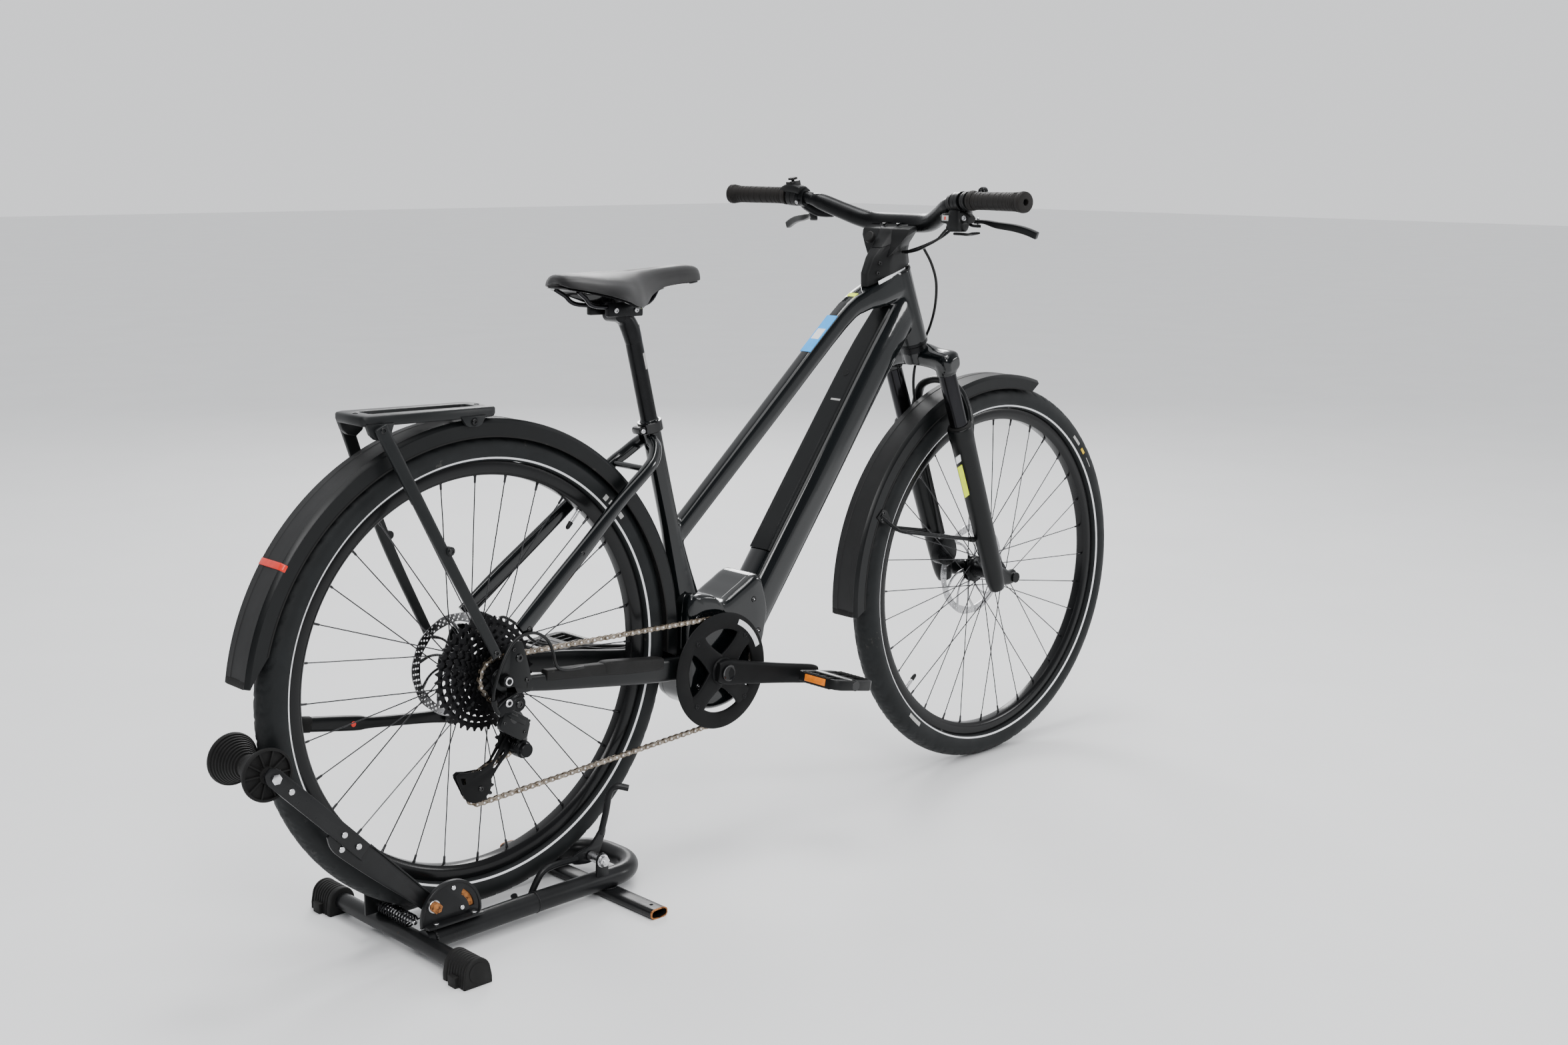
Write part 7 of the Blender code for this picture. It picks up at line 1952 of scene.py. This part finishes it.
def right_controls():
    pod = tube([(0.8462, -0.1808, 0.6905), (0.8468, -0.1811, 0.685), (0.848, -0.1815, 0.67),
                (0.8484, -0.1818, 0.66), (0.8485, -0.182, 0.652)],
               [(0.0085, 0.011), (0.0115, 0.014), (0.015, 0.017), (0.0146, 0.0166), (0.011, 0.014)],
               ACROSS, 40, 3.5, 6, 0.0016)
    collar = clamp_band(-1, 0.166, 0.011, 0.016)
    nose = tube([(0.848, -0.185, 0.6735), (0.847, -0.17, 0.6738), (0.8475, -0.157, 0.6735),
                 (0.849, -0.15, 0.6725)],
                [(0.0105, 0.0135), (0.0105, 0.013), (0.0085, 0.011), (0.006, 0.0085)], (1, 0, 0), 32, 3.5,
                5, 0.0014)
    shoulder = tube([(0.848, -0.188, 0.679), (0.845, -0.205, 0.676), (0.843, -0.216, 0.672)],
                    [(0.008, 0.011), (0.008, 0.01), (0.006, 0.008)], (1, 0, 0), 32, 3.5, 5, 0.0014)
    spout = tube([(0.848, -0.172, 0.664), (0.8495, -0.164, 0.66), (0.85, -0.158, 0.657)], (0.0044, 0.0044),
                 (1, 0, 0), 20, 2, 4, 0.0008)
    piece("shifter_pod", merge(pod, collar, nose, shoulder, spout), "steering", "plastic")
    window = tube([(0.834, -0.173, 0.674), (0.834, -0.159, 0.674)], (0.0046, 0.0016), (1, 0, 0), 20, 4, 1,
                  0.0006)
    piece("shifter_window", window, "steering", "grey_label")
    pointer = block((0.8318, -0.168, 0.6712), (0.833, -0.1655, 0.6768))
    piece("shifter_pointer", pointer, "steering", "red", bevel=0.0002)
    piece("shifter_screw", bolt((0.8355, -0.206, 0.675), (-1, -0.3, 0), 0.0042, 0.002), "steering", "steel")
    base = bar_point(-1, 0.2075)
    striker_end = Vector((0.86, -0.2235, 0.718))
    arm = tube([base + Vector((0.01, 0, 0.009)), base + Vector((0.016, -0.006, 0.012)), striker_end],
               [(0.0035, 0.005), (0.003, 0.0045), (0.003, 0.0045)], ACROSS, 16, 3, 4, 0.001)
    stalk = merge(clamp_band(-1, 0.202, 0.01, 0.0155), arm)
    piece("bell_mount", stalk, "steering", "plastic")
    dome = lathe([(0.0012, 0), (0.0012, 0.0008), (0.003, 0.0012), (0.0074, 0.0008), (0.0084, 0.002),
                  (0.0086, 0.005), (0.0082, 0.0095), (0.007, 0.0106), (0.0003, 0.0108)], 40,
                 striker_end + Vector((-0.006, 0, 0)), (1, -0.15, 0.1))
    piece("bell_dome", dome, "steering", "gloss_part", angle=25)
    paddle = tube([(0.85, -0.176, 0.6485), (0.85, -0.19, 0.6484), (0.85, -0.205, 0.648),
                   (0.842, -0.226, 0.651)],
                  [(0.0024, 0.007), (0.0024, 0.0066), (0.0024, 0.007), (0.0022, 0.0095)],
                  (1, 0, 0), 24, 3, 6, 0.001)
    piece("shift_paddle", paddle, "shifter", "plastic", ["shift_lever"])


def left_controls():
    top = Vector((0.8375, 0.203, 0.73))
    press = Vector((-0.2, 0, 0.98)).normalized()
    band = clamp_band(1, 0.1935, 0.019, 0.0172)
    body = tube([top - press * 0.016, top - press * 0.008, top],
                [(0.011, 0.0095), (0.0122, 0.0107), (0.012, 0.0105)], ACROSS, 32, 3.5, 4, 0.0012)
    piece("remote_body", merge(band, body), "steering", "plastic")
    key = tube([top + press * 0.0024, top + press * 0.006], (0.008, 0.007), ACROSS, 28, 3, 1, 0.0008)
    piece("remote_key", key, "button", "rubber", ["remote_button"])
    post = disc(top - press * 0.001, top + press * 0.0024, 0.0028)
    piece("remote_key_post", post, "steering", "anodised")
    saddle_part = tube([(0.84, 0.179, 0.713), (0.839, 0.195, 0.716), (0.8385, 0.212, 0.716),
                        (0.838, 0.229, 0.711)],
                       [(0.0075, 0.0125), (0.0085, 0.0135), (0.0085, 0.0135), (0.0055, 0.011)],
                       (1, 0, 0), 32, 3.5, 5, 0.0014)
    piece("remote_shell", saddle_part, "steering", "plastic")
    piece("remote_screw", bolt((0.829, 0.183, 0.693), (-0.9, 0, -0.4), 0.0034, 0.0026), "steering", "steel")


piece("handlebar_tube", handlebar(), "steering", "anodised", ["handlebar"])
stem()
for hand, hand_name in ((-1, "right"), (1, "left")):
    piece("grip_sleeve_" + hand_name, grip(hand), "steering", "grip", ["grip_" + hand_name],
          angle=28)
    brake_control(hand)
    brake_lever(hand)
right_controls()
left_controls()



# ---- Labels, plain ones only ----
def label(name, outline, finish, body="bicycle", thick=0.0005):
    """Thin plate on a flat face; outline is its corners in order, and it stands thick off that face."""
    corners = [Vector(p) for p in outline]
    normal = (corners[1] - corners[0]).cross(corners[2] - corners[1]).normalized()
    plate = loft([[p - normal * 0.0012 for p in corners], [p + normal * thick for p in corners]])
    piece(name, plate, body, finish, angle=20)


def on_top_tube(x, side):
    """Point on the upper face of the top tube."""
    low, high = Vector(TOP_TUBE_LOW), Vector(TOP_TUBE_HIGH)
    along = (high - low).normalized()
    share = (x - low.x) / along.x
    return low + along * share + Vector((-along.z, 0, along.x)) * 0.01695 + ACROSS * side


def top_tube_field(low, high, half):
    """Corners of a field on the top tube's upper face, from low to high and half wide to each side."""
    return [on_top_tube(high, -half), on_top_tube(high, half), on_top_tube(low, half),
            on_top_tube(low, -half)]


label("top_tube_label", top_tube_field(0.688, 0.752, 0.0118), "blue_label")
label("top_tube_label_field", top_tube_field(0.71, 0.728, 0.009), "white_label", thick=0.0008)


def narrow_label(name, start, end, across, half, finish, body="bicycle"):
    """Label from start to end; across is its width direction, turned so that the face looks outward."""
    start, end, across = Vector(start), Vector(end), Vector(across).normalized() * half
    label(name, [start - across, end - across, end + across, start + across], finish, body)


narrow_label("top_tube_tab", (0.779, -0.0004, 0.5318), (0.7925, -0.0004, 0.5402), (0, -1, 0), 0.01,
             "yellow_label")
narrow_label("battery_lid_mark", (0.747, 0.004, 0.36), (0.747, -0.018, 0.36), (0.574, 0, 0.819), 0.0018,
             "grey_label")
narrow_label("stem_base_line", (0.83, -0.0234, 0.559), (0.899, -0.0208, 0.5825), (-0.32, 0, 0.95), 0.003,
             "white_label", "steering")
narrow_label("fork_leg_sticker_top", (0.9975, -0.0752, 0.248), (1.0012, -0.0752, 0.236), (0.92, 0, 0.39),
             0.0062, "white_label", "fork_slider")
narrow_label("fork_leg_sticker_low", (1.0035, -0.0752, 0.229), (1.027, -0.0758, 0.172), (0.92, 0, 0.39),
             0.0062, "yellow_label", "fork_slider")


# ---- Cables ----
front_hose = wire([steer(0.672, 0.036, -0.044), steer(0.64, 0.044, -0.046), steer(0.6, 0.051, -0.04),
                   steer(0.555, 0.049, -0.026), steer(0.515, 0.044, -0.006), steer(0.478, 0.038, 0.02),
                   steer(0.44, 0.024, 0.035), steer(0.4, 0.011, 0.0385), steer(0.34, 0.005, 0.039),
                   steer(0.22, 0.002, 0.04), steer(0.15, 0.0, 0.0385), steer(0.106, -0.003, 0.036)],
                  0.0025, 18)
hose_line = piece("front_hose_line", front_hose, None, "cord", ["front_brake_hose"])
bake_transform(hose_line)
brake_line = wire([(0.8955, -0.142, 0.673), (0.9, -0.125, 0.656), (0.896, -0.1, 0.638),
                   (0.89, -0.07, 0.624), (0.8855, -0.04, 0.614), (0.884, -0.0262, 0.612)], 0.0025, 18)
shift_line = wire([(0.85, -0.16, 0.658), (0.851, -0.15, 0.651), (0.856, -0.13, 0.637),
                   (0.864, -0.1, 0.626), (0.874, -0.07, 0.617), (0.8825, -0.04, 0.612),
                   (0.885, -0.03, 0.6118)], 0.0022, 18)
left_line = wire([(0.893, 0.142, 0.6737), (0.903, 0.122, 0.664), (0.912, 0.09, 0.653),
                  (0.911, 0.056, 0.646), (0.896, 0.031, 0.643)], 0.0024, 18)
piece("handlebar_cables", merge(brake_line, shift_line, left_line), "steering", "cord",
      ["control_cables"])


# ---- Floor, light and camera ----
FLOOR_HALF = 30
CAMERA_AIM = Vector((0.0775, 0.0043, 0.5264))
CAMERA_DISTANCE = 3.2235
AZIMUTH, ELEVATION, ROLL = (math.radians(a) for a in (-44.205, 11.123, 0.356))
LAMPS = (("key", (-2.4, -3.4, 3.0), 1.6, 110.0), ("rim", (2.6, 3.2, 2.8), 1.4, 90.0),
         ("side", (3.2, -2.8, 1.6), 0.9, 40.0), ("top", (0.2, 0.2, 3.4), 1.2, 60.0))


def ground():
    mesh = bpy.data.meshes.new("floor")
    corners = [(-FLOOR_HALF, -FLOOR_HALF, 0), (FLOOR_HALF, -FLOOR_HALF, 0), (FLOOR_HALF, FLOOR_HALF, 0),
               (-FLOOR_HALF, FLOOR_HALF, 0)]
    mesh.from_pydata(corners, [], [(0, 1, 2, 3)])
    mesh.materials.append(look("floor_finish", (0.78, 0.785, 0.79), 0.7, spread=0.015, scale=3))
    linked("floor", mesh)


def surroundings():
    """Soft light from all round, fading to a darker grey behind the viewer so that black parts stay black."""
    world = bpy.data.worlds.new("studio")
    world.use_nodes = True
    nodes, links = world.node_tree.nodes, world.node_tree.links
    direction = nodes.new("ShaderNodeTexCoord")
    facing = nodes.new("ShaderNodeVectorMath")
    facing.operation = "DOT_PRODUCT"
    facing.inputs[1].default_value = (-0.69, -0.7, 0.16)
    shade = nodes.new("ShaderNodeValToRGB")
    shade.color_ramp.interpolation = "EASE"
    shade.color_ramp.elements[0].color = (0.97, 0.98, 1.0, 1)
    shade.color_ramp.elements[0].position = 0.3
    shade.color_ramp.elements[1].color = (0.2, 0.205, 0.22, 1)
    shade.color_ramp.elements[1].position = 0.72
    half_way = nodes.new("ShaderNodeMapRange")
    half_way.inputs["From Min"].default_value = -1.0
    links.new(direction.outputs["Generated"], facing.inputs[0])
    links.new(facing.outputs["Value"], half_way.inputs["Value"])
    links.new(half_way.outputs["Result"], shade.inputs["Fac"])
    links.new(shade.outputs["Color"], nodes["Background"].inputs["Color"])
    nodes["Background"].inputs["Strength"].default_value = 1.12
    bpy.context.scene.world = world


def lamps():
    """A wide sun from above and four square lamps aimed at the middle of the object."""
    low, high = CAD_BOX
    centre = (low + high) / 2
    sun = bpy.data.lights.new("sky", "SUN")
    sun.energy = 1.7
    sun.angle = math.radians(50)
    linked("sky", sun).rotation_euler = (math.radians(18), math.radians(-14), 0)
    for name, place, size, power in LAMPS:
        data = bpy.data.lights.new(name, "AREA")
        data.size = size
        data.energy = power
        lamp = linked(name, data)
        lamp.location = place
        lamp.rotation_mode = "QUATERNION"
        lamp.rotation_quaternion = (centre - Vector(place)).to_track_quat("-Z", "Y")


def viewpoint():
    data = bpy.data.cameras.new("camera")
    data.sensor_width = 36.0
    data.lens = 43.24
    data.clip_start, data.clip_end = 0.05, 100.0
    camera = linked("camera", data)
    back = Vector((math.sin(AZIMUTH) * math.cos(ELEVATION), -math.cos(AZIMUTH) * math.cos(ELEVATION),
                   math.sin(ELEVATION)))
    turn = Matrix.Rotation(ROLL, 4, "Z").to_quaternion()
    camera.rotation_mode = "QUATERNION"
    camera.rotation_quaternion = (-back).to_track_quat("-Z", "Y") @ turn
    camera.location = CAMERA_AIM + back * CAMERA_DISTANCE
    bpy.context.scene.camera = camera


ground()
surroundings()
lamps()
viewpoint()
